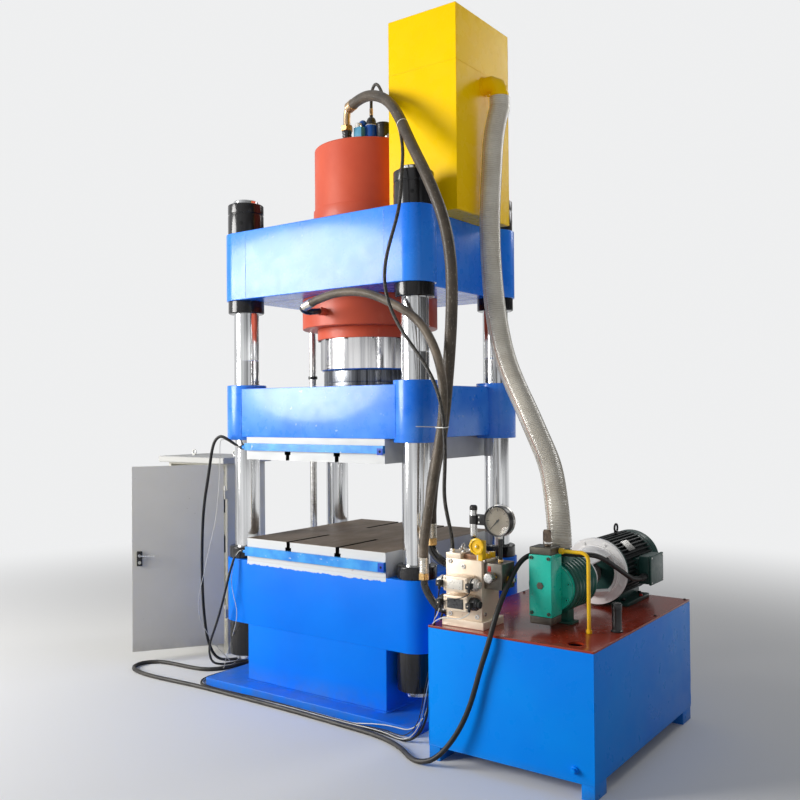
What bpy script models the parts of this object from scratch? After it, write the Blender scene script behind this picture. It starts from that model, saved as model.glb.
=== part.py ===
"""Four-column hydraulic press with its power unit, filling tank, hoses and control cabinet.

Metres, +Z up. The origin is on the floor, on the axis of the main cylinder. -Y is the working front,
the power unit stands at +X and the control cabinet at -X.
"""

import math

import bmesh
import bpy
import numpy as np
from mathutils import Matrix, Vector

# Fits
GAP = 0.0003

# Frame: columns, base, crown
SPAN_X = 1.26
SPAN_Y = 0.853
COLUMN_R = 0.075
LOBE_R = 0.118
PLATE_T = 0.047
PLATE_HALF_X = 0.762
PLATE_HALF_Y = 0.655
FOOT_H = 0.329
BASE_H = 0.376
BASE_OUT = 0.015
BODY_SET_IN = 0.002
CROWN_H = 0.4065
CROWN_OUT = 0.025
DAYLIGHT = 0.465
NUT_R = 0.108
NUT_CHAMFER = 0.005
TOP_NUT_H = 0.185
TOP_NUT_GROOVE = 0.005
CROWN_NUT_H = 0.075
COLLAR_H = 0.068
FOOT_NUT_H = 0.205
COLUMN_TAIL = 0.03
COLUMN_HEAD = 0.025

# Tables
PLATEN_T_LOW = 0.134
PLATEN_T_UP = 0.132
SLOT_X = 0.183
SLOT_LENGTH = 0.36
SLOT_NECK = 0.026
SLOT_NECK_DEPTH = 0.032
SLOT_WIDE = 0.044
SLOT_DEPTH = 0.052
CHANNEL_LENGTH = 1.03
CHANNEL_T = 0.018
CHANNEL_WALL = 0.0025
LOW_CHANNEL_H = 0.052
LOW_CHANNEL_Z = 0.783
UP_CHANNEL_H = 0.042
UP_CHANNEL_RISE = 0.054
CHANNEL_GLAND_R = 0.0115
CHANNEL_GLAND_L = 0.02

# Slider
SLIDER_H = 0.287
SLIDER_OUT = 0.015
SLIDER_SET_IN = 0.0145
BOSS_LIP_LOW = 0.019
BOSS_LIP_HIGH = 0.022

# Cylinder and ram
CYLINDER_R = 0.331
CYLINDER_RISE = 0.503
CYLINDER_CHAMFER = 0.006
CAP_T = 0.095
BORE_R = 0.313
FLANGE_R = 0.410
FLANGE_H = 0.180
GLAND_R = 0.320
GLAND_H = 0.066
GLAND_SPIGOT = 0.040
RING_NUT_R = 0.342
RING_NUT_H = 0.128
RAM_R = 0.303
RAM_CLEARANCE = 0.0005
RAM_NECK_R = 0.240
RAM_FOOT_R = 0.283
RAM_FOOT_H = 0.101
RAM_LENGTH = 1.03
RAM_CHAMFER = 0.008

# Prefill valve group on the cylinder's top
PREFILL_H = 0.112
PREFILL_BLOCK = (0.028, -0.185, 0.088, -0.088)
PREFILL_AT = (0.105, -0.110)
PREFILL_R = 0.040
PREFILL_DOME_R = 0.034
PREFILL_DOME_H = 0.055
PREFILL_STEM_R = 0.011
PREFILL_STEM_H = 0.050
PREFILL_KNOB_AT = (0.060, -0.134)
PREFILL_KNOB_R = 0.026
PREFILL_KNOB_H = 0.050
PREFILL_CAP_AT = (0.045, -0.168)
PREFILL_CAP_R = 0.016
PREFILL_CAP_H = 0.014
FILL_VALVE_AT = (0.186, -0.100)
FILL_VALVE_R = 0.043
FILL_VALVE_H = 0.115
FILL_PIPE_R = 0.012
FILL_PIPE_RISE = 0.028

# Filling tank
FILL_TANK_X0 = 0.345
FILL_TANK_W = 0.450
FILL_TANK_Y0 = -0.258
FILL_TANK_D = 0.573
FILL_TANK_H = 1.119
FILL_TANK_BEVEL = 0.004
OUTLET_R = 0.048
OUTLET_Y = 0.037
OUTLET_RISE = 0.741
OUTLET_REACH = 0.099
OUTLET_DROP = 0.082

# Oil tank
OIL_X0 = 0.965
OIL_W = 0.830
OIL_Y0 = -0.820
OIL_D = 1.235
OIL_LEG_H = 0.064
OIL_LEG_W = 0.060
OIL_LEG_L = 0.120
OIL_H = 0.550
OIL_WALL = 0.005
LID_T = 0.010
FILLER_AT = (1.679, -0.743)
FILLER_R = 0.035

# Pump and motor, on one axis along Y
AXIS_X = 1.455
AXIS_RISE = 0.181
BLOCK_W = 0.114
BLOCK_D = 0.107
BLOCK_H = 0.350
BLOCK_FRONT = -0.631
BLOCK_FLOAT = 0.030
BLOCK_BEVEL = 0.004
ADJUSTER_R = 0.020
ADJUSTER_H = 0.075
PUMP_FLANGE_R = 0.112
PUMP_FLANGE_T = 0.024
BARREL_R = 0.126
BARREL_L = 0.230
BARREL_RIB = 0.005
BARREL_STEPS = 5
PUMP_NECK_R = 0.075
PUMP_NECK_L = 0.030
PORT_R = 0.050
PORT_Y = -0.425
PORT_RISE = 0.175
BELL_L = 0.2394
BELL_SMALL_R = 0.098
BELL_MID_R = 0.128
BELL_FLANGE_R = 0.160
BELL_FLANGE_T = 0.024
BELL_WALL = 0.016
BELL_WINDOW = (0.120, 0.110)
COUPLING_R = 0.058
COUPLING_L = 0.110
SHAFT_R = 0.024
SHAFT_CLEARANCE = 0.0006
MOTOR_L = 0.420
MOTOR_R = 0.142
FIN_H = 0.016
FIN_COUNT = 18
SHIELD_R = 0.161
SHIELD_T = 0.030
MOTOR_FOOT_W = 0.290
MOTOR_FOOT_L = 0.300
MOTOR_FOOT_T = 0.022
MOTOR_LEG_W = 0.180
FAN_COVER_L = 0.080
FAN_COVER_R = 0.156
FAN_COVER_WALL = 0.004
FAN_R = 0.120
FAN_T = 0.022
BOX_PAD = 0.012
BOX_W = 0.070
BOX_L = 0.180
BOX_H = 0.150
BOX_Y0 = 0.130
BOX_Z0 = 0.730
BOX_BEVEL = 0.008
MOTOR_GLAND_R = 0.019
MOTOR_GLAND_L = 0.030
BREATHER_AT = (1.744, -0.447)
BREATHER_R = 0.022
BREATHER_H = 0.130
DRAIN_PIPE_R = 0.011
DRAIN_PIPE_X = 1.653
DRAIN_PIPE_Y = -0.545
DRAIN_PIPE_DROP = 0.022
DRAIN_BEND_R = 0.035

# Valve manifold and gauge
MANIFOLD_X0 = 1.030
MANIFOLD_W = 0.195
MANIFOLD_Y0 = -0.760
MANIFOLD_D = 0.160
MANIFOLD_H = 0.340
MANIFOLD_BASE_T = 0.036
MANIFOLD_BASE_OUT = 0.015
COIL_R = 0.029
VALVE_D = 0.075
VALVE_H = 0.070
VALVE_W = 0.130
VALVE_UP_RISE = 0.176
VALVE_LOW_RISE = 0.088
PILOT_PORT_AT = (1.052, -0.735)
PILOT_PORT_R = 0.014
PILOT_PORT_H = 0.015
RELIEF_W = 0.094
RELIEF_D = 0.120
RELIEF_H = 0.120
RELIEF_TOP_DROP = 0.035
RELIEF_KNOB_R = 0.022
RELIEF_KNOB_L = 0.050
GAUGE_R = 0.071
GAUGE_T = 0.055
GAUGE_FRONT = -0.720
GAUGE_X = 1.283
GAUGE_Z = 1.120
GAUGE_STEM_R = 0.009
GAUGE_RECESS = 0.012
GAUGE_RIM = 0.007
NEEDLE_L = 0.050
NEEDLE_W = 0.006
NEEDLE_T = 0.002
NEEDLE_ZERO_DEG = 135
POST_X = 1.155
POST_Y = -0.712
POST_R = 0.017
POST_H = 0.145
POST_STEM_R = 0.012
POST_STEM_H = 0.078
POST_ARM = (0.016, 0.050)
WHEEL_R = 0.042
WHEEL_RIM = 0.012
WHEEL_T = 0.016
WHEEL_WEB = 0.005
WHEEL_HUB_R = 0.010
WHEEL_VALVE_W = 0.036
WHEEL_VALVE_H = 0.065
SPINDLE_L = 0.015

# Control cabinet
CAB_X1 = -1.150
CAB_W = 0.600
CAB_FRONT = -0.106
CAB_D = 0.356
CAB_FOOT_H = 0.066
CAB_H = 1.224
CAB_WALL = 0.012
CAB_LIP = 0.022
CAB_FOOT_W = 0.045
LID_OUT = 0.034
LID_H = 0.035
DOOR_T = 0.0225
DOOR_SHEET = 0.003
DOOR_W = 0.592
DOOR_CLEAR = 0.008
DOOR_Z_CLEAR = 0.010
DOOR_OPEN_DEG = 54.4
HINGE_R = 0.006
HINGE_H = 0.060
HINGE_SET = (0.004, -0.027)
HINGE_RISES = (0.180, 0.980)
LOCK_W = 0.034
LOCK_H = 0.096
LOCK_T = 0.010
LOCK_IN = 0.046
LOCK_Z = 0.680
LEVER_R = 0.007
LEVER_OUT = 0.030
LEVER_L = 0.095
LEVER_H = 0.012
LEVER_T = 0.009
GEAR_PLATE_T = 0.008
GEAR = (
    (-0.220, -0.060, 0.080, 0.900, 1.060),
    (0.000, 0.080, 0.075, 0.920, 1.040),
    (0.120, 0.200, 0.075, 0.920, 1.040),
    (-0.220, -0.140, 0.095, 0.620, 0.740),
    (-0.100, -0.020, 0.095, 0.620, 0.740),
    (0.020, 0.100, 0.095, 0.620, 0.740),
    (-0.220, 0.220, 0.045, 0.280, 0.330),
)
GLAND_PLATE_T = 0.008
GLAND_L = 0.022
GLAND_WALL = 0.006
GLAND_Z = 0.170
GLAND_Y0 = 0.0
GLAND_PITCH = 0.070

# Limit-switch rail
RAIL_R = 0.0225
RAIL_OUT = 0.045
RAIL_Y = 0.260
RAIL_Z0 = 0.520
RAIL_TOP_IN = 0.050
RAIL_BRACKET = (0.034, 0.060)

# Hoses and cables
PRESSURE_HOSE_R = 0.030
RETURN_HOSE_R = 0.0225
PILOT_HOSE_R = 0.009
SUCTION_HOSE_R = 0.0575
MOTOR_CABLE_R = 0.012
SLIDER_CABLE_R = 0.009
TABLE_CABLE_R = 0.007
VALVE_CABLE_R = 0.006

# Facets
FINE = 28
ROUND = 16
SMALL = 10
BOSS_FACETS = 18

# Levels and places that follow from the sizes
A = SPAN_X / 2
B = SPAN_Y / 2
CORNERS = (("fl", -A, -B), ("fr", A, -B), ("bl", -A, B), ("br", A, B))
FRONT = B + LOBE_R
TABLE_X = A - LOBE_R
BASE_SIDE = A + BASE_OUT
CROWN_SIDE = A + CROWN_OUT
SLIDER_SIDE = A + SLIDER_OUT
SLIDER_FRONT = FRONT - SLIDER_SET_IN
STEP_Z = PLATE_T + FOOT_H
BASE_Z = STEP_Z + BASE_H
TABLE_Z = BASE_Z + PLATEN_T_LOW
UP_TABLE_Z = TABLE_Z + DAYLIGHT
SLIDER_Z = UP_TABLE_Z + PLATEN_T_UP
SLIDER_TOP = SLIDER_Z + SLIDER_H
CROWN_Z = 2.3045
CROWN_TOP = CROWN_Z + CROWN_H
FLANGE_Z = CROWN_Z - FLANGE_H
CYLINDER_TOP = CROWN_TOP + CYLINDER_RISE
RAM_Z = SLIDER_TOP + RAM_FOOT_H
OIL_TOP = OIL_LEG_H + OIL_H
LID_TOP = OIL_TOP + LID_T
AXIS_Z = LID_TOP + AXIS_RISE
BLOCK_Z = LID_TOP + BLOCK_FLOAT
BLOCK_TOP = BLOCK_Z + BLOCK_H
BLOCK_BACK = BLOCK_FRONT + BLOCK_D
BARREL_Y = BLOCK_BACK + PUMP_FLANGE_T
NECK_Y = BARREL_Y + BARREL_L
NECK_END = NECK_Y + PUMP_NECK_L
MOTOR_Y = NECK_END + BELL_L
MANIFOLD_TOP = LID_TOP + MANIFOLD_H
CAB_X0 = CAB_X1 - CAB_W
CAB_TOP = CAB_FOOT_H + CAB_H
HINGE = Vector((CAB_X1 + HINGE_SET[0], CAB_FRONT + HINGE_SET[1], 0.0))

# Colours: base colour, roughness, metallic
BLUE = ((0.02, 0.17, 0.72, 1), 0.35, 0.0)
RED_OXIDE = ((0.42, 0.055, 0.030, 1), 0.45, 0.0)
YELLOW = ((0.90, 0.62, 0.02, 1), 0.35, 0.0)
CHROME = ((0.78, 0.79, 0.80, 1), 0.12, 1.0)
STEEL = ((0.58, 0.58, 0.57, 1), 0.35, 1.0)
BLACK = ((0.015, 0.015, 0.017, 1), 0.4, 0.6)
TEAL = ((0.03, 0.50, 0.44, 1), 0.35, 0.0)
GREEN = ((0.012, 0.075, 0.060, 1), 0.4, 0.0)
WHITE = ((0.80, 0.80, 0.79, 1), 0.4, 0.0)
CREAM = ((0.72, 0.68, 0.58, 1), 0.4, 0.4)
GREY = ((0.58, 0.59, 0.56, 1), 0.4, 0.0)
BRASS = ((0.75, 0.50, 0.20, 1), 0.3, 1.0)
RUBBER = ((0.03, 0.027, 0.024, 1), 0.6, 0.0)
CLEAR = ((0.72, 0.70, 0.62, 1), 0.2, 0.0)


def start_empty():
    """Removes what the scene holds, so that the model stands alone."""
    for old in list(bpy.data.objects):
        bpy.data.objects.remove(old, do_unlink=True)


def painted(name, paint):
    """One Principled material for one node."""
    material = bpy.data.materials.new(name)
    material.use_nodes = True
    shader = material.node_tree.nodes["Principled BSDF"]
    colour, roughness, metallic = paint
    shader.inputs["Base Color"].default_value = colour
    shader.inputs["Roughness"].default_value = roughness
    shader.inputs["Metallic"].default_value = metallic
    material.diffuse_color = colour
    return material


def closed(bm):
    """Merges doubles and turns the faces outward."""
    bmesh.ops.remove_doubles(bm, verts=bm.verts, dist=1e-6)
    bmesh.ops.recalc_face_normals(bm, faces=bm.faces)
    return bm


def box(low, high, bevel=0.0):
    """A block between two corners, with its edges bevelled when asked."""
    bm = bmesh.new()
    bmesh.ops.create_cube(bm, size=1)
    low, high = Vector(low), Vector(high)
    size = high - low
    for vert in bm.verts:
        vert.co = Vector(low[i] + (vert.co[i] + 0.5) * size[i] for i in range(3))
    if bevel:
        bmesh.ops.bevel(bm, geom=bm.edges[:], offset=bevel, segments=1, affect="EDGES")
    return closed(bm)


def extruded(outline, start, end, axis="Z"):
    """A flat outline carried from start to end along an axis.

    The outline's two coordinates are (x, y) for Z, (x, z) for Y and (y, z) for X.
    """
    place = {
        "Z": lambda u, v: (u, v, start),
        "Y": lambda u, v: (u, start, v),
        "X": lambda u, v: (start, u, v),
    }[axis]
    step = {"Z": (0, 0, 1), "Y": (0, 1, 0), "X": (1, 0, 0)}[axis]
    bm = bmesh.new()
    face = bm.faces.new([bm.verts.new(place(u, v)) for u, v in outline])
    moved = bmesh.ops.extrude_face_region(bm, geom=[face])["geom"]
    verts = [part for part in moved if isinstance(part, bmesh.types.BMVert)]
    bmesh.ops.translate(bm, verts=verts, vec=Vector(step) * (end - start))
    return closed(bm)


def turned(profile, at=(0, 0, 0), axis="Z", steps=ROUND):
    """A profile of (radius, height) spun about an axis through a point.

    A profile that starts and ends on the axis is solid; any other is closed into a ring.
    """
    bm = bmesh.new()
    verts = [bm.verts.new((radius, 0, height)) for radius, height in profile]
    edges = [bm.edges.new(pair) for pair in zip(verts, verts[1:])]
    if profile[0][0] > 0:
        edges.append(bm.edges.new((verts[-1], verts[0])))
    bmesh.ops.spin(
        bm,
        geom=verts + edges,
        cent=(0, 0, 0),
        axis=(0, 0, 1),
        angle=2 * math.pi,
        steps=steps,
        use_merge=True,
    )
    closed(bm)
    turn = {
        "Z": Matrix.Identity(4),
        "Y": Matrix.Rotation(-math.pi / 2, 4, "X"),
        "X": Matrix.Rotation(math.pi / 2, 4, "Y"),
    }[axis]
    bmesh.ops.transform(bm, matrix=Matrix.Translation(at) @ turn, verts=bm.verts)
    return bm


def rod(radius, start, end, at=(0, 0), axis="Z", steps=ROUND):
    """A plain cylinder between two heights, at the two coordinates across its axis."""
    centre = {"Z": (*at, 0), "Y": (at[0], 0, at[1]), "X": (0, *at)}[axis]
    profile = [(0, start), (radius, start), (radius, end), (0, end)]
    return turned(profile, centre, axis, steps)


def scene_object(name, bm):
    """Puts a bmesh into the scene as a new object."""
    mesh = bpy.data.meshes.new(name)
    bm.to_mesh(mesh)
    bm.free()
    made = bpy.data.objects.new(name, mesh)
    bpy.context.scene.collection.objects.link(made)
    return made


def combined(body, tools, operation):
    """The body with each tool united or cut by an exact Boolean, as a new bmesh."""
    target = scene_object("target", body)
    cutters = [scene_object("tool", tool) for tool in tools]
    for cutter in cutters:
        modifier = target.modifiers.new(operation, "BOOLEAN")
        modifier.operation = operation
        modifier.solver = "EXACT"
        modifier.object = cutter
    graph = bpy.context.evaluated_depsgraph_get()
    result = bmesh.new()
    result.from_mesh(target.evaluated_get(graph).to_mesh())
    for spent in [target, *cutters]:
        bpy.data.objects.remove(spent, do_unlink=True)
    return result


def united(body, *tools):
    return combined(body, tools, "UNION")


def cut(body, *tools):
    return combined(body, tools, "DIFFERENCE")


def node(name, bm, paint, origin=(0, 0, 0), smooth=35):
    """One named piece: its mesh about its own origin, shaded smooth below an angle."""
    bmesh.ops.translate(bm, verts=bm.verts, vec=-Vector(origin))
    made = scene_object(name, bm)
    made.location = origin
    made.data.materials.append(painted(name, paint))
    made.data.shade_smooth()
    made.data.set_sharp_from_angle(angle=math.radians(smooth))
    return made


def tube(name, points, radii, paint, resolution=3):
    """A round bar along points, as thick at each point as its own radius."""
    curve = bpy.data.curves.new(name, "CURVE")
    curve.dimensions = "3D"
    curve.bevel_depth = 1.0
    curve.bevel_resolution = resolution
    curve.use_fill_caps = True
    spline = curve.splines.new("POLY")
    spline.points.add(len(points) - 1)
    for place, point, radius in zip(spline.points, points, radii):
        place.co = (*point, 1.0)
        place.radius = radius
    made = bpy.data.objects.new(name, curve)
    bpy.context.scene.collection.objects.link(made)
    curve.materials.append(painted(name, paint))
    return made


def smooth_route(points, spacing):
    """Even points on the natural cubic spline through the route's points, by chord length."""
    route = np.array(points, dtype=float)
    steps = np.linalg.norm(np.diff(route, axis=0), axis=1)
    knots = np.concatenate([[0.0], np.cumsum(steps)])
    count = len(route)
    system = np.eye(count)
    right = np.zeros((count, 3))
    for i in range(1, count - 1):
        system[i, i - 1 : i + 2] = steps[i - 1], 2 * (steps[i - 1] + steps[i]), steps[i]
        slope_after = (route[i + 1] - route[i]) / steps[i]
        slope_before = (route[i] - route[i - 1]) / steps[i - 1]
        right[i] = 6 * (slope_after - slope_before)
    bend = np.linalg.solve(system, right)
    where = np.linspace(0, knots[-1], 40 * count)
    left = np.clip(np.searchsorted(knots, where, side="right") - 1, 0, count - 2)
    h = steps[left][:, None]
    u = (where - knots[left])[:, None]
    v = h - u
    fine = (
        bend[left] * v**3 / (6 * h)
        + bend[left + 1] * u**3 / (6 * h)
        + (route[left] / h - bend[left] * h / 6) * v
        + (route[left + 1] / h - bend[left + 1] * h / 6) * u
    )
    run = np.concatenate([[0], np.cumsum(np.linalg.norm(np.diff(fine, axis=0), axis=1))])
    even = np.linspace(0, run[-1], max(4, round(run[-1] / spacing) + 1))
    return np.stack([np.interp(even, run, fine[:, k]) for k in range(3)], axis=1)


def cord(name, route, radius, spacing, paint, resolution=2):
    """A hose or cable: a plain tube along its smoothed route, with a straight stub at each end."""
    middle = [tuple(point) for point in smooth_route(route[1:-1], spacing)]
    points = [tuple(route[0]), *middle, tuple(route[-1])]
    return tube(name, points, [radius] * len(points), paint, resolution)


def beam_outline(side, front, arc_steps=10):
    """A rectangle with a round lobe about each column, the lobes flush with the front or proud of it."""
    begin = -math.pi + math.asin((front - B) / LOBE_R)
    end = math.acos((side - A) / LOBE_R)
    sweep = [begin + (end - begin) * i / arc_steps for i in range(arc_steps + 1)]
    corner = [(A + LOBE_R * math.cos(t), -B + LOBE_R * math.sin(t)) for t in sweep]
    right_back = [(x, -y) for x, y in reversed(corner)]
    left_back = [(-x, -y) for x, y in corner]
    left_front = [(-x, y) for x, y in reversed(corner)]
    return corner + right_back + left_back + left_front


def column_bores(low, high, radius=COLUMN_R + GAP):
    """Four cutters for the columns' holes."""
    return [rod(radius, low, high, (x, y)) for _, x, y in CORNERS]


def build_base():
    """Base weldment: floor plate, foot body, and the beam whose lobes take the columns."""
    beam = extruded(beam_outline(BASE_SIDE, FRONT), STEP_Z, BASE_Z)
    foot_y = FRONT - BODY_SET_IN
    foot = box((-TABLE_X, -foot_y, PLATE_T / 2), (TABLE_X, foot_y, STEP_Z + BASE_H / 2))
    plate = box((-PLATE_HALF_X, -PLATE_HALF_Y, 0), (PLATE_HALF_X, PLATE_HALF_Y, PLATE_T))
    whole = united(beam, foot, plate)
    node("base", cut(whole, *column_bores(STEP_Z / 2, BASE_Z + 0.1)), BLUE)


def build_crown():
    """Crown weldment: the top beam, bored for the columns and for the cylinder."""
    beam = extruded(beam_outline(CROWN_SIDE, FRONT), CROWN_Z, CROWN_TOP)
    well = rod(CYLINDER_R + GAP, CROWN_Z - 0.1, CROWN_TOP + 0.1, steps=FINE)
    bores = column_bores(CROWN_Z - 0.1, CROWN_TOP + 0.1)
    node("crown", cut(beam, well, *bores), BLUE)


def build_columns():
    """Four columns, each with the nuts below the crown and on both sides of the base beam."""
    thread = COLUMN_R - NUT_CHAMFER
    nut_in = NUT_R - NUT_CHAMFER
    foot_nut_z = STEP_Z - GAP - FOOT_NUT_H
    collar_z = BASE_Z + GAP
    nut_top = CROWN_Z - GAP
    nut_low = nut_top - CROWN_NUT_H
    top = CROWN_TOP + GAP + TOP_NUT_H + COLUMN_HEAD
    profile = [
        (0, foot_nut_z - COLUMN_TAIL),
        (thread, foot_nut_z - COLUMN_TAIL),
        (thread, foot_nut_z),
        (NUT_R, foot_nut_z),
        (NUT_R, STEP_Z - GAP),
        (COLUMN_R, STEP_Z - GAP),
        (COLUMN_R, collar_z),
        (NUT_R, collar_z),
        (NUT_R, collar_z + COLLAR_H - NUT_CHAMFER),
        (nut_in, collar_z + COLLAR_H),
        (COLUMN_R, collar_z + COLLAR_H),
        (COLUMN_R, nut_low),
        (nut_in, nut_low),
        (NUT_R, nut_low + NUT_CHAMFER),
        (NUT_R, nut_top),
        (COLUMN_R, nut_top),
        (COLUMN_R, top - NUT_CHAMFER),
        (thread, top),
        (0, top),
    ]
    for tag, x, y in CORNERS:
        node(f"column_{tag}", turned(profile, (x, y, 0)), CHROME, (x, y, 0))


def build_top_nuts():
    """Four round nuts that draw the columns up against the crown, each with a spanner groove."""
    z = CROWN_TOP + GAP
    groove = z + 0.64 * TOP_NUT_H
    bore = COLUMN_R + GAP
    profile = [
        (bore, z),
        (NUT_R, z),
        (NUT_R, groove),
        (NUT_R - TOP_NUT_GROOVE, groove + TOP_NUT_GROOVE),
        (NUT_R, groove + 2 * TOP_NUT_GROOVE),
        (NUT_R, z + TOP_NUT_H - NUT_CHAMFER),
        (NUT_R - NUT_CHAMFER, z + TOP_NUT_H),
        (bore, z + TOP_NUT_H),
    ]
    for tag, x, y in CORNERS:
        node(f"top_nut_{tag}", turned(profile, (x, y, 0)), BLACK, (x, y, 0))


def slot_cutters(face_z, into):
    """T-slots that start at the front and back edges; into is -1 down into a top face, 1 up."""
    neck, wide = SLOT_NECK / 2, SLOT_WIDE / 2
    out, step, deep = -0.02, SLOT_NECK_DEPTH, SLOT_DEPTH
    half = [(neck, out), (neck, step), (wide, step), (wide, deep)]
    shape = half + [(-u, v) for u, v in reversed(half)]
    cutters = []
    for x in (-SLOT_X, SLOT_X):
        outline = [(x + u, face_z + into * v) for u, v in shape]
        for side in (-1, 1):
            inner, outer = side * (FRONT - SLOT_LENGTH), side * (FRONT + 0.02)
            cutters.append(extruded(outline, min(inner, outer), max(inner, outer), "Y"))
    return cutters


def build_platens():
    """The two ground steel tables, with T-slots from their front and back edges."""
    low = box((-TABLE_X, -FRONT, BASE_Z + GAP), (TABLE_X, FRONT, TABLE_Z))
    node("lower_platen", cut(low, *slot_cutters(TABLE_Z, -1)), STEEL)
    high = box((-TABLE_X, -FRONT, UP_TABLE_Z), (TABLE_X, FRONT, SLIDER_Z - GAP))
    node("upper_platen", cut(high, *slot_cutters(UP_TABLE_Z, 1)), STEEL)


def channel(z, height, gland_r):
    """A folded cable channel on a table's front: hollow, open at the right, glanded at the left."""
    x, y = CHANNEL_LENGTH / 2, -FRONT - GAP
    wall = CHANNEL_WALL
    shell = box((-x, y - CHANNEL_T, z), (x, y, z + height))
    hollow = box((-x + wall, y - CHANNEL_T + wall, z + wall), (x + 0.1, y - wall, z + height - wall))
    gland = rod(gland_r, -x - CHANNEL_GLAND_L, -x + wall / 2, channel_gland(z, height)[1:], "X", SMALL)
    return united(cut(shell, hollow), gland)


def channel_gland(z, height):
    """The middle of the gland's outer face."""
    mouth = -CHANNEL_LENGTH / 2 - CHANNEL_GLAND_L
    return mouth, -FRONT - GAP - CHANNEL_T / 2, z + height / 2 - 0.004


def build_channels():
    node("lower_channel", channel(LOW_CHANNEL_Z, LOW_CHANNEL_H, CHANNEL_GLAND_R - 0.0025), BLUE)
    z = UP_TABLE_Z + UP_CHANNEL_RISE
    node("upper_channel", channel(z, UP_CHANNEL_H, CHANNEL_GLAND_R), BLUE)


def build_slider():
    """Moving beam: plated body with a guide boss about each column."""
    body = box((-SLIDER_SIDE, -SLIDER_FRONT, SLIDER_Z), (SLIDER_SIDE, SLIDER_FRONT, SLIDER_TOP))
    low, high = SLIDER_Z - BOSS_LIP_LOW, SLIDER_TOP + BOSS_LIP_HIGH
    bosses = [rod(LOBE_R, low, high, (x, y), steps=BOSS_FACETS) for _, x, y in CORNERS]
    whole = united(body, *bosses)
    node("slider", cut(whole, *column_bores(low - 0.1, high + 0.1)), BLUE)


def build_cylinder():
    """Main cylinder in the crown, its ring nut above, its gland below, and the ram in it."""
    cap_z = CYLINDER_TOP - CAP_T
    shell = [
        (0, cap_z),
        (BORE_R, cap_z),
        (BORE_R, FLANGE_Z),
        (FLANGE_R, FLANGE_Z),
        (FLANGE_R, CROWN_Z - GAP),
        (CYLINDER_R, CROWN_Z - GAP),
        (CYLINDER_R, CYLINDER_TOP - CYLINDER_CHAMFER),
        (CYLINDER_R - CYLINDER_CHAMFER, CYLINDER_TOP),
        (0, CYLINDER_TOP),
    ]
    node("main_cylinder", turned(shell, steps=FINE), RED_OXIDE)
    nut_z = CROWN_TOP + GAP
    ring = [
        (CYLINDER_R + GAP, nut_z),
        (RING_NUT_R, nut_z),
        (RING_NUT_R, nut_z + RING_NUT_H),
        (CYLINDER_R + GAP, nut_z + RING_NUT_H),
    ]
    node("cylinder_ring_nut", turned(ring, steps=FINE), BLACK)
    seat = FLANGE_Z - GAP
    bore, spigot = RAM_R + RAM_CLEARANCE, BORE_R - GAP
    gland = [
        (bore, seat - GLAND_H),
        (GLAND_R, seat - GLAND_H),
        (GLAND_R, seat),
        (spigot, seat),
        (spigot, seat + GLAND_SPIGOT),
        (bore, seat + GLAND_SPIGOT),
    ]
    node("cylinder_gland", turned(gland, steps=FINE), RED_OXIDE)


def build_ram():
    """Ram with its foot neck, and the clamp ring that holds the neck to the slider."""
    foot, top = SLIDER_TOP + GAP, RAM_Z + RAM_LENGTH
    ram = [
        (0, foot),
        (RAM_NECK_R, foot),
        (RAM_NECK_R, RAM_Z),
        (RAM_R - RAM_CHAMFER, RAM_Z),
        (RAM_R, RAM_Z + RAM_CHAMFER),
        (RAM_R, top - RAM_CHAMFER),
        (RAM_R - RAM_CHAMFER, top),
        (0, top),
    ]
    node("ram", turned(ram, steps=FINE), CHROME)
    inner = RAM_NECK_R + GAP
    ring = [
        (inner, foot),
        (RAM_FOOT_R, foot),
        (RAM_FOOT_R, RAM_Z - GAP),
        (inner, RAM_Z - GAP),
    ]
    node("ram_foot_ring", turned(ring, steps=FINE), BLACK)


def build_prefill_valve():
    """Prefill valve group on the cylinder's cap, with its pipe to the filling tank."""
    z = CYLINDER_TOP + GAP
    top = z + PREFILL_H
    x0, y0, x1, y1 = PREFILL_BLOCK
    block = box((x0, y0, z), (x1, y1, top - 0.012), 0.004)
    main = turned(
        [(0, z), (PREFILL_R, z), (PREFILL_R, top), (PREFILL_DOME_R, top)]
        + [(PREFILL_DOME_R, top + 0.6 * PREFILL_DOME_H), (PREFILL_STEM_R, top + PREFILL_DOME_H)]
        + [(PREFILL_STEM_R, top + PREFILL_DOME_H + PREFILL_STEM_H)]
        + [(0, top + PREFILL_DOME_H + PREFILL_STEM_H)],
        (*PREFILL_AT, 0),
        steps=16,
    )
    knob_top = top - 0.012 + PREFILL_KNOB_H
    knob = turned(
        [(0, z + 0.05), (0.6 * PREFILL_KNOB_R, z + 0.05), (0.6 * PREFILL_KNOB_R, top)]
        + [(PREFILL_KNOB_R, top + 0.008), (0.7 * PREFILL_KNOB_R, knob_top - 0.006)]
        + [(0.25 * PREFILL_KNOB_R, knob_top), (0, knob_top)],
        (*PREFILL_KNOB_AT, 0),
        steps=SMALL,
    )
    cap = rod(PREFILL_CAP_R, z + 0.05, top - 0.012 + PREFILL_CAP_H, PREFILL_CAP_AT, steps=SMALL)
    fill = rod(FILL_VALVE_R, z + 0.0006, z + FILL_VALVE_H, FILL_VALVE_AT, steps=16)
    pipe_at = (FILL_VALVE_AT[1] - 0.012, z + FILL_PIPE_RISE)
    pipe = rod(FILL_PIPE_R, FILL_VALVE_AT[0], FILL_TANK_X0 - GAP, pipe_at, "X", 8)
    node("prefill_valve", united(block, main, knob, cap, fill, pipe), BLUE)


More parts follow.
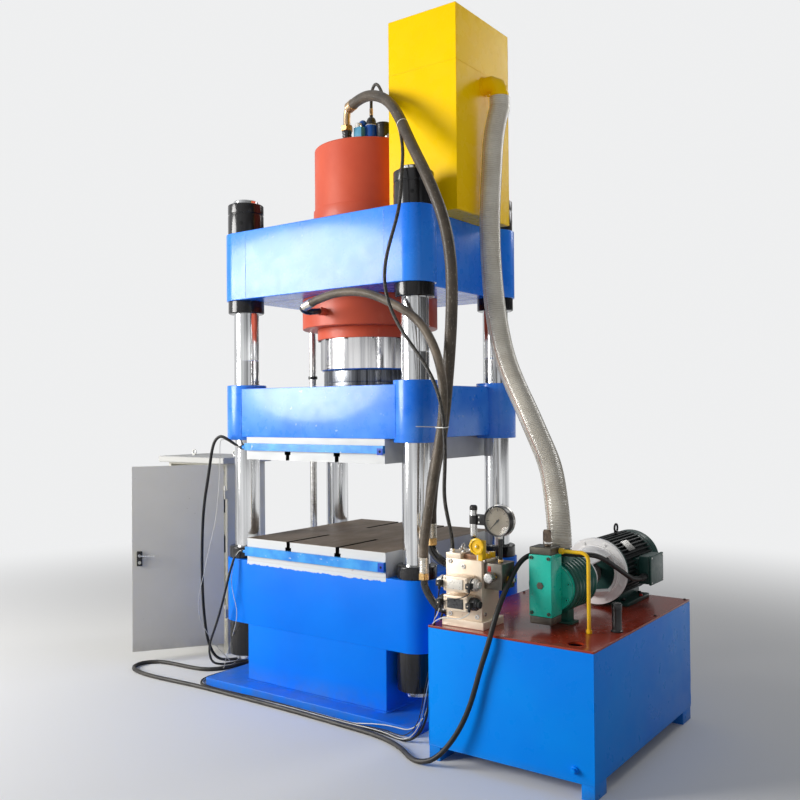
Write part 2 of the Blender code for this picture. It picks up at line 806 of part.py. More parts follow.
def build_filling_tank():
    """Overhead filling tank on the crown, and the mitred elbow welded to its side."""
    low = (FILL_TANK_X0, FILL_TANK_Y0, CROWN_TOP + GAP)
    high = (low[0] + FILL_TANK_W, low[1] + FILL_TANK_D, low[2] + FILL_TANK_H)
    node("filling_tank", box(low, high, FILL_TANK_BEVEL), YELLOW)
    wall, end = high[0] + GAP, outlet_mouth()
    mitres = ((0, 0), (0.45, 0), (0.86, 0.27), (1, 0.61), (1, 1))
    points = [
        (wall + across * (end[0] - wall), OUTLET_Y, end[2] + (1 - down) * OUTLET_DROP)
        for across, down in mitres
    ]
    tube("tank_outlet", points, [OUTLET_R] * len(points), YELLOW, 4)


def outlet_mouth():
    """Where the filling tank's elbow ends."""
    x = FILL_TANK_X0 + FILL_TANK_W + OUTLET_REACH
    return x, OUTLET_Y, CROWN_TOP + OUTLET_RISE - OUTLET_DROP


def build_oil_tank():
    """Oil tank: an open welded box on four legs, closed by a flat lid with a filler hole."""
    x0, y0, x1, y1 = OIL_X0, OIL_Y0, OIL_X0 + OIL_W, OIL_Y0 + OIL_D
    wall = OIL_WALL
    shell = box((x0, y0, OIL_LEG_H), (x1, y1, OIL_TOP))
    hollow = box((x0 + wall, y0 + wall, OIL_LEG_H + wall), (x1 - wall, y1 - wall, OIL_TOP + 0.1))
    legs = []
    for left in (x0 + 0.002, x1 - OIL_LEG_W - 0.002):
        for near in (y0 + 0.002, y1 - OIL_LEG_L - 0.002):
            legs.append(
                box((left, near, 0), (left + OIL_LEG_W, near + OIL_LEG_L, OIL_LEG_H + wall / 2))
            )
    node("oil_tank", united(cut(shell, hollow), *legs), BLUE)
    lid = box((x0, y0, OIL_TOP + GAP), (x1, y1, LID_TOP))
    hole = rod(FILLER_R, OIL_TOP - 0.05, LID_TOP + 0.05, FILLER_AT, steps=24)
    node("tank_lid", cut(lid, hole), RED_OXIDE)


def build_pump():
    """Axial piston pump: ribbed barrel on the axis, control block in front, adjuster on its top."""
    rib = BARREL_R - BARREL_RIB
    pitch = BARREL_L / BARREL_STEPS
    ribbed = []
    for i in range(BARREL_STEPS):
        start = BARREL_Y + i * pitch
        radius = BARREL_R if i % 2 == 0 else rib
        ribbed += [(radius, start), (radius, start + pitch)]
    front = BLOCK_BACK + GAP
    profile = [(0, front), (PUMP_FLANGE_R, front), (PUMP_FLANGE_R, BARREL_Y)] + ribbed
    profile += [(PUMP_NECK_R, NECK_Y), (PUMP_NECK_R, NECK_END), (0, NECK_END)]
    barrel = turned(profile, (AXIS_X, 0, AXIS_Z), "Y", 20)
    port_top = AXIS_Z + PORT_RISE
    port = rod(PORT_R, AXIS_Z, port_top, (AXIS_X, PORT_Y), steps=16)
    flange = box(
        (AXIS_X - 0.055, PORT_Y - 0.055, AXIS_Z + 0.6 * BARREL_R),
        (AXIS_X + 0.055, PORT_Y + 0.055, AXIS_Z + BARREL_R + 0.014),
    )
    stand = box(
        (AXIS_X - 0.05, BARREL_Y + 0.06, LID_TOP + GAP),
        (AXIS_X + 0.05, BARREL_Y + 0.12, AXIS_Z - 0.6 * BARREL_R),
    )
    node("pump_body", united(barrel, port, flange, stand), GREEN)
    half = BLOCK_W / 2
    low = (AXIS_X - half, BLOCK_FRONT, BLOCK_Z)
    node(
        "pump_control_block",
        box(low, (AXIS_X + half, BLOCK_BACK, BLOCK_TOP), BLOCK_BEVEL),
        TEAL,
    )
    centre = (AXIS_X + 0.012, BLOCK_FRONT + BLOCK_D / 2)
    z = BLOCK_TOP + GAP
    stem = [
        (0, z),
        (0.7 * ADJUSTER_R, z),
        (0.7 * ADJUSTER_R, z + 0.1 * ADJUSTER_H),
        (ADJUSTER_R, z + 0.12 * ADJUSTER_H),
        (ADJUSTER_R, z + 0.9 * ADJUSTER_H),
        (0.8 * ADJUSTER_R, z + ADJUSTER_H),
        (0, z + ADJUSTER_H),
    ]
    node("pump_adjuster", turned(stem, (*centre, 0), steps=SMALL), BLACK, (*centre, z))


def build_bell_housing():
    """Bell housing between pump and motor, hollow, with a window on each side for the coupling."""
    start, end = NECK_END + GAP, MOTOR_Y
    flange = end - BELL_FLANGE_T
    hub_in = COUPLING_R + 0.006
    profile = [
        (hub_in, start),
        (BELL_SMALL_R, start),
        (BELL_SMALL_R, start + BELL_WALL),
        (BELL_SMALL_R - 0.006, start + BELL_WALL),
        (BELL_MID_R, flange),
        (BELL_FLANGE_R, flange),
        (BELL_FLANGE_R, end),
        (BELL_MID_R - BELL_WALL, end),
        (BELL_MID_R - BELL_WALL, flange),
        (BELL_SMALL_R - 0.006 - BELL_WALL, start + BELL_WALL),
        (hub_in, start + BELL_WALL),
    ]
    shell = turned(profile, (AXIS_X, 0, AXIS_Z), "Y", 20)
    length, height = BELL_WINDOW
    middle = (start + flange) / 2
    window = box(
        (AXIS_X - 0.3, middle - length / 2, AXIS_Z - height / 2),
        (AXIS_X + 0.3, middle + length / 2, AXIS_Z + height / 2),
    )
    node("bell_housing", cut(shell, window), WHITE)


def fin_outline():
    """The motor's cross-section: straight cooling fins all round."""
    outline = []
    for i in range(FIN_COUNT):
        middle = 2 * math.pi * i / FIN_COUNT
        for radius, turn in (
            (MOTOR_R, -0.36),
            (MOTOR_R + FIN_H, -0.16),
            (MOTOR_R + FIN_H, 0.16),
            (MOTOR_R, 0.36),
        ):
            angle = middle + turn * 2 * math.pi / FIN_COUNT
            outline.append(
                (AXIS_X + radius * math.cos(angle), AXIS_Z + radius * math.sin(angle))
            )
    return outline


def build_motor():
    """Motor: finned housing with end shields and feet, rotor, fan cover and terminal box."""
    start, end = MOTOR_Y + GAP, MOTOR_Y + MOTOR_L
    body = extruded(fin_outline(), start + SHIELD_T / 2, end - SHIELD_T / 2, "Y")
    axis = (AXIS_X, AXIS_Z)
    shields = [
        rod(SHIELD_R, start, start + SHIELD_T, axis, "Y", 24),
        rod(SHIELD_R - 0.006, end - SHIELD_T, end, axis, "Y", 24),
    ]
    foot_y = start + 0.06
    foot = box(
        (AXIS_X - MOTOR_FOOT_W / 2, foot_y, LID_TOP + GAP),
        (AXIS_X + MOTOR_FOOT_W / 2, foot_y + MOTOR_FOOT_L, LID_TOP + GAP + MOTOR_FOOT_T),
    )
    leg = box(
        (AXIS_X - MOTOR_LEG_W / 2, foot_y + 0.01, LID_TOP + MOTOR_FOOT_T / 2),
        (AXIS_X + MOTOR_LEG_W / 2, foot_y + MOTOR_FOOT_L - 0.01, AXIS_Z - 0.5 * MOTOR_R),
    )
    pad = box(
        (AXIS_X + 0.8 * MOTOR_R, BOX_Y0 + 0.02, BOX_Z0 + 0.02),
        (AXIS_X + MOTOR_R + FIN_H + BOX_PAD, BOX_Y0 + BOX_L - 0.02, BOX_Z0 + BOX_H - 0.02),
    )
    whole = united(body, *shields, foot, leg, pad)
    bore_r = (SHAFT_R + SHAFT_CLEARANCE) / math.cos(math.pi / SMALL)
    bore = rod(bore_r, start - 0.1, end + 0.1, axis, "Y", SMALL)
    node("motor_housing", cut(whole, bore), GREEN)

    coupling_z = NECK_END + 0.5 * (BELL_L - BELL_FLANGE_T - COUPLING_L)
    fan_y = end + 0.35 * FAN_COVER_L
    rotor = [
        (0, NECK_END + GAP),
        (0.8 * SHAFT_R, NECK_END + GAP),
        (0.8 * SHAFT_R, coupling_z),
        (COUPLING_R, coupling_z),
        (COUPLING_R, coupling_z + 0.42 * COUPLING_L),
        (0.86 * COUPLING_R, coupling_z + 0.44 * COUPLING_L),
        (0.86 * COUPLING_R, coupling_z + 0.56 * COUPLING_L),
        (COUPLING_R, coupling_z + 0.58 * COUPLING_L),
        (COUPLING_R, coupling_z + COUPLING_L),
        (SHAFT_R, coupling_z + COUPLING_L),
        (SHAFT_R, fan_y),
        (FAN_R, fan_y + 0.2 * FAN_T),
        (FAN_R, fan_y + FAN_T),
        (0, fan_y + FAN_T),
    ]
    place = (AXIS_X, 0, AXIS_Z)
    node("motor_rotor", turned(rotor, place, "Y", SMALL), STEEL, place)

    cover, inner = FAN_COVER_R, FAN_COVER_R - FAN_COVER_WALL
    cover_end = end + FAN_COVER_L
    cup = [
        (0, cover_end),
        (cover - 0.02, cover_end),
        (cover, cover_end - 0.02),
        (cover, end + GAP),
        (inner, end + GAP),
        (inner, cover_end - 0.02),
        (cover - 0.02 - FAN_COVER_WALL, cover_end - FAN_COVER_WALL),
        (0, cover_end - FAN_COVER_WALL),
    ]
    node("fan_cover", turned(cup, place, "Y", 24), GREEN)

    left = AXIS_X + MOTOR_R + FIN_H + BOX_PAD + GAP
    low, high = (left, BOX_Y0, BOX_Z0), (left + BOX_W, BOX_Y0 + BOX_L, BOX_Z0 + BOX_H)
    mouth = motor_gland()
    gland = rod(MOTOR_GLAND_R, mouth[1], BOX_Y0 + 0.01, (mouth[0], mouth[2]), "Y", SMALL)
    node("terminal_box", united(box(low, high, BOX_BEVEL), gland), GREEN)


def motor_gland():
    """The middle of the terminal box's gland mouth."""
    x = AXIS_X + MOTOR_R + FIN_H + BOX_PAD + BOX_W / 2
    return x, BOX_Y0 - MOTOR_GLAND_L, BOX_Z0 + 0.045


def build_tank_fittings():
    """On the lid: breather post, and the pump's drain pipe with its bend."""
    z = LID_TOP + GAP
    post = [
        (0, z),
        (1.25 * BREATHER_R, z),
        (1.25 * BREATHER_R, z + 0.006),
        (BREATHER_R, z + 0.008),
        (BREATHER_R, z + BREATHER_H - 0.004),
        (BREATHER_R - 0.004, z + BREATHER_H),
        (0, z + BREATHER_H),
    ]
    node("breather_post", turned(post, (*BREATHER_AT, 0), steps=16), BLACK)
    level = BLOCK_TOP - DRAIN_PIPE_DROP
    start = Vector((AXIS_X + BLOCK_W / 2 + GAP, DRAIN_PIPE_Y, level))
    points = [start]
    for i in range(6):
        angle = math.pi / 2 * i / 5
        points.append(
            Vector(
                (
                    DRAIN_PIPE_X - DRAIN_BEND_R * (1 - math.sin(angle)),
                    DRAIN_PIPE_Y,
                    level - DRAIN_BEND_R * (1 - math.cos(angle)),
                )
            )
        )
    points.append(Vector((DRAIN_PIPE_X, DRAIN_PIPE_Y, z)))
    tube("drain_pipe", points, [DRAIN_PIPE_R] * len(points), YELLOW, 2)


def build_manifold():
    """Valve manifold: ported block with its foot, gauge shut-off body and pilot port."""
    x0, y0, z0 = MANIFOLD_X0, MANIFOLD_Y0, LID_TOP + GAP
    x1, y1 = x0 + MANIFOLD_W, y0 + MANIFOLD_D
    out = MANIFOLD_BASE_OUT
    block = box((x0, y0, z0), (x1, y1, MANIFOLD_TOP), 0.003)
    foot = box((x0 - out, y0 - out, z0), (x1 + out, y1 + out, z0 + MANIFOLD_BASE_T))
    pilot = rod(PILOT_PORT_R, MANIFOLD_TOP - 0.02, MANIFOLD_TOP + PILOT_PORT_H, PILOT_PORT_AT, steps=6)
    width = WHEEL_VALVE_W
    shut_off = box(
        (x1 - width, y0 + 0.012, MANIFOLD_TOP - 0.01),
        (x1 - 0.002, y0 + 0.012 + width, MANIFOLD_TOP + WHEEL_VALVE_H),
        0.003,
    )
    node("manifold", united(block, foot, pilot, shut_off), CREAM)

    middle = x0 + MANIFOLD_W / 2
    for name, rise in (
        ("solenoid_valve_upper", VALVE_UP_RISE),
        ("solenoid_valve_lower", VALVE_LOW_RISE),
    ):
        z = LID_TOP + rise
        half = VALVE_W / 2
        body = box((middle - half, y0 - VALVE_D, z), (middle + half, y0 - GAP, z + VALVE_H), 0.004)
        axis = (y0 - 0.5 * VALVE_D - 0.002, z + VALVE_H / 2)
        coils = rod(COIL_R, middle - 1.75 * half, middle + 1.75 * half, axis, "X", 16)
        node(name, united(body, coils), STEEL)

    top = MANIFOLD_TOP - RELIEF_TOP_DROP
    low = (x1 + GAP, y0 + 0.02, top - RELIEF_H)
    high = (x1 + GAP + RELIEF_W, y0 + 0.02 + RELIEF_D, top)
    knob_axis = ((low[0] + high[0]) / 2, (low[2] + high[2]) / 2)
    knob = rod(RELIEF_KNOB_R, low[1] - RELIEF_KNOB_L, low[1] + 0.01, knob_axis, "Y", SMALL)
    node("relief_valve", united(box(low, high, 0.004), knob), STEEL)
    return top


def build_gauge(seat_z):
    """Pressure gauge on its stem, with needle, post with bracket, and the shut-off's handwheel."""
    centre = (GAUGE_X, 0, GAUGE_Z)
    back = GAUGE_FRONT + GAUGE_T
    floor = GAUGE_FRONT + GAUGE_RECESS
    inner = GAUGE_R - GAUGE_RIM
    case = [
        (0, back),
        (GAUGE_R - 0.006, back),
        (GAUGE_R, back - 0.006),
        (GAUGE_R, GAUGE_FRONT),
        (inner, GAUGE_FRONT),
        (inner, floor),
        (0.004, floor),
        (0.004, floor - 0.003),
        (0, floor - 0.003),
    ]
    stem_y = GAUGE_FRONT + 0.6 * GAUGE_T
    stem = rod(GAUGE_STEM_R, seat_z + GAP, GAUGE_Z - 0.8 * GAUGE_R, (GAUGE_X, stem_y), steps=SMALL)
    dial = turned(case, centre, "Y", 24)
    node("gauge_case", united(dial, stem), BLACK)

    y1 = floor - 0.003 - GAP
    half = NEEDLE_W / 2
    shape = [(-half, -0.012), (half, -0.012), (half, 0), (0.0008, NEEDLE_L), (-0.0008, NEEDLE_L), (-half, 0)]
    lean = math.radians(NEEDLE_ZERO_DEG)
    outline = [
        (
            GAUGE_X + u * math.cos(lean) - v * math.sin(lean),
            GAUGE_Z + u * math.sin(lean) + v * math.cos(lean),
        )
        for u, v in shape
    ]
    needle = extruded(outline, y1 - NEEDLE_T, y1, "Y")
    node("gauge_needle", needle, WHITE, (GAUGE_X, y1, GAUGE_Z))

    z = MANIFOLD_TOP + GAP
    post = [
        (0, z),
        (POST_STEM_R, z),
        (POST_STEM_R, z + POST_STEM_H),
        (POST_R, z + POST_STEM_H),
        (POST_R, z + POST_STEM_H + POST_H - 0.004),
        (POST_R - 0.004, z + POST_STEM_H + POST_H),
        (0, z + POST_STEM_H + POST_H),
    ]
    depth, height = POST_ARM
    arm_end = GAUGE_X - GAUGE_R - GAP
    arm = box(
        (POST_X, POST_Y, GAUGE_Z - height / 2),
        (arm_end, POST_Y + depth, GAUGE_Z + height / 2),
    )
    node("gauge_post", united(turned(post, (POST_X, POST_Y, 0), steps=16), arm), STEEL)

    wheel_x = MANIFOLD_X0 + MANIFOLD_W - WHEEL_VALVE_W / 2
    face = MANIFOLD_Y0 + 0.012 - GAP
    wheel_z = MANIFOLD_TOP + 0.042
    back_y = face - SPINDLE_L
    middle = back_y - WHEEL_T / 2
    web = WHEEL_WEB / 2
    rim_in = WHEEL_R - WHEEL_RIM
    wheel = [
        (0, face),
        (0.006, face),
        (0.006, back_y),
        (WHEEL_HUB_R, back_y),
        (WHEEL_HUB_R, middle + web),
        (rim_in, middle + web),
        (rim_in + 0.002, back_y),
        (WHEEL_R, back_y - 0.003),
        (WHEEL_R, back_y - WHEEL_T + 0.003),
        (rim_in + 0.002, back_y - WHEEL_T),
        (rim_in, middle - web),
        (WHEEL_HUB_R, middle - web),
        (WHEEL_HUB_R, back_y - WHEEL_T),
        (0, back_y - WHEEL_T),
    ]
    place = (wheel_x, 0, wheel_z)
    node("handwheel", turned(wheel, place, "Y", 16), YELLOW, place)


def build_cabinet():
    """Cabinet body: folded shell with front lip, lid, feet, hinge knuckles and side glands."""
    x0, x1, y0, y1 = CAB_X0, CAB_X1, CAB_FRONT, CAB_FRONT + CAB_D
    z0, z1, wall = CAB_FOOT_H, CAB_TOP, CAB_WALL
    shell = box((x0, y0, z0), (x1, y1, z1))
    hollow = box((x0 + wall, y0 + wall, z0 + wall), (x1 - wall, y1 - wall, z1 - wall))
    lip = CAB_LIP
    mouth = box((x0 + lip, y0 - 0.1, z0 + lip), (x1 - lip, y0 + 1.5 * wall, z1 - lip))
    out = LID_OUT
    lid = box((x0 - out, y0 - 2 * out, z1 - wall / 2), (x1 + out, y1 + out, z1 + LID_H), 0.004)
    feet = []
    for left in (x0 + 0.004, x1 - CAB_FOOT_W - 0.004):
        for near in (y0 + 0.004, y1 - CAB_FOOT_W - 0.004):
            feet.append(
                box((left, near, 0), (left + CAB_FOOT_W, near + CAB_FOOT_W, z0 + wall / 2))
            )
    knuckles = []
    for rise in HINGE_RISES:
        low = z0 + rise
        knuckles.append(rod(HINGE_R, low, low + HINGE_H, (HINGE.x, HINGE.y), steps=SMALL))
        knuckles.append(
            box(
                (HINGE.x - 0.0055, HINGE.y, low + 0.002),
                (HINGE.x + 0.003, y0 + 0.03, low + HINGE_H - 0.002),
            )
        )
    side = x1 + GLAND_PLATE_T
    last = GLAND_Y0 + 3 * GLAND_PITCH
    plate = box((x1 - wall / 2, GLAND_Y0 - 0.03, GLAND_Z - 0.04), (side, last + 0.03, GLAND_Z + 0.04))
    glands = [
        rod(radius + GLAND_WALL, x1, gland_mouth(i)[0], gland_mouth(i)[1:], "X", SMALL)
        for i, radius in enumerate((SLIDER_CABLE_R, TABLE_CABLE_R, MOTOR_CABLE_R, VALVE_CABLE_R))
    ]
    hollowed = cut(shell, hollow, mouth)
    node("cabinet_body", united(hollowed, lid, *feet, *knuckles, plate, *glands), GREY)


def gland_mouth(index):
    """The middle of a side gland's outer face; index counts from the front."""
    return CAB_X1 + GLAND_PLATE_T + GLAND_L, GLAND_Y0 + index * GLAND_PITCH, GLAND_Z


def build_gear_plate():
    """Mounting plate on the cabinet's back wall, with breaker, contactors, controller and terminals."""
    back = CAB_FRONT + CAB_D - CAB_WALL - GAP
    face = back - GEAR_PLATE_T
    middle = (CAB_X0 + CAB_X1) / 2
    low, high = CAB_FOOT_H + 0.09, CAB_TOP - 0.09
    half = CAB_W / 2 - 0.04
    plate = box((middle - half, face, low), (middle + half, back, high))
    devices = [
        box((middle + left, face - deep, bottom), (middle + right, face + GEAR_PLATE_T / 2, top))
        for left, right, deep, bottom, top in GEAR
    ]
    node("gear_plate", united(plate, *devices), STEEL)


def door_place():
    """The door's turn about its hinge, from closed to its place at rest."""
    turn = Matrix.Rotation(math.radians(DOOR_OPEN_DEG), 4, "Z")
    return Matrix.Translation(HINGE) @ turn


def build_door():
    """Door pan with its lock plate, drawn closed about the hinge and then swung open."""
    place = door_place()
    x0, x1 = -DOOR_CLEAR - DOOR_W, -DOOR_CLEAR
    y0 = 0.002
    y1 = y0 + DOOR_T
    z0, z1 = CAB_FOOT_H + DOOR_Z_CLEAR, CAB_TOP - DOOR_Z_CLEAR
    pan = box((x0, y0, z0), (x1, y1, z1))
    sheet = DOOR_SHEET
    hollow = box((x0 + sheet, y0 + sheet, z0 + sheet), (x1 - sheet, y1 + 0.1, z1 - sheet))
    lock_x = x0 + LOCK_IN
    lock = box(
        (lock_x - LOCK_W / 2, y0 - LOCK_T, LOCK_Z - LOCK_H / 2),
        (lock_x + LOCK_W / 2, y0 + sheet / 2, LOCK_Z + LOCK_H / 2),
    )
    barrels = []
    for rise in HINGE_RISES:
        low = CAB_FOOT_H + rise + HINGE_H + GAP
        high = low + HINGE_H / 2
        barrels.append(rod(HINGE_R, low, high, steps=SMALL))
        barrels.append(box((x1 - sheet, y0, low + sheet), (0, y0 + sheet, high - sheet)))
    door = united(cut(pan, hollow), lock, *barrels)
    made = node("cabinet_door", door, GREY)
    made.matrix_world = place

    pivot = Vector((lock_x, y0 - LOCK_T - GAP, LOCK_Z + 0.2 * LOCK_H))
    stem = rod(LEVER_R, pivot.y - LEVER_OUT, pivot.y, (pivot.x, pivot.z), "Y", SMALL)
    bar = box(
        (pivot.x - 0.01, pivot.y - LEVER_OUT, pivot.z - LEVER_H / 2),
        (pivot.x + LEVER_L, pivot.y - LEVER_OUT + LEVER_T, pivot.z + LEVER_H / 2),
        0.002,
    )
    lever = node("door_lever", united(bar, stem), CHROME, pivot)
    lever.matrix_world = place @ Matrix.Translation(pivot)


def build_limit_rail():
    """Round rail at the left side that carries the slider's limit switches, on three brackets."""
    top = CROWN_TOP - RAIL_TOP_IN
    x = -CROWN_SIDE - RAIL_OUT
    rail = rod(RAIL_R, RAIL_Z0, top, (x, RAIL_Y))
    width, height = RAIL_BRACKET
    brackets = []
    for wall, z in (
        (-BASE_SIDE - GAP, BASE_Z - 0.1),
        (-CROWN_SIDE - GAP, CROWN_Z + 0.08),
        (-CROWN_SIDE - GAP, CROWN_TOP - 0.12),
    ):
        brackets.append(
            box(
                (x, RAIL_Y - width / 2, z - height / 2),
                (wall, RAIL_Y + width / 2, z + height / 2),
            )
        )
    node("limit_rail", united(rail, *brackets), STEEL)


def fitting(name, path, paint=BLACK, resolution=4):
    """A turned hose fitting along a bent path, given as (point, radius) pairs."""
    return tube(name, [point for point, _ in path], [radius for _, radius in path], paint, resolution)


def build_fittings():
    """Hose tails, nuts and adapters where the two big hoses meet the cylinder and the manifold."""
    z = CYLINDER_TOP + GAP
    x, y = -0.012, -0.196
    fitting(
        "pressure_fitting_top",
        [
            ((x, y, z), 0.029),
            ((x, y, z + 0.080), 0.029),
            ((x, y, z + 0.081), 0.036),
            ((x, y, z + 0.116), 0.036),
            ((x, y, z + 0.117), 0.021),
            ((x, y, z + 0.165), 0.021),
            ((x + 0.006, y - 0.002, z + 0.196), 0.021),
            ((x + 0.026, y - 0.010, z + 0.215), 0.021),
            ((x + 0.028, y - 0.011, z + 0.216), 0.032),
            ((x + 0.074, y - 0.029, z + 0.222), 0.033),
        ],
    )
    y = -FLANGE_R - GAP
    z = FLANGE_Z + 0.078
    fitting(
        "return_fitting_top",
        [
            ((-0.010, y, z), 0.022),
            ((-0.010, -0.460, z), 0.022),
            ((-0.016, -0.500, z - 0.006), 0.022),
            ((-0.020, -0.535, z - 0.010), 0.020),
            ((-0.026, -0.562, z - 0.006), 0.017),
            ((-0.022, -0.585, z + 0.003), 0.017),
            ((-0.004, -0.594, z + 0.010), 0.017),
            ((-0.002, -0.5945, z + 0.0105), 0.026),
            ((0.060, -0.602, z + 0.028), 0.026),
        ],
    )
    wall = MANIFOLD_X0 - GAP
    z = LID_TOP + 0.262
    fitting(
        "pressure_fitting_low",
        [
            ((wall, -0.640, z), 0.024),
            ((wall - 0.070, -0.640, z), 0.024),
            ((wall - 0.118, -0.640, z + 0.018), 0.021),
            ((wall - 0.154, -0.640, z + 0.052), 0.021),
            ((wall - 0.166, -0.640, z + 0.080), 0.021),
            ((wall - 0.166, -0.640, z + 0.081), 0.035),
            ((wall - 0.166, -0.640, z + 0.118), 0.035),
            ((wall - 0.166, -0.640, z + 0.119), 0.031),
            ((wall - 0.166, -0.640, z + 0.190), 0.031),
        ],
    )
    z = LID_TOP + 0.060
    fitting(
        "return_fitting_low",
        [
            ((wall, -0.735, z), 0.020),
            ((wall - 0.035, -0.735, z), 0.020),
            ((wall - 0.066, -0.738, z + 0.012), 0.020),
            ((wall - 0.104, -0.740, z + 0.050), 0.018),
            ((wall - 0.134, -0.740, z + 0.098), 0.018),
            ((wall - 0.139, -0.740, z + 0.130), 0.018),
            ((wall - 0.139, -0.740, z + 0.131), 0.027),
            ((wall - 0.139, -0.740, z + 0.164), 0.027),
            ((wall - 0.139, -0.740, z + 0.165), 0.0235),
            ((wall - 0.139, -0.740, z + 0.240), 0.0235),
        ],
    )


def build_hoses():
    """The four hoses, each from fitting to fitting."""
    z = CYLINDER_TOP + GAP + 0.222
    direction = Vector((0.046, -0.018, 0.006)).normalized()
    start = Vector((0.062, -0.225, z)) + GAP * direction
    low = LID_TOP + 0.262 + 0.190 + GAP
    end = (MANIFOLD_X0 - GAP - 0.166, -0.640, low)
    pressure = [
        start,
        start + 0.03 * direction,
        (0.150, -0.260, 3.441),
        (0.232, -0.292, 3.430),
        (0.325, -0.325, 3.396),
        (0.405, -0.355, 3.347),
        (0.548, -0.420, 3.185),
        (0.650, -0.480, 3.040),
        (0.780, -0.550, 2.860),
        (0.853, -0.580, 2.740),
        (0.912, -0.585, 2.600),
        (0.950, -0.580, 2.421),
        (0.953, -0.572, 2.104),
        (0.926, -0.572, 1.782),
        (0.890, -0.590, 1.468),
        (0.868, -0.620, 1.286),
        (end[0], end[1], low + 0.060),
        end,
    ]
    cord("pressure_hose", pressure, PRESSURE_HOSE_R, 0.100, RUBBER)

    z = FLANGE_Z + 0.078
    direction = Vector((0.062, -0.0075, 0.0175)).normalized()
    start = Vector((0.060, -0.602, z + 0.028)) + GAP * direction
    low = LID_TOP + 0.060 + 0.240 + GAP
    end = (MANIFOLD_X0 - GAP - 0.139, -0.740, low)
    back = [
        start,
        start + 0.03 * direction,
        (0.196, -0.606, 2.262),
        (0.339, -0.606, 2.267),
        (0.476, -0.606, 2.242),
        (0.576, -0.608, 2.202),
        (0.680, -0.614, 2.152),
        (0.782, -0.624, 2.084),
        (0.850, -0.636, 2.014),
        (0.918, -0.658, 1.910),
        (0.960, -0.675, 1.800),
        (0.978, -0.692, 1.670),
        (0.962, -0.716, 1.440),
        (0.926, -0.735, 1.201),
        (0.899, -0.740, 1.035),
        (end[0], end[1], low + 0.050),
        end,
    ]
    cord("return_hose", back, RETURN_HOSE_R, 0.080, RUBBER)

    x, y = PREFILL_AT
    z = CYLINDER_TOP + GAP + PREFILL_H + PREFILL_DOME_H + PREFILL_STEM_H + GAP
    low = MANIFOLD_TOP + PILOT_PORT_H + GAP
    pilot = [
        (x, y, z),
        (x, y, z + 0.030),
        (0.124, -0.124, z + 0.100),
        (0.177, -0.160, z + 0.115),
        (0.255, -0.205, 3.470),
        (0.335, -0.276, 3.388),
        (0.415, -0.316, 3.300),
        (0.484, -0.360, 3.208),
        (0.542, -0.415, 3.110),
        (0.590, -0.470, 3.030),
        (0.640, -0.540, 2.940),
        (0.676, -0.600, 2.830),
        (0.684, -0.632, 2.685),
        (0.676, -0.650, 2.602),
        (0.636, -0.666, 2.454),
        (0.622, -0.680, 2.301),
        (0.667, -0.690, 2.147),
        (0.759, -0.704, 2.011),
        (0.872, -0.722, 1.883),
        (0.970, -0.742, 1.742),
        (1.024, -0.756, 1.537),
        (1.028, -0.760, 1.347),
        (1.022, -0.752, 1.205),
        (1.046, -0.738, low + 0.070),
        (*PILOT_PORT_AT, low + 0.025),
        (*PILOT_PORT_AT, low),
    ]
    cord("pilot_hose", pilot, PILOT_HOSE_R, 0.068, RUBBER)

    x, y, z = outlet_mouth()
    low = AXIS_Z + PORT_RISE + GAP
    suction = [
        (x, y, z - GAP),
        (x, y, z - 0.060),
        (0.880, 0.005, 3.180),
        (0.872, -0.020, 2.950),
        (0.872, -0.045, 2.675),
        (0.882, -0.050, 2.413),
        (0.924, -0.075, 2.146),
        (1.006, -0.110, 1.878),
        (1.156, -0.165, 1.618),
        (1.245, -0.210, 1.480),
        (1.312, -0.256, 1.386),
        (1.364, -0.312, 1.310),
        (1.406, -0.366, 1.225),
        (1.436, -0.403, 1.130),
        (AXIS_X, PORT_Y, low + 0.040),
        (AXIS_X, PORT_Y, low),
    ]
    cord("suction_hose", suction, SUCTION_HOSE_R, 0.150, CLEAR, 3)


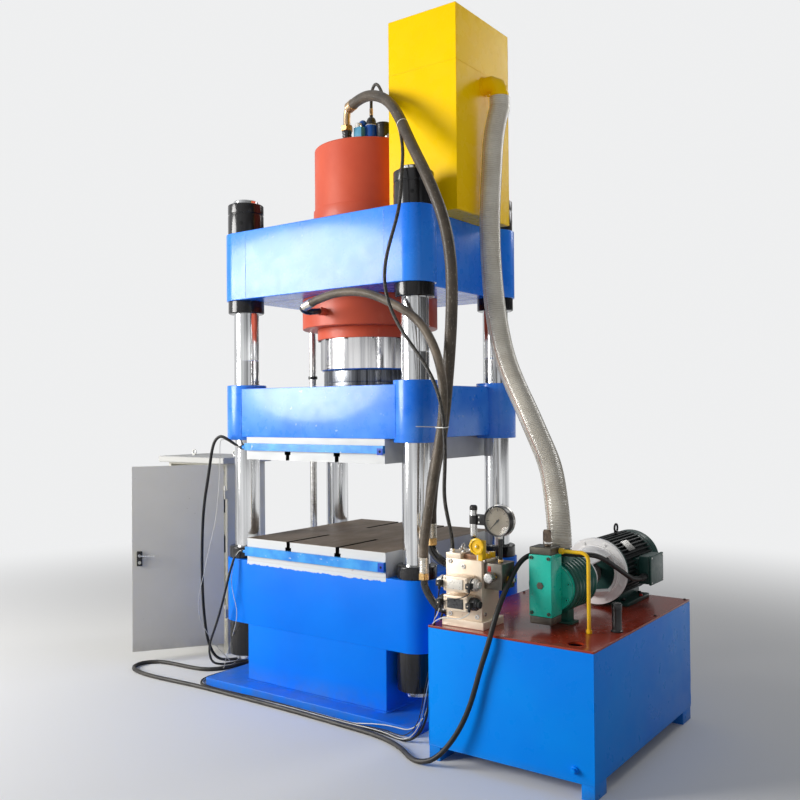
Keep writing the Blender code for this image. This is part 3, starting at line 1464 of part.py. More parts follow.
def build_cables():
    """The four cables, each from its gland to the cabinet's side glands."""
    into = 0.045

    def cabinet_end(index, far=0.100):
        x, y, z = gland_mouth(index)
        return [(x + far, y - 0.004, z - 0.010), (x + into, y, z), (x + GAP, y, z)]

    rest = SLIDER_CABLE_R + GAP
    x, y, z = channel_gland(UP_TABLE_Z + UP_CHANNEL_RISE, UP_CHANNEL_H)
    slider = [
        (x - GAP, y, z),
        (x - 0.020, y, z),
        (-0.588, -0.560, 1.434),
        (-0.616, -0.574, 1.456),
        (-0.640, -0.590, 1.474),
        (-0.672, -0.602, 1.486),
        (-0.706, -0.609, 1.468),
        (-0.733, -0.611, 1.422),
        (-0.760, -0.606, 1.340),
        (-0.802, -0.590, 1.225),
        (-0.850, -0.570, 1.110),
        (-0.952, -0.505, 0.830),
        (-1.015, -0.450, 0.550),
        (-1.066, -0.380, 0.254),
        (-1.078, -0.325, 0.100),
        (-1.062, -0.265, 0.022),
        (-1.022, -0.205, rest),
        (-0.982, -0.140, rest + 0.004),
        (-0.958, -0.075, 0.042),
        (-0.972, -0.020, 0.106),
        *cabinet_end(0, 0.090),
    ]
    cord("slider_cable", slider, SLIDER_CABLE_R, 0.060, RUBBER)

    rest = TABLE_CABLE_R + GAP
    x, y, z = channel_gland(LOW_CHANNEL_Z, LOW_CHANNEL_H)
    table = [
        (x - GAP, y, z),
        (x - 0.015, y, z),
        (-0.575, -0.558, 0.796),
        (-0.592, -0.568, 0.772),
        (-0.602, -0.582, 0.730),
        (-0.618, -0.600, 0.640),
        (-0.664, -0.610, 0.480),
        (-0.760, -0.585, 0.310),
        (-0.866, -0.525, 0.195),
        (-0.942, -0.455, 0.105),
        (-0.985, -0.380, 0.034),
        (-0.984, -0.300, rest),
        (-0.950, -0.215, rest),
        (-0.915, -0.120, rest + 0.004),
        (-0.893, -0.030, 0.030),
        (-0.902, 0.035, 0.086),
        (-0.955, 0.064, 0.138),
        *cabinet_end(1),
    ]
    cord("table_cable", table, TABLE_CABLE_R, 0.052, RUBBER)

    rest = MOTOR_CABLE_R + GAP
    x, y, z = motor_gland()
    motor = [
        (x, y - GAP, z),
        (x, y - 0.040, z),
        (1.656, -0.020, 0.788),
        (1.648, -0.120, 0.830),
        (1.636, -0.220, 0.880),
        (1.626, -0.320, 0.925),
        (1.616, -0.400, 0.950),
        (1.591, -0.463, 0.961),
        (1.553, -0.494, 0.963),
        (1.508, -0.499, 0.963),
        (1.455, -0.499, 0.963),
        (1.420, -0.500, 0.960),
        (1.384, -0.509, 0.955),
        (1.352, -0.537, 0.945),
        (1.339, -0.583, 0.928),
        (1.339, -0.655, 0.890),
        (1.339, -0.725, 0.832),
        (1.336, -0.790, 0.760),
        (1.328, -0.834, 0.680),
        (1.308, -0.850, 0.590),
        (1.270, -0.852, 0.480),
        (1.218, -0.856, 0.315),
        (1.163, -0.868, 0.190),
        (1.100, -0.884, 0.096),
        (1.030, -0.900, 0.034),
        (0.950, -0.900, rest),
        (0.850, -0.850, rest),
        (0.740, -0.790, rest),
        (0.600, -0.752, rest),
        (0.415, -0.738, rest),
        (0.028, -0.722, rest),
        (-0.395, -0.718, rest),
        (-0.839, -0.726, rest),
        (-1.120, -0.744, rest),
        (-1.290, -0.732, rest),
        (-1.390, -0.690, rest),
        (-1.424, -0.610, rest),
        (-1.385, -0.535, rest),
        (-1.280, -0.498, rest),
        (-1.090, -0.485, rest),
        (-0.950, -0.440, rest),
        (-0.895, -0.340, rest),
        (-0.872, -0.220, rest),
        (-0.842, -0.090, rest),
        (-0.822, 0.020, rest + 0.010),
        (-0.836, 0.098, 0.060),
        (-0.900, 0.136, 0.120),
        *cabinet_end(2, 0.130),
    ]
    cord("motor_cable", motor, MOTOR_CABLE_R, 0.084, RUBBER)

    rest = VALVE_CABLE_R + GAP
    valve = [
        (MANIFOLD_X0 - GAP, -0.622, 0.790),
        (MANIFOLD_X0 - 0.020, -0.622, 0.790),
        (0.960, -0.622, 0.745),
        (0.925, -0.626, 0.660),
        (0.905, -0.634, 0.540),
        (0.884, -0.650, 0.360),
        (0.862, -0.672, 0.180),
        (0.830, -0.696, 0.060),
        (0.770, -0.705, 0.012),
        (0.680, -0.696, rest),
        (0.415, -0.686, rest),
        (0.028, -0.680, rest),
        (-0.395, -0.680, rest),
        (-0.700, -0.684, rest),
        (-0.790, -0.660, rest),
        (-0.838, -0.590, rest),
        (-0.842, -0.450, rest),
        (-0.834, -0.300, rest),
        (-0.816, -0.150, rest),
        (-0.796, 0.000, rest),
        (-0.792, 0.105, 0.022),
        (-0.822, 0.175, 0.075),
        (-0.885, 0.208, 0.130),
        *cabinet_end(3, 0.160),
    ]
    cord("valve_cable", valve, VALVE_CABLE_R, 0.080, RUBBER)


start_empty()
build_base()
build_crown()
build_columns()
build_top_nuts()
build_platens()
build_channels()
build_slider()
build_cylinder()
build_ram()
build_prefill_valve()
build_filling_tank()
build_oil_tank()
build_pump()
build_bell_housing()
build_motor()
build_tank_fittings()
build_gauge(build_manifold())
build_cabinet()
build_gear_plate()
build_door()
build_limit_rail()
build_fittings()
build_hoses()
build_cables()
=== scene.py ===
"""Looks of a four-column hydraulic press with its power unit, filling tank and control cabinet.

The sections follow the machine as it is put together, from the floor upwards: base, columns, crown,
cylinder, slider, tables, filling tank, power unit, valves, cabinet, and last its hoses and cables.
"""

import math

import bpy
import numpy as np
from mathutils import Matrix, Vector
from mathutils.geometry import tessellate_polygon


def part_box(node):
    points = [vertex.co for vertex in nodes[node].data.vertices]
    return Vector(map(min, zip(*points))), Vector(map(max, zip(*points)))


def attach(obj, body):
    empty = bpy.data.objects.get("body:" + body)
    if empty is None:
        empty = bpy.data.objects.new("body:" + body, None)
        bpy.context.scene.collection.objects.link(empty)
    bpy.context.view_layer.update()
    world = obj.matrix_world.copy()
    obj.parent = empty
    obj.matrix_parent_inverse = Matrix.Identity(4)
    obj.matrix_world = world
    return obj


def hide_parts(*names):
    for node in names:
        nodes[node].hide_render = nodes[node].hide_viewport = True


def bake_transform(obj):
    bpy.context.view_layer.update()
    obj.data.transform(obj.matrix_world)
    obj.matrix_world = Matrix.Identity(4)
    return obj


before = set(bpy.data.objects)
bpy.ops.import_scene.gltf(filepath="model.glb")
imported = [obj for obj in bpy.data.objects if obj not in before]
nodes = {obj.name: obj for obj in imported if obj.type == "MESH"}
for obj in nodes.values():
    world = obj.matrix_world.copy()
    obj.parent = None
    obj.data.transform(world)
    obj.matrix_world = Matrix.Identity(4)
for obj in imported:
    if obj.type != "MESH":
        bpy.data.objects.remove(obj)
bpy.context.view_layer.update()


# Viewpoint: a standing person's eye level before the power unit's corner, 39.7 mm on a 36 mm frame.
# The bearing, tilt and lean were found from the straight edges of tables, crown and oil tank.
bearing, tilt, lean = (math.radians(angle) for angle in (35.9425, 0.7462, -0.4626))
ahead = Vector((-math.sin(bearing) * math.cos(tilt), math.cos(bearing) * math.cos(tilt), math.sin(tilt)))
level = Vector((math.cos(bearing), math.sin(bearing), 0.0))
over = level.cross(ahead)
right = level * math.cos(lean) + over * math.sin(lean)
up = over * math.cos(lean) - level * math.sin(lean)
viewer = bpy.data.objects.new("viewer", bpy.data.cameras.new("viewer"))
viewer.data.lens, viewer.data.sensor_width = 39.746, 36.0
viewer.matrix_world = Matrix.Translation((3.3075, -4.2591, 1.627)) @ Matrix((right, up, -ahead)).transposed().to_4x4()
bpy.context.scene.collection.objects.link(viewer)
bpy.context.scene.camera = viewer
bpy.context.scene.view_settings.view_transform = "Standard"


# Studio light: one broad key from the left front, as the hall's doorway gives, a weak fill and a back
# light. The sky is pale to the camera and in reflections, and dimmer as a lamp.
for name, place, aim, size, power, tone in (
    ("key", (-4.5, -5.6, 3.0), (0.1, -0.2, 1.7), 3.8, 660, (1.0, 0.985, 0.96)),
    ("fill", (5.6, -2.6, 2.6), (0.9, 0.0, 1.2), 3.0, 9, (0.95, 0.975, 1.0)),
    ("back", (2.2, 4.8, 5.0), (0.2, 0.0, 2.2), 2.6, 75, (1.0, 0.99, 0.97)),
):
    lamp = bpy.data.objects.new(name, bpy.data.lights.new(name, "AREA"))
    lamp.data.shape, lamp.data.size, lamp.data.energy, lamp.data.color = "DISK", size, power, tone
    lamp.location = place
    lamp.rotation_euler = (Vector(aim) - Vector(place)).to_track_quat("-Z", "Y").to_euler()
    bpy.context.scene.collection.objects.link(lamp)


def add_node(tree, kind, inputs=None, **settings):
    """Adds one node, sets its settings, and fills each input with a value or with another socket."""
    made = tree.nodes.new(kind)
    for key, value in settings.items():
        setattr(made, key, value)
    for key, value in (inputs or {}).items():
        if isinstance(value, bpy.types.NodeSocket):
            tree.links.new(value, made.inputs[key])
        else:
            made.inputs[key].default_value = value
    return made


def maths(tree, kind, first, second=0.0):
    """The result of one Math node of the given kind."""
    return add_node(tree, "ShaderNodeMath", {0: first, 1: second}, operation=kind).outputs[0]


def ranged(tree, value, low, high, to_low, to_high, **settings):
    """A value carried from low and high to two other limits, and held at them."""
    limits = {"Value": value, "From Min": low, "From Max": high, "To Min": to_low, "To Max": to_high}
    return add_node(tree, "ShaderNodeMapRange", limits, **settings).outputs["Result"]


def mixed(tree, amount, first, second):
    """The colour that lies between two at amount."""
    first, second = ((*tone, 1) if isinstance(tone, tuple) else tone for tone in (first, second))
    return add_node(tree, "ShaderNodeMix", {0: amount, 6: first, 7: second}, data_type="RGBA").outputs[2]


def shaded(tree, amount, first, second):
    """The shader that lies between two at amount."""
    return add_node(tree, "ShaderNodeMixShader", {0: amount, 1: first, 2: second}).outputs[0]


PALE = (0.86, 0.865, 0.87)
sky = bpy.data.worlds.new("pale_studio")
sky.use_nodes = True
tree = sky.node_tree
tree.nodes.clear()
rays = add_node(tree, "ShaderNodeLightPath").outputs
way = add_node(tree, "ShaderNodeTexCoord").outputs["Generated"]
key_side = add_node(tree, "ShaderNodeVectorMath", {0: way, 1: (-0.62, -0.5, 0.6)}, operation="DOT_PRODUCT")
mirrored = ranged(tree, key_side.outputs["Value"], -0.7, 0.85, 0.07, 0.8, interpolation_type="SMOOTHSTEP")
shine, lamp_sky, seen = (
    add_node(tree, "ShaderNodeBackground", {"Color": (*tone, 1), "Strength": strength}).outputs[0]
    for tone, strength in (((0.93, 0.94, 0.95), mirrored), ((0.92, 0.95, 1.0), 0.25), (PALE, 1.0))
)
through = maths(tree, "MAXIMUM", rays["Is Glossy Ray"], rays["Is Transmission Ray"])
unseen = shaded(tree, through, lamp_sky, shine)
add_node(tree, "ShaderNodeOutputWorld", {"Surface": shaded(tree, rays["Is Camera Ray"], unseen, seen)})
bpy.context.scene.world = sky


# Floor: a plain pale disc, the height a function of nothing but the radius, which fades into the
# sky's own colour some way behind the machine.
turn, reach = np.meshgrid(np.linspace(0, 2 * np.pi, 97)[:-1], np.array([0.01, 3, 6, 9, 14, 30, 90]))
ground = np.stack([reach * np.cos(turn), reach * np.sin(turn), np.zeros_like(turn)], -1)
i, j = np.meshgrid(np.arange(6), np.arange(96), indexing="ij")
quads = np.stack([i * 96 + j, (i + 1) * 96 + j, (i + 1) * 96 + (j + 1) % 96, i * 96 + (j + 1) % 96], -1)
floor = bpy.data.objects.new("floor", bpy.data.meshes.new("floor"))
floor.data.from_pydata(ground.reshape(-1, 3).tolist(), [], quads.reshape(-1, 4).tolist())
bpy.context.scene.collection.objects.link(floor)
pale = bpy.data.materials.new("pale_floor")
pale.use_nodes = True
tree = pale.node_tree
tree.nodes.clear()
spot = add_node(tree, "ShaderNodeTexCoord").outputs["Object"]
far = add_node(tree, "ShaderNodeVectorMath", {0: spot}, operation="LENGTH").outputs["Value"]
fade = ranged(tree, far, 2.7, 6.8, 0.0, 1.0, interpolation_type="SMOOTHSTEP")
# light that the floor throws back on the machine comes from a darker floor, as a workshop's is
shown_matt, bounce_matt = (
    add_node(tree, "ShaderNodeBsdfDiffuse", {"Color": (*tone, 1)}).outputs[0]
    for tone in ((0.76, 0.76, 0.755), (0.34, 0.33, 0.32))
)
thrown = add_node(tree, "ShaderNodeLightPath").outputs["Is Diffuse Ray"]
glow = add_node(tree, "ShaderNodeEmission", {"Color": (*PALE, 1)}).outputs[0]
blended = shaded(tree, fade, shaded(tree, thrown, shown_matt, bounce_matt), glow)
add_node(tree, "ShaderNodeOutputMaterial", {"Surface": blended})
floor.data.materials.append(pale)


# Base: a welded box beam whose corners swell into round lobes about the columns, on a foot body and
# a floor plate. Flame-cut steel plate, welded round its joints and sprayed with azure gloss enamel.
SPAN_X, SPAN_Y, COLUMN_R, LOBE_R = 0.63, 0.4265, 0.075, 0.118
FRONT, TABLE_X = SPAN_Y + LOBE_R, SPAN_X - LOBE_R
PLATE_T, STEP_Z, BASE_Z, BASE_X = 0.047, 0.376, 0.752, 0.645
CLEAR = 0.0003  # the gap that the solids leave between two pieces
corners = np.array([(-SPAN_X, -SPAN_Y), (SPAN_X, -SPAN_Y), (-SPAN_X, SPAN_Y), (SPAN_X, SPAN_Y)])


def inset(outline, amount):
    """Each corner moves inwards by amount over the cosine of half its turn, so edges stay parallel."""
    along = np.roll(outline, -1, 0) - outline
    along = along / np.linalg.norm(along, axis=1)[:, None]
    normal = np.stack([along[:, 1], -along[:, 0]], 1)
    mean = normal + np.roll(normal, 1, 0)
    return outline - amount * mean / (mean * normal).sum(1)[:, None]


def circle(radius, centre=(0, 0), steps=64):
    """Points (x, y) = centre + radius (cos t, sin t), anticlockwise."""
    t = np.linspace(0, 2 * np.pi, steps, endpoint=False)
    return np.stack([centre[0] + radius * np.cos(t), centre[1] + radius * np.sin(t)], 1)


def rectangle(x0, y0, x1, y1, corner=0.0, steps=5):
    """A rectangle's corners, each rounded by a quarter circle of radius corner."""
    if not corner:
        return np.array([(x0, y0), (x1, y0), (x1, y1), (x0, y1)], float)
    t = np.linspace(0, np.pi / 2, steps)
    middles = ((x1 - corner, y0 + corner, -np.pi / 2), (x1 - corner, y1 - corner, 0.0))
    middles += ((x0 + corner, y1 - corner, np.pi / 2), (x0 + corner, y0 + corner, np.pi))
    arcs = [np.stack([x + corner * np.cos(start + t), y + corner * np.sin(start + t)], 1) for x, y, start in middles]
    return np.concatenate(arcs)


def grid_faces(rows, columns, first=0, loop=False):
    """Quads P(i,j), P(i,j+1), P(i+1,j+1), P(i+1,j) over rings of points, joined end to end when loop."""
    i = np.arange(rows if loop else rows - 1)[:, None]
    j = np.arange(columns)[None, :]
    below, above = (i % rows) * columns, ((i + 1) % rows) * columns
    on, after = j % columns, (j + 1) % columns
    quads = np.stack([below + on, below + after, above + after, above + on], -1)
    return (first + quads.reshape(-1, 4)).tolist()


def pressed(outline, low, high, soft=0.004, holes=(), steps=4, axis="Z"):
    """An outline carried from low to high with quarter-round edges: at angle t of the edge it stands
    at low + soft (1 - sin t), inset by soft (1 - cos t). Each hole is cut straight through.

    The outline is (x, y) along Z, (y, z) along X and (z, x) along Y."""
    t = np.linspace(np.pi / 2, 0, steps + 1) if soft else np.zeros(1)
    heights = np.concatenate([low + soft * (1 - np.sin(t)), high - soft * (1 - np.sin(t[::-1]))])
    insets = np.concatenate([soft * (1 - np.cos(t)), soft * (1 - np.cos(t[::-1]))])
    # at t = 90 degrees the ring lies in the end face, inset by soft
    rings = [np.c_[inset(outline, d), np.full(len(outline), z)] for d, z in zip(insets, heights)]
    points, faces = [np.concatenate(rings)], grid_faces(len(rings), len(outline))
    ends = [(np.arange(len(outline)), (len(rings) - 1) * len(outline) + np.arange(len(outline)))]
    count = len(rings) * len(outline)
    for hole in holes:
        back = hole[::-1]
        points.append(np.concatenate([np.c_[back, np.full(len(back), z)] for z in (low, high)]))
        faces += grid_faces(2, len(back), count)
        ends.append((count + np.arange(len(back)), count + len(back) + np.arange(len(back))))
        count += 2 * len(back)
    points = np.concatenate(points)
    for side in (0, 1):
        rims = [end[side] for end in ends]
        flat = np.concatenate(rims)
        loops = [[Vector((*points[k][:2], 0)) for k in rim] for rim in rims]
        triangles = flat[np.array(tessellate_polygon(loops))]
        a, b, c = (points[triangles[:, k], :2] for k in range(3))
        turn = (b - a)[:, 0] * (c - a)[:, 1] - (b - a)[:, 1] * (c - a)[:, 0]
        wrong = turn < 0 if side else turn > 0
        triangles[wrong] = triangles[wrong][:, ::-1]
        faces += triangles.tolist()
    order = {"Z": [0, 1, 2], "X": [2, 0, 1], "Y": [1, 2, 0]}[axis]
    return points[:, order], faces


def slab(low, high, soft=0.003, corner=None, steps=3):
    """A block between two corners, every edge rounded by soft and its upright edges by corner."""
    corner = soft * 1.02 if corner is None else corner
    return pressed(rectangle(*low[:2], *high[:2], corner), low[2], high[2], soft, steps=steps)


def square_to(axis):
    """An axis as a unit vector, and two more that stand square to it and to each other."""
    axis = np.asarray(axis, float) / np.linalg.norm(axis)
    side = np.cross(axis, (0.0, 0.0, 1.0) if abs(axis[2]) < 0.9 else (0.0, 1.0, 0.0))
    side /= np.linalg.norm(side)
    return axis, side, np.cross(axis, side)


def end_fans(rows, columns):
    """Triangles that close a grid's two ends about two middle points, which are numbered after it."""
    on, total = np.arange(columns), rows * columns
    after = (on + 1) % columns
    foot = np.stack([after, on, np.full(columns, total)], 1)
    head = np.stack([total - columns + on, total - columns + after, np.full(columns, total + 1)], 1)
    return np.concatenate([foot, head]).tolist()


def travel(points):
    """Unit directions along a line of points, and a pair of unit normals carried along without twist."""
    ahead = np.gradient(np.asarray(points, float), axis=0)
    ahead /= np.linalg.norm(ahead, axis=1)[:, None]
    side, sides = square_to(ahead[0])[1], []
    for direction in ahead:
        side = side - direction * (side @ direction)
        side = side / np.linalg.norm(side)
        sides.append(side)
    sides = np.array(sides)
    return ahead, sides, np.cross(ahead, sides)


def tube(points, radius, steps=12):
    """Rings of the given radius about each point of a line, in the plane across it, closed at both
    ends: P(i, t) = point(i) + radius(i) (side(i) cos t + other(i) sin t)."""
    points = np.asarray(points, float)
    _, side, other = travel(points)
    t = np.linspace(0, 2 * np.pi, steps, endpoint=False)
    radius = np.asarray(radius, float)
    radius = radius.reshape(-1, 1) if radius.ndim < 2 else radius
    radius = (radius * np.ones((len(points), steps)))[..., None]
    rings = points[:, None] + radius * (
        side[:, None] * np.cos(t)[None, :, None] + other[:, None] * np.sin(t)[None, :, None]
    )
    faces = grid_faces(len(points), steps) + end_fans(len(points), steps)
    return np.concatenate([rings.reshape(-1, 3), points[:1], points[-1:]]), faces


def weld(corners_of_run, size=0.006, pitch=0.007, wander=0.2):
    """A fillet bead along straight runs: a rod whose radius swells by wander at every ripple."""
    corners_of_run = np.asarray(corners_of_run, float)
    lengths = np.linalg.norm(np.diff(corners_of_run, axis=0), axis=1)
    run = np.concatenate([[0], np.cumsum(lengths)])
    s = np.unique(np.concatenate([np.arange(0, run[-1], pitch / 2), run]))
    line = np.stack([np.interp(s, run, corners_of_run[:, k]) for k in range(3)], 1)
    radius = size * (1 + wander * np.cos(2 * np.pi * s / pitch) + 0.12 * np.sin(23.0 * s + 5 * np.sin(7 * s)))
    return tube(line, radius, 6)


def assemble(name, shapes, finishes, stands_for=(), body="press_frame", angle=35, uv=None):
    """Puts shapes, each (points, faces) or (points, faces, which finish), into one object on a body."""
    finishes = finishes if isinstance(finishes, (list, tuple)) else [finishes]
    points, faces, chosen, count = [], [], [], 0
    for shape in shapes:
        points.append(shape[0])
        faces += [[count + k for k in face] for face in shape[1]]
        chosen += [shape[2] if len(shape) > 2 else 0] * len(shape[1])
        count += len(shape[0])
    mesh = bpy.data.meshes.new(name)
    mesh.from_pydata(np.concatenate(points).tolist(), [], faces)
    for material in finishes:
        mesh.materials.append(material)
    mesh.polygons.foreach_set("material_index", chosen)
    if uv is not None:
        mesh.uv_layers.new(name="along_and_around").data.foreach_set("uv", uv.ravel())
    mesh.update()
    mesh.shade_smooth()
    mesh.set_sharp_from_angle(angle=math.radians(angle))
    piece = bpy.data.objects.new(name, mesh)
    bpy.context.scene.collection.objects.link(piece)
    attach(piece, body)
    if stands_for:
        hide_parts(*stands_for)
    return piece


def finish(
    name, colour, other, rough, metal=0.0, coat=0.0, drift=1.5, stretch=(1, 1, 1), grain=240.0,
    lift=0.0003, speckle=0.0, speckle_colour=(0.3, 0.27, 0.24), soil=0.0, soil_colour=(0.3, 0.27, 0.24),
    band=None, specular=0.28,
):
    """One surface finish. Its colour drifts between two tones with broad noise, its roughness with
    middling noise, and fine noise lifts it by lift metres. Stretch draws all three out as brushing
    or turning does. Speckle shows chips or stains, soil greys it below that height, and band is
    (lowest z, highest z, tone, raggedness, half length), a strip of another tone."""
    material = bpy.data.materials.new(name)
    material.use_nodes = True
    tree = material.node_tree
    shader = tree.nodes["Principled BSDF"]
    place = add_node(tree, "ShaderNodeTexCoord").outputs["Object"]
    drawn = add_node(tree, "ShaderNodeMapping", {"Vector": place, "Scale": stretch}).outputs[0]

    def noise(scale, detail, vector=drawn, rough_noise=0.55):
        made = add_node(
            tree, "ShaderNodeTexNoise", {"Vector": vector, "Scale": scale, "Detail": detail, "Roughness": rough_noise}
        )
        return made.outputs["Fac"]

    tone = mixed(tree, ranged(tree, noise(drift, 4), 0.35, 0.65, 0, 1), colour, other)
    if band:
        low, high, band_tone, ragged, half_length = band
        across, _, z = add_node(tree, "ShaderNodeSeparateXYZ", {0: place}).outputs
        aside = maths(tree, "ABSOLUTE", across)
        wobble = ranged(tree, noise(38.0, 5, place, 0.7), 0.3, 0.7, -ragged, ragged)
        edge = maths(tree, "ADD", z, wobble)
        above, below = ranged(tree, edge, low - 0.0006, low + 0.0006, 0, 1), ranged(tree, z, high, high + 0.0004, 1, 0)
        between = ranged(tree, aside, half_length, half_length + 0.003, 1, 0)
        inside = maths(tree, "MULTIPLY", maths(tree, "MULTIPLY", above, below), between)
        tone = mixed(tree, inside, tone, band_tone)
    if speckle:
        chips = noise(26.0, 7, place, 0.62)
        cut = 0.72 - 0.22 * speckle
        tone = mixed(tree, ranged(tree, chips, cut, cut + 0.035, 0, 0.8), tone, speckle_colour)
    if soil:
        z = add_node(tree, "ShaderNodeSeparateXYZ", {0: place}).outputs["Z"]
        cloud = ranged(tree, noise(7.0, 6, place, 0.65), 0.35, 0.75, 0.1, 1.0)
        tone = mixed(tree, maths(tree, "MULTIPLY", ranged(tree, z, 0.0, soil, 0.75, 0.0), cloud), tone, soil_colour)
    tree.links.new(tone, shader.inputs["Base Color"])
    gloss = ranged(tree, noise(6 * drift, 5), 0.3, 0.7, max(0.03, rough - 0.06), rough + 0.09)
    tree.links.new(gloss, shader.inputs["Roughness"])
    shader.inputs["Metallic"].default_value = metal
    shader.inputs["Coat Weight"].default_value = coat
    shader.inputs["Coat Roughness"].default_value = 0.12
    shader.inputs["Specular IOR Level"].default_value = specular
    bump = add_node(tree, "ShaderNodeBump", {"Height": noise(grain, 3), "Strength": 0.6, "Distance": lift})
    tree.links.new(bump.outputs[0], shader.inputs["Normal"])
    return material


def beam_outline(side, front, steps=22):
    """A rectangle whose corners swell into arcs of radius LOBE_R about the columns."""
    start = -np.pi + np.arcsin((front - SPAN_Y) / LOBE_R)
    t = np.linspace(start, np.arccos((side - SPAN_X) / LOBE_R), steps)
    corner = np.stack([SPAN_X + LOBE_R * np.cos(t), -SPAN_Y + LOBE_R * np.sin(t)], 1)
    parts = (corner, corner[::-1] * (1, -1), corner * (-1, -1), corner[::-1] * (-1, 1))
    return np.concatenate(parts)


azure_base = finish(
    "azure_enamel_by_the_floor", (0.0, 0.165, 0.82), (0.0, 0.205, 0.9), 0.34, coat=0.03, grain=190.0,
    lift=0.00025, soil=0.16, soil_colour=(0.1, 0.13, 0.2), band=(0.733, 0.7519, (0.62, 0.66, 0.7), 0.006, 0.512),
    specular=0.14,
)
bores = [circle(COLUMN_R + CLEAR, centre) for centre in corners]
foot_x, foot_y = TABLE_X, FRONT - 0.002
plate_x, plate_y = 0.762, 0.655
beam_gap = STEP_Z - 0.002
assemble("base_weldment", [
    pressed(beam_outline(BASE_X, FRONT), STEP_Z, BASE_Z, 0.004, bores),
    pressed(rectangle(-foot_x, -foot_y, foot_x, foot_y, 0.006), PLATE_T - 0.01, STEP_Z + 0.01, 0.0),
    slab((-plate_x, -plate_y, 0), (plate_x, plate_y, PLATE_T), 0.004, 0.012),
    weld(
        [(-foot_x, -foot_y, PLATE_T), (foot_x, -foot_y, PLATE_T), (foot_x, foot_y, PLATE_T)]
        + [(-foot_x, foot_y, PLATE_T), (-foot_x, -foot_y, PLATE_T)],
        0.009,
        0.01,
    ),
    weld([(foot_x, -foot_y + 0.02, beam_gap), (foot_x, foot_y - 0.02, beam_gap)], 0.008, 0.01),
    weld([(-foot_x, -foot_y + 0.02, beam_gap), (-foot_x, foot_y - 0.02, beam_gap)], 0.008, 0.01),
], azure_base, ["base"])


# Columns: turned and chromed bars through base, slider and crown. Each is drawn up by blackened nuts
# under the base, a collar on it, a nut under the crown and, on the crown, the grooved top nut.
CROWN_Z, CROWN_TOP, NUT_R = 2.3045, 2.711, 0.108


def softened(profile, soft=0.002, steps=3):
    """Rounds a profile's inner corners: each becomes the curve (1-t)^2 A + 2t(1-t) B + t^2 C between
    points A and C that lie up to soft along its two edges."""
    profile = np.asarray(profile, float)
    before, corner, after = profile[:-2], profile[1:-1], profile[2:]
    back, on = before - corner, after - corner
    long_back, long_on = np.linalg.norm(back, axis=1)[:, None], np.linalg.norm(on, axis=1)[:, None]
    reach = np.minimum(soft, 0.42 * np.minimum(long_back, long_on))
    a, c = corner + back / long_back * reach, corner + on / long_on * reach
    t = np.linspace(0, 1, steps + 1)[None, :, None]
    curves = (1 - t) ** 2 * a[:, None] + 2 * t * (1 - t) * corner[:, None] + t**2 * c[:, None]
    return np.concatenate([profile[:1], curves.reshape(-1, 2), profile[-1:]])


def lathe(profile, at, axis=(0, 0, 1), steps=48, soft=0.002):
    """A profile of (radius, height) spun about an axis through a point:
    P(i, t) = at + height(i) axis + radius(i) (side cos t + other sin t).

    A profile that ends on the axis is capped there, any other closes into a ring."""
    profile = np.asarray(profile, float)
    solid = profile[0][0] == 0
    if soft:
        profile = softened(profile, soft) if solid else softened(np.concatenate([profile, profile[:2]]), soft)[1:-1]
    rows = profile[1:-1] if solid else profile
    axis, side, other = square_to(axis)
    t = np.linspace(0, 2 * np.pi, steps, endpoint=False)
    round_axis = side * np.cos(t)[:, None] + other * np.sin(t)[:, None]
    rings = np.asarray(at, float) + rows[:, None, 1:] * axis + rows[:, None, :1] * round_axis
    faces, verts = grid_faces(len(rows), steps, loop=not solid), rings.reshape(-1, 3)
    if solid:
        verts = np.concatenate([verts, np.asarray(at, float) + profile[[0, -1], 1:] * axis])
        faces += end_fans(len(rows), steps)
    return verts, faces


def bar(radius, start, end, at=(0, 0, 0), axis=(0, 0, 1), steps=32, soft=0.002):
    """A plain round bar with broken edges from start to end along an axis."""
    return lathe([(0, start), (radius, start), (radius, end), (0, end)], at, axis, steps, soft)


def ring(inner, outer, start, end, at=(0, 0, 0), axis=(0, 0, 1), steps=48, soft=0.002):
    """A plain ring with broken edges from start to end along an axis."""
    return lathe([(inner, start), (outer, start), (outer, end), (inner, end)], at, axis, steps, soft)


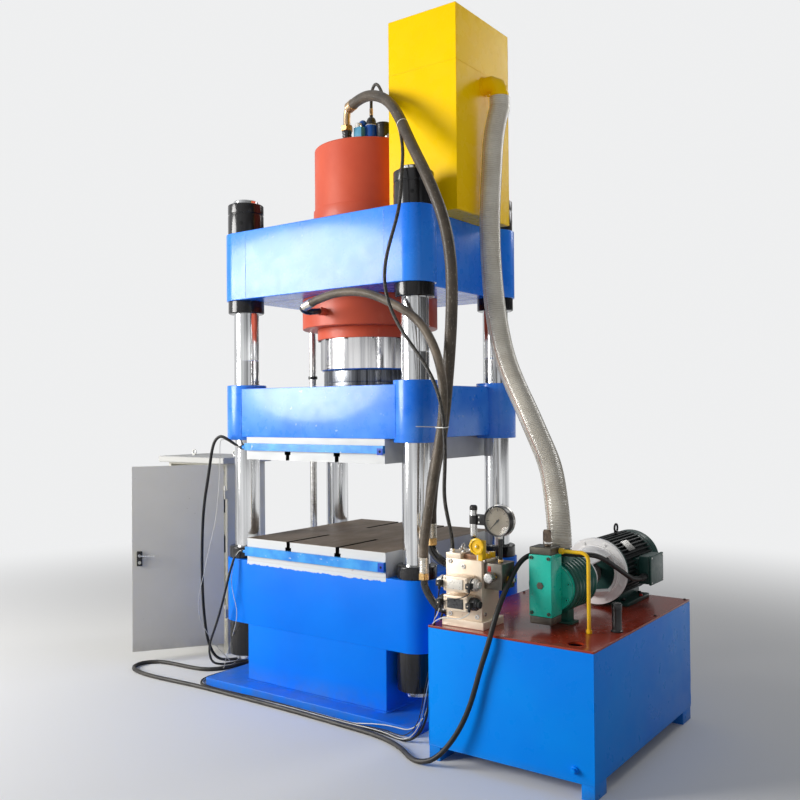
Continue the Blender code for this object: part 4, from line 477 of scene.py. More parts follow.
chrome = finish(
    "chromed_columns", (0.86, 0.865, 0.87), (0.5, 0.505, 0.515), 0.13, metal=1.0, drift=42.0,
    stretch=(1, 1, 0.012), grain=700.0, lift=0.00004,
)
blackened = finish(
    "blackened_nuts", (0.01, 0.01, 0.011), (0.024, 0.023, 0.024), 0.22, metal=0.35, drift=30.0,
    stretch=(1, 1, 0.05), grain=600.0, lift=0.00008, coat=0.4,
)
GROOVE_Z = 1.94
# painted shade: near-black discs stand for the dark insides of holes, on the top nuts, in the channel ends and in the
# lower table
hole_shade_black = finish("tommy_bar_hole_painted_shade", (0.004, 0.004, 0.004), (0.006, 0.006, 0.006), 0.7, drift=30.0)
for tag, (x, y) in zip(("fl", "fr", "bl", "br"), corners):
    bar_profile = [
        (0, 0.1407), (0.07, 0.1407), (0.07, 0.1707), (COLUMN_R, 0.1757), (COLUMN_R, GROOVE_Z),
        (COLUMN_R - 0.002, GROOVE_Z + 0.0015), (COLUMN_R, GROOVE_Z + 0.003), (COLUMN_R, 2.9163),
        (0.07, 2.9213), (0, 2.9213),
    ]
    low_nut = [(0.07, 0.1707), (NUT_R, 0.1707), (NUT_R, 0.3757), (0.07, 0.3757)]
    collar = [
        (COLUMN_R - 0.001, BASE_Z + CLEAR), (NUT_R, BASE_Z + CLEAR), (NUT_R, 0.8143), (0.103, 0.8203),
        (COLUMN_R - 0.001, 0.8203),
    ]
    under = [
        (COLUMN_R - 0.001, CROWN_Z - 0.0753), (0.103, CROWN_Z - 0.0753), (NUT_R, CROWN_Z - 0.0703),
        (NUT_R, CROWN_Z - CLEAR), (COLUMN_R - 0.001, CROWN_Z - CLEAR),
    ]
    assemble(f"column_{tag}_bar_and_nuts", [
        lathe(bar_profile, (x, y, 0), steps=64, soft=0.0012),
        (*lathe(low_nut, (x, y, 0), steps=56), 1),
        (*lathe(collar, (x, y, 0), steps=56), 1),
        (*lathe(under, (x, y, 0), steps=56), 1),
    ], [chrome, blackened], [f"column_{tag}"])
    z = CROWN_TOP + CLEAR
    top_nut = [
        (COLUMN_R + CLEAR, 0), (NUT_R, 0), (NUT_R, 0.118), (NUT_R - 0.004, 0.12), (NUT_R - 0.004, 0.126),
        (NUT_R, 0.128), (NUT_R, 0.18), (0.103, 0.185), (COLUMN_R + CLEAR, 0.185),
    ]
    tommy = [
        (*bar(0.011, 0.0, 0.0012, (x + (NUT_R - 0.001) * math.cos(a), y + (NUT_R - 0.001) * math.sin(a), z + 0.06),
              (math.cos(a), math.sin(a), 0), 16, 0.0004), 1)
        for a in np.radians((-150, -60, 30, 120))
    ]
    assemble(
        f"top_nut_{tag}_turned", [lathe(top_nut, (x, y, z), steps=56), *tommy],
        [blackened, hole_shade_black], [f"top_nut_{tag}"],
    )


# Crown: the top beam, a welded box with the same four lobes, bored for the columns and the cylinder.
# Its plates are welded along the lobes and sprayed with the azure enamel.
well = circle(0.3313, steps=96)
seams = []
for sx in (-1, 1):
    x = sx * (TABLE_X + 0.004)
    seams.append(weld([(x, -FRONT + 0.0005, CROWN_Z + 0.01), (x, -FRONT + 0.0005, CROWN_TOP - 0.01)], 0.0022))
    seams.append(weld([(x, FRONT - 0.0005, CROWN_Z + 0.01), (x, FRONT - 0.0005, CROWN_TOP - 0.01)], 0.0022))
azure_crown = finish(
    "azure_enamel_crown", (0.0, 0.165, 0.82), (0.02, 0.24, 0.92), 0.27, coat=0.3, drift=2.6, grain=170.0,
    lift=0.00025, speckle=0.12, speckle_colour=(0.22, 0.42, 0.85),
)
assemble(
    "crown_weldment",
    [pressed(beam_outline(0.655, FRONT), CROWN_Z, CROWN_TOP, 0.004, bores + [well]), *seams],
    azure_crown, ["crown"],
)


# Main cylinder: a forged barrel with a shoulder flange under the crown, held by a ring nut above it,
# and the gland that carries the ram's packing. Red-oxide primer; the nut is blackened.
CYLINDER_TOP = 3.214
red_oxide = finish(
    "red_oxide", (0.5, 0.064, 0.028), (0.58, 0.09, 0.04), 0.42, coat=0.05, drift=2.2, grain=150.0,
    lift=0.0004, speckle=0.1, speckle_colour=(0.5, 0.16, 0.1),
)
barrel = [
    (0, 3.119), (0.313, 3.119), (0.313, 2.1245), (0.408, 2.1245), (0.41, 2.1275), (0.41, 2.3042),
    (0.331, 2.3042), (0.331, 3.208), (0.325, 3.214), (0, 3.214),
]
assemble("main_cylinder_forged", [lathe(barrel, (0, 0, 0), steps=112, soft=0.003)], red_oxide, ["main_cylinder"])
nut_ring = [(0.3313, 2.7113), (0.342, 2.7113), (0.342, 2.77), (0.3313, 2.77)]
painted_part = [(0.3313, 2.77), (0.3405, 2.77), (0.3385, 2.8393), (0.3313, 2.8393)]
assemble(
    "ring_nut_turned",
    [lathe(nut_ring, (0, 0, 0), steps=112, soft=0.003), (*lathe(painted_part, (0, 0, 0), steps=112, soft=0.002), 1)],
    [blackened, red_oxide], ["cylinder_ring_nut"],
)
gland = [
    (0.3035, 2.0582), (0.318, 2.0582), (0.32, 2.0602), (0.32, 2.1242), (0.3127, 2.1242),
    (0.3127, 2.1642), (0.3035, 2.1642),
]
screws = [
    bar(0.008, 2.051, 2.0582, (0.311 * math.cos(a), 0.311 * math.sin(a), 0), steps=6, soft=0.0008)
    for a in np.radians(np.arange(0, 360, 30) + 10)
]
assemble(
    "gland_with_screws", [lathe(gland, (0, 0, 0), steps=112, soft=0.0015)] + [(*s, 1) for s in screws],
    [red_oxide, blackened], ["cylinder_gland"],
)


# Ram: hard-chromed and ground, with its neck let into the slider under a blackened clamp ring that
# a row of cap screws pulls down.
ram_chrome = finish(
    "ground_ram", (0.88, 0.87, 0.87), (0.42, 0.42, 0.44), 0.12, metal=1.0, drift=26.0,
    stretch=(1, 1, 0.01), grain=800.0, lift=0.00003,
)
ram = [
    (0, 1.7703), (0.24, 1.7703), (0.24, 1.871), (0.295, 1.871), (0.303, 1.879), (0.303, 2.893),
    (0.295, 2.901), (0, 2.901),
]
assemble("ram_ground", [lathe(ram, (0, 0, 0), steps=128, soft=0.002)], ram_chrome, ["ram"], body="slider_body")
clamp_steel = finish(
    "clamp_ring_steel", (0.03, 0.032, 0.036), (0.22, 0.23, 0.25), 0.24, metal=0.85, drift=55.0,
    stretch=(1, 1, 0.01), grain=500.0, lift=0.00006,
)
foot_ring = [
    (0.2403, 1.7703), (0.283, 1.7703), (0.283, 1.8), (0.281, 1.802), (0.283, 1.804), (0.283, 1.8707),
    (0.2403, 1.8707),
]
assemble(
    "foot_clamp_ring", [lathe(foot_ring, (0, 0, 0), steps=112, soft=0.0015)],
    clamp_steel, ["ram_foot_ring"], body="slider_body",
)


# Slider: the moving beam, a welded box with a bored and bushed guide boss about each column. Azure
# enamel, with bright bronze bushes showing at the mouth of each bore.
SLIDER_Z, SLIDER_TOP, SLIDER_Y = 1.483, 1.77, 0.53
azure_slider = finish(
    "azure_enamel_slider", (0.0, 0.165, 0.82), (0.06, 0.28, 0.9), 0.29, coat=0.3, drift=3.4, grain=170.0,
    lift=0.0003, speckle=0.28, speckle_colour=(0.35, 0.52, 0.85),
)
bronze = finish("guide_bronze", (0.62, 0.42, 0.18), (0.5, 0.32, 0.13), 0.28, metal=1.0, drift=40.0, grain=500.0)
boss_low, boss_high = SLIDER_Z - 0.019, SLIDER_TOP + 0.022
bosses, bushes, boss_welds = [], [], []
for x, y in corners:
    bosses.append(ring(COLUMN_R + 0.006, LOBE_R, boss_low, boss_high, (x, y, 0), steps=72, soft=0.003))
    bushes.append((*ring(COLUMN_R + CLEAR, COLUMN_R + 0.007, boss_low + 0.001, boss_high - 0.001, (x, y, 0)), 1))
    face_y = math.copysign(SLIDER_Y, y)
    bead_x = x - math.copysign(math.sqrt(LOBE_R**2 - (SLIDER_Y - SPAN_Y) ** 2), x)
    boss_welds.append(weld([(bead_x, face_y, SLIDER_Z + 0.004), (bead_x, face_y, SLIDER_TOP - 0.004)], 0.0035))
wide_bores = [circle(COLUMN_R + 0.006, centre) for centre in corners]
assemble("slider_weldment", [
    pressed(rectangle(-BASE_X, -SLIDER_Y, BASE_X, SLIDER_Y, 0.003), SLIDER_Z, SLIDER_TOP, 0.003, wide_bores),
    *bosses, *bushes, *boss_welds,
], [azure_slider, bronze], ["slider"], body="slider_body")


# Tables: two thick plates of ground steel with T-slots from both edges. The lower one's top has gone
# brown with oil and dust, the edges stay bright.
table_steel = finish(
    "lower_table_steel", (0.155, 0.115, 0.08), (0.23, 0.175, 0.13), 0.5, metal=0.1, drift=5.0,
    stretch=(1, 0.35, 1), grain=260.0, lift=0.00012, speckle=0.25, speckle_colour=(0.34, 0.19, 0.12),
    band=(0.74, 0.8845, (0.6, 0.61, 0.61), 0.0002, 9.0),
)
upper_steel = finish(
    "upper_table_steel", (0.6, 0.61, 0.61), (0.52, 0.53, 0.53), 0.5, metal=0.1, drift=5.0,
    stretch=(0.3, 1, 1), grain=260.0, lift=0.0001, speckle=0.08, speckle_colour=(0.4, 0.34, 0.28),
)
channel_blue = finish(
    "azure_enamel_channels", (0.006, 0.2, 0.7), (0.05, 0.36, 0.8), 0.38, coat=0.2, drift=9.0, grain=200.0,
    speckle=0.35, speckle_colour=(0.5, 0.62, 0.72),
)
SLOT_X, SLOT_END, NECK, NECK_DEEP, WIDE = 0.183, 0.184, 0.0135, 0.032, 0.0225


def shade_painted_slots(material, face_z, into):
    """Paints shade into a table's T-slots as near black: where |y| > end and ||x| - slot| < neck, or < wide below the
    neck.
    """
    tree = material.node_tree
    shader = tree.nodes["Principled BSDF"]
    place = add_node(tree, "ShaderNodeTexCoord").outputs["Object"]
    x, y, z = add_node(tree, "ShaderNodeSeparateXYZ", {0: place}).outputs
    off = maths(tree, "ABSOLUTE", maths(tree, "SUBTRACT", maths(tree, "ABSOLUTE", x), SLOT_X))
    deep = maths(tree, "MULTIPLY", maths(tree, "SUBTRACT", z, face_z), into)
    below_neck = maths(tree, "GREATER_THAN", deep, NECK_DEEP - 0.0004)
    lower = maths(tree, "MULTIPLY", maths(tree, "LESS_THAN", off, WIDE), below_neck)
    lower = maths(tree, "MULTIPLY", lower, maths(tree, "LESS_THAN", deep, 0.0525))
    upper = maths(tree, "MULTIPLY", maths(tree, "LESS_THAN", off, NECK), maths(tree, "LESS_THAN", deep, NECK_DEEP))
    past_end = maths(tree, "GREATER_THAN", maths(tree, "ABSOLUTE", y), SLOT_END)
    slot = maths(tree, "MULTIPLY", maths(tree, "MAXIMUM", lower, upper), past_end)
    painted = shader.inputs["Base Color"].links[0].from_socket
    tree.links.new(mixed(tree, slot, painted, (0.012, 0.011, 0.01)), shader.inputs["Base Color"])


# painted shade: the insides of both tables' T-slots are painted near black
shade_painted_slots(table_steel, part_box("lower_platen")[1][2], -1)
shade_painted_slots(upper_steel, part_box("upper_platen")[0][2], 1)
for piece, material in (
    ("lower_platen", table_steel), ("upper_platen", upper_steel),
    ("lower_channel", channel_blue), ("upper_channel", channel_blue),
):
    nodes[piece].data.materials.clear()
    nodes[piece].data.materials.append(material)
reveal_blue = finish("channel_end_enamel", (0.0, 0.045, 0.42), (0.0, 0.06, 0.5), 0.4, drift=20.0)
for name, body, low, high in (
    ("lower_channel_end", "press_frame", 0.786, 0.832), ("upper_channel_end", "slider_body", 1.3985, 1.4345)
):
    middle = (low + high) / 2
    plate = pressed(
        rectangle(low, 0.474, high, 0.513, 0.002), -0.5643, -0.5629, 0.0005, [circle(0.0075, (middle, 0.494), 24)],
        axis="Y",
    )
    # painted shade: a near-black disc behind the plate's hole stands for the dark inside of the hole
    behind = bar(0.0085, -0.5632, -0.5624, (0.494, 0.0, middle), (0, 1, 0), 24, 0.0)
    assemble(name, [plate, (*behind, 1)], [reveal_blue, hole_shade_black], body=body)
screw_places = [
    (-0.183, -0.172), (0.183, -0.172), (0.111, -0.304), (0.363, -0.369), (-0.112, -0.002), (0.112, -0.025),
    (-0.207, 0.221), (-0.377, 0.383), (-0.129, 0.308),
]
# painted shade: a near-black disc in each ring stands for the dark inside of the hole
clamp_holes = []
for x, y in screw_places:
    clamp_holes.append(ring(0.007, 0.01, 0.8846, 0.8854, (x, y, 0), (0, 0, 1), 24, 0.0003))
    clamp_holes.append((*bar(0.0072, 0.8846, 0.8852, (x, y, 0), (0, 0, 1), 20, 0.0), 1))
assemble("lower_table_clamp_holes", clamp_holes, [chrome, hole_shade_black])


# Prefill valve: a group of blocks and barrels screwed to the cylinder's cap, which lets the filling
# tank's oil in as the ram runs down. Steel bodies painted in two blues and black, with a white cap.
TOP = CYLINDER_TOP + CLEAR
pale_blue = finish("pale_blue_block", (0.06, 0.26, 0.42), (0.1, 0.34, 0.5), 0.42, coat=0.2, drift=12.0, speckle=0.2)
deep_blue = finish("deep_blue_barrel", (0.006, 0.085, 0.4), (0.01, 0.11, 0.48), 0.34, coat=0.3, drift=12.0)
black_paint = finish("black_enamel", (0.012, 0.012, 0.013), (0.03, 0.028, 0.027), 0.3, coat=0.35, drift=14.0)
white_plastic = finish("white_cap", (0.74, 0.75, 0.74), (0.68, 0.69, 0.67), 0.42, drift=20.0)
bright_steel = finish(
    "bright_steel", (0.7, 0.69, 0.67), (0.52, 0.51, 0.49), 0.26, metal=1.0, drift=30.0, grain=500.0, lift=0.0001
)
tan_zinc = finish(
    "tan_zinc_fittings", (0.56, 0.4, 0.24), (0.42, 0.29, 0.17), 0.3, metal=0.9, drift=26.0, speckle=0.15,
    speckle_colour=(0.26, 0.18, 0.1),
)
cap_screws = [
    (*bar(0.006, TOP + 0.1, TOP + 0.106, (x, y, 0), steps=6, soft=0.0006), 4)
    for x in (0.036, 0.08) for y in (-0.176, -0.098)
]
dome = [(0, 0), (0.04, 0), (0.04, 0.11), (0.037, 0.1125), (0, 0.1125)]
fitting = [
    (0, 0.112), (0.034, 0.112), (0.034, 0.126), (0.029, 0.13), (0.029, 0.142),
    (0.022, 0.158), (0.0105, 0.167), (0.0105, 0.18), (0, 0.18),
]
ferrule_stem = [(0, 0.178), (0.011, 0.178), (0.011, 0.217), (0, 0.217)]
knob = [
    (0, 0.05), (0.016, 0.05), (0.016, 0.112), (0.026, 0.12), (0.026, 0.132),
    (0.018, 0.144), (0.007, 0.15), (0, 0.15),
]
vent_cap = [(0, 0.05), (0.021, 0.05), (0.021, 0.12), (0.016, 0.127), (0, 0.127)]
dome_at, valve_x, valve_y = (0.105, -0.11, TOP), 0.186, -0.1
fill_valve = [
    (0, 0.0006), (0.043, 0.0006), (0.043, 0.018), (0.04, 0.02), (0.04, 0.094),
    (0.043, 0.096), (0.043, 0.115), (0, 0.115),
]
stub_z = TOP + 0.028
stub = [(0, valve_x), (0.012, valve_x), (0.012, 0.3446), (0, 0.3446)]
stub_nut = [(0, 0.232), (0.017, 0.232), (0.017, 0.25), (0, 0.25)]
assemble("prefill_valve_group", [
    slab((0.028, -0.185, TOP), (0.088, -0.088, TOP + 0.1), 0.004),
    *cap_screws,
    (*lathe(dome, dome_at), 1),
    (*lathe(fitting, dome_at), 3),
    (*bar(0.0385, 0.1115, 0.1145, dome_at, steps=48, soft=0.001), 2),
    (*lathe(ferrule_stem, dome_at, steps=24, soft=0.001), 5),
    (*lathe(knob, (0.06, -0.134, TOP), steps=10), 1),
    (*lathe(vent_cap, (0.0495, -0.1635, TOP), steps=24), 2),
    (*lathe(fill_valve, (valve_x, valve_y, TOP)), 3),
    (*lathe(stub, (0, valve_y - 0.012, stub_z), (1, 0, 0), 24), 4),
    (*lathe(stub_nut, (0, valve_y - 0.012, stub_z), (1, 0, 0), 6, 0.001), 4),
], [pale_blue, deep_blue, white_plastic, black_paint, bright_steel, tan_zinc], ["prefill_valve"])


# Filling tank: sheet welded into a tall box on the crown, with its mitred outlet elbow. Yellow enamel
# that lies over the stitched weld seams; the sheets are a little buckled by the heat.
yellow = finish(
    "yellow_enamel", (0.94, 0.56, 0.0), (0.98, 0.62, 0.0), 0.26, specular=0.12, drift=1.8, grain=150.0, speckle=0.05,
    speckle_colour=(0.75, 0.48, 0.02),
)
TANK_LOW, TANK_HIGH = (0.345, -0.258, 2.7113), (0.795, 0.315, 3.8303)


def buckled(low, high, corner, swell, rows=48, columns=24):
    """A sheet-metal box. Each side stands off the flat by swell times a product of sines, zero along
    its four edges, so the welded corners stay straight."""
    size = np.array(high) - np.array(low)
    u, v = np.linspace(0, 1, columns + 1), np.linspace(0, 1, rows + 1)
    uu, vv = np.meshgrid(u, v)
    hump = np.sin(np.pi * uu) * (np.sin(3.1 * np.pi * vv) * 0.6 + 0.5 * np.sin(np.pi * vv + 0.4 * uu))
    hump = hump * np.sin(np.pi * vv) * swell
    x0, y0, z0 = low
    w, d, h = size
    flats = (
        (x0 + w * uu, y0 - hump, z0 + h * vv), (x0 + w + hump, y0 + d * uu, z0 + h * vv),
        (x0 + w * (1 - uu), y0 + d + hump, z0 + h * vv), (x0 - hump, y0 + d * (1 - uu), z0 + h * vv),
    )
    grid = np.concatenate([np.stack(flat, -1)[:, :-1] for flat in flats], axis=1)
    around = grid.shape[1]
    bevel = np.array([low, high]).mean(0)
    shrink = np.array([(w - 2 * corner) / w, (d - 2 * corner) / d, 1.0])
    foot, head = bevel + (grid[:1] - bevel) * shrink, bevel + (grid[-1:] - bevel) * shrink
    whole = np.concatenate([foot, grid, head])
    whole[1, :, 2] += corner
    whole[-2, :, 2] -= corner
    ends = [(bevel[0], bevel[1], z0), (bevel[0], bevel[1], z0 + h)]
    return np.concatenate([whole.reshape(-1, 3), ends]), grid_faces(len(whole), around) + end_fans(len(whole), around)


seam_z, out = 3.522, 0.0006
(left, front_y, _), (right, back_y, _) = TANK_LOW, TANK_HIGH
tank_seams = [
    weld([(left + 0.004, front_y - out, seam_z), (right - 0.004, front_y - out, seam_z)], 0.003, 0.016, 0.3),
    weld([(right + out, front_y + 0.004, seam_z), (right + out, back_y - 0.004, seam_z)], 0.0016, 0.016, 0.3),
    weld([(left - out, front_y + 0.004, seam_z), (left - out, back_y - 0.004, seam_z)], 0.0022, 0.016, 0.3),
]
for x, y in ((left, front_y), (right, front_y), (left, back_y), (right, back_y)):
    inward = (x + math.copysign(0.002, 0.57 - x), y + math.copysign(0.002, 0.03 - y))
    tank_seams.append(weld([(*inward, TANK_LOW[2] + 0.004), (*inward, TANK_HIGH[2] - 0.004)], 0.003, 0.01, 0.15))
assemble(
    "filling_tank_sheet",
    [buckled(TANK_LOW, TANK_HIGH, 0.004, 0.0022), *tank_seams],
    yellow, ["filling_tank"], angle=25,
)
OUTLET_R = 0.048
wall_x, drop_x, drop_y, elbow_z = 0.7953, 0.894, 0.037, 3.452
elbow_line = [(wall_x, drop_y, elbow_z), (0.842, drop_y, elbow_z), (0.882, drop_y, 3.43), (drop_x, drop_y, 3.402),
              (drop_x, drop_y, 3.3702)]
mitre_ring = ring(OUTLET_R, OUTLET_R + 0.004, 0.0, 0.01, (wall_x, drop_y, elbow_z), (1, 0, 0), 48, 0.002)
hose_band = ring(OUTLET_R + 0.0002, OUTLET_R + 0.003, 3.376, 3.392, (drop_x, drop_y, 0), (0, 0, 1), 48, 0.001)
band_screw = bar(0.006, -0.018, 0.018, (drop_x - 0.054, drop_y - 0.012, 3.384), (0.35, 1, 0), 8, 0.001)
assemble(
    "outlet_elbow",
    [tube(elbow_line, OUTLET_R, 40), mitre_ring, hose_band, band_screw,
     weld(np.c_[np.full(49, wall_x + 0.003), drop_y + 0.05 * np.cos(np.linspace(0, 2 * np.pi, 49)),
                elbow_z + 0.05 * np.sin(np.linspace(0, 2 * np.pi, 49))], 0.004, 0.01)],
    yellow, ["tank_outlet"], angle=50,
)


# Oil tank: a welded sheet box on four short legs, under a flat lid that carries the power unit.
# Azure enamel outside, red-oxide lid with oil on it, a drain plug low at the front.
azure_tank = finish(
    "azure_enamel_tank", (0.0, 0.225, 0.92), (0.0, 0.275, 0.96), 0.3, coat=0.04, specular=0.14, drift=1.4, grain=170.0,
    lift=0.00025, soil=0.1, soil_colour=(0.08, 0.11, 0.18),
)
oiled_red = finish(
    "oiled_red_oxide", (0.34, 0.034, 0.012), (0.24, 0.026, 0.012), 0.2, coat=0.35, drift=3.2, grain=60.0,
    lift=0.0004, speckle=0.22, speckle_colour=(0.44, 0.12, 0.07),
)
OIL_LOW, OIL_HIGH, LID_TOP = (0.965, -0.82, 0.064), (1.795, 0.415, 0.614), 0.624
outer = rectangle(*OIL_LOW[:2], *OIL_HIGH[:2], 0.003)
inside_walls = rectangle(0.97, -0.815, 1.79, 0.41, 0.001, 5)
legs = [slab((x, y, 0.0), (x + 0.06, y + 0.12, 0.066), 0.001) for x in (0.967, 1.733) for y in (-0.818, 0.293)]
plug = [(0, 0.0), (0.016, 0.0), (0.016, 0.01), (0, 0.01)]
plug_nut = [(0, 0.01), (0.011, 0.01), (0.011, 0.024), (0, 0.024)]
assemble("oil_tank_welded", [
    pressed(outer, 0.069, 0.614, 0.0, [inside_walls]),
    slab(OIL_LOW, (*OIL_HIGH[:2], 0.0692), 0.0015),
    *legs,
    weld([(0.968, -0.8185, 0.075), (0.968, -0.8185, 0.605)], 0.0028, 0.012, 0.1),
    weld([(1.7925, -0.8185, 0.075), (1.7925, -0.8185, 0.605)], 0.0028, 0.012, 0.1),
    weld([(1.7925, 0.4135, 0.075), (1.7925, 0.4135, 0.605)], 0.0028, 0.012, 0.1),
    lathe(plug, (1.705, -0.82, 0.118), (0, -1, 0), 24, 0.001),
    lathe(plug_nut, (1.705, -0.82, 0.118), (0, -1, 0), 6, 0.001),
], azure_tank, ["oil_tank"])
filler = circle(0.035, (1.679, -0.743), 48)
lid_screws = [
    (*bar(0.007, LID_TOP, LID_TOP + 0.005, (x, y, 0), steps=6, soft=0.0006), 1)
    for x, y in [(0.985, -0.8), (0.985, 0.395), (1.775, 0.395), (1.38, 0.398), (1.777, -0.05), (0.983, -0.2),
                 (0.983, 0.1)]
]
assemble(
    "oil_tank_lid",
    [pressed(rectangle(0.965, -0.82, 1.795, 0.415, 0.003), 0.6143, LID_TOP, 0.0015, [filler]), *lid_screws],
    [oiled_red, blackened], ["tank_lid"],
)


# Pump: an axial piston pump bolted to the bell housing. Dark green ribbed casting, teal control block
# across its front with blackened end caps, and the stroke adjuster's stem on top.
AXIS = (1.455, 0.0, 0.805)
Y = (0, 1, 0)
casting_green = finish(
    "casting_green", (0.006, 0.085, 0.065), (0.01, 0.115, 0.085), 0.34, coat=0.25, drift=9.0, grain=110.0,
    lift=0.0006, speckle=0.12, speckle_colour=(0.02, 0.16, 0.12),
)
teal = finish(
    "teal_enamel", (0.008, 0.46, 0.34), (0.012, 0.56, 0.42), 0.3, coat=0.2, drift=7.0, grain=140.0, lift=0.0004,
    speckle=0.1, speckle_colour=(0.05, 0.26, 0.2),
)


def spots(count, radius, centre, turn=0.0):
    """Points spread evenly round a centre in the plane y = 0, the first at the angle turn."""
    angles = turn + 2 * np.pi * np.arange(count) / count
    return [(centre[0] + radius * math.cos(a), 0, centre[2] + radius * math.sin(a)) for a in angles]


rib_t = np.linspace(0, 1, 57)
rib_y = -0.5 + 0.23 * rib_t
rib_r = 0.1225 + 0.0034 * np.tanh(6 * np.sin(2 * np.pi * 6.5 * rib_t + np.pi / 2))
barrel_profile = [(0, -0.5237), (0.112, -0.5237), (0.112, -0.5), *zip(rib_r, rib_y), (0.075, -0.27), (0.075, -0.24),
                  (0, -0.24)]
flange_bolts = []
for spot in spots(8, 0.096, AXIS, 0.25):
    flange_bolts.append((*ring(0.004, 0.009, -0.535, -0.5237, spot, Y, 20, 0.001), 1))
    flange_bolts.append((*bar(0.0045, -0.529, -0.5237, spot, Y, 6, 0.0), 2))
port_collar = ring(0.05, 0.056, 0.955, 0.968, (1.455, -0.425, 0), (0, 0, 1), 40, 0.001)
clamp = slab((1.4, -0.48, 0.8806), (1.51, -0.37, 0.945), 0.006, 0.012)
clamp_bolts = [
    (*bar(0.007, 0.945, 0.954, (x, y, 0), steps=6, soft=0.0008), 2)
    for x in (1.411, 1.499) for y in (-0.469, -0.381)
]
assemble("pump_casting", [
    lathe(barrel_profile, AXIS, Y, 72, 0.0008),
    (*lathe([(0, -0.5239), (0.1125, -0.5239), (0.1125, -0.4998), (0, -0.4998)], AXIS, Y, 72, 0.003), 1),
    *flange_bolts,
    bar(0.05, 0.805, 0.98, (1.455, -0.425, 0), steps=40),
    (*port_collar, 2), clamp, *clamp_bolts,
    slab((1.405, -0.44, LID_TOP + CLEAR), (1.505, -0.38, 0.73), 0.006),
    slab((1.385, -0.448, LID_TOP + CLEAR), (1.525, -0.372, LID_TOP + 0.012), 0.002),
], [casting_green, teal, blackened], ["pump_body"])
socket_heads = [
    (*ring(0.0035, 0.008, 0.0, 0.006, (x, -0.631, z), (0, -1, 0), 20, 0.001), 1)
    for x in (1.412, 1.498) for z in (0.705, 0.955)
]
block_cap_grey = finish("block_end_caps", (0.06, 0.058, 0.05), (0.12, 0.11, 0.085), 0.36, metal=0.4, drift=12.0)
assemble("pump_control_block_caps", [
    slab((1.398, -0.631, 0.6885), (1.512, -0.524, 0.9695), 0.004),
    (*slab((1.4, -0.629, 0.654), (1.51, -0.526, 0.6886), 0.005), 1),
    (*slab((1.4, -0.629, 0.9694), (1.51, -0.526, 1.004), 0.005), 1),
    *socket_heads,
    (*ring(0.006, 0.017, 0.0, 0.004, (1.455, -0.631, 0.83), (0, -1, 0), 6, 0.001), 1),
    (*bar(0.0065, 0.0, 0.003, (1.455, -0.631, 0.83), (0, -1, 0), 6, 0.0), 1),
], [teal, block_cap_grey], ["pump_control_block"])
stem_brown = finish("waxed_stem", (0.3, 0.22, 0.15), (0.1, 0.075, 0.06), 0.32, metal=0.5, drift=24.0, coat=0.3)
stem_at = (1.467, -0.5775, 1.0043)
stem = [
    (0, 0), (0.014, 0), (0.014, 0.008), (0.02, 0.009), (0.02, 0.066), (0.0185, 0.069), (0.018, 0.07),
    (0.016, 0.075), (0, 0.075),
]
assemble("stroke_adjuster_stem", [
    lathe(stem, stem_at, steps=32, soft=0.001),
    (*ring(0.0195, 0.0202, 0.012, 0.02, stem_at, steps=32, soft=0.0002), 1),
    (*bar(0.0125, 0.0745, 0.0752, stem_at, steps=6, soft=0.0), 1),
], [stem_brown, bright_steel], ["pump_adjuster"], body="adjuster_body")


# Bell housing: a cast cone that spaces the pump off the motor, with a window each side through which
# the shaft coupling shows. White paint inside and out.
casting_white = finish(
    "casting_white", (0.93, 0.92, 0.91), (0.9, 0.89, 0.87), 0.4, coat=0.1, drift=9.0, grain=120.0, lift=0.0005,
    speckle=0.1, speckle_colour=(0.45, 0.42, 0.38),
)
bell_y0, bell_y1 = -0.2397, -0.0006
flange_y = bell_y1 - 0.024
window_low, window_high = -0.206, -0.036


def cone_radius(y):
    """The cone's outer radius at y: straight from the small end to the big flange."""
    return np.interp(y, [bell_y0 + 0.016, flange_y], [0.092, 0.128])


def opened_cone():
    """The cone's wall as one grid over angle and height; cells inside the two windows are left out
    and their cut edges closed with short walls between the outer and the inner skin."""
    ys = np.concatenate([[bell_y0 + 0.015], np.linspace(window_low, window_high, 9), [flange_y + 0.001]])
    t = np.concatenate([
        np.linspace(-0.8, 0.8, 9), np.linspace(0.8, np.pi - 0.8, 19)[1:-1],
        np.linspace(np.pi - 0.8, np.pi + 0.8, 9), np.linspace(np.pi + 0.8, 2 * np.pi - 0.8, 19)[1:-1],
    ])
    rows, columns = len(ys), len(t)
    skins = []
    for thickness in (0.0, 0.016):
        radius = (cone_radius(ys) - thickness)[:, None]
        skins.append(np.stack(
            [AXIS[0] + radius * np.cos(t), ys[:, None] * np.ones_like(t), AXIS[2] + radius * np.sin(t)], -1))
    verts = np.concatenate([skin.reshape(-1, 3) for skin in skins])
    row, column = np.meshgrid(np.arange(rows - 1), np.arange(columns), indexing="ij")
    open_row = (row >= 1) & (row <= rows - 3)
    open_column = (column < 8) | ((column >= 26) & (column < 34))
    solid = ~(open_row & open_column)
    after = (column + 1) % columns
    a, b = row * columns + column, row * columns + after
    c, d = (row + 1) * columns + after, (row + 1) * columns + column
    layer = rows * columns
    outer_quads = np.stack([a, d, c, b], -1)[solid]
    inner_quads = np.stack([a, b, c, d], -1)[solid] + layer
    faces = outer_quads.tolist() + inner_quads.tolist()
    for first, second, step_row, step_column in ((a, b, -1, 0), (c, d, 1, 0), (d, a, 0, -1), (b, c, 0, 1)):
        other_row, other_column = row + step_row, (column + step_column) % columns
        inside = (other_row >= 0) & (other_row < rows - 1)
        there = np.zeros_like(solid)
        there[inside] = solid[other_row[inside], other_column[inside]]
        edge = solid & ~there
        p, q = first[edge], second[edge]
        faces += np.stack([p, q, q + layer, p + layer], -1).tolist()
    return verts, faces


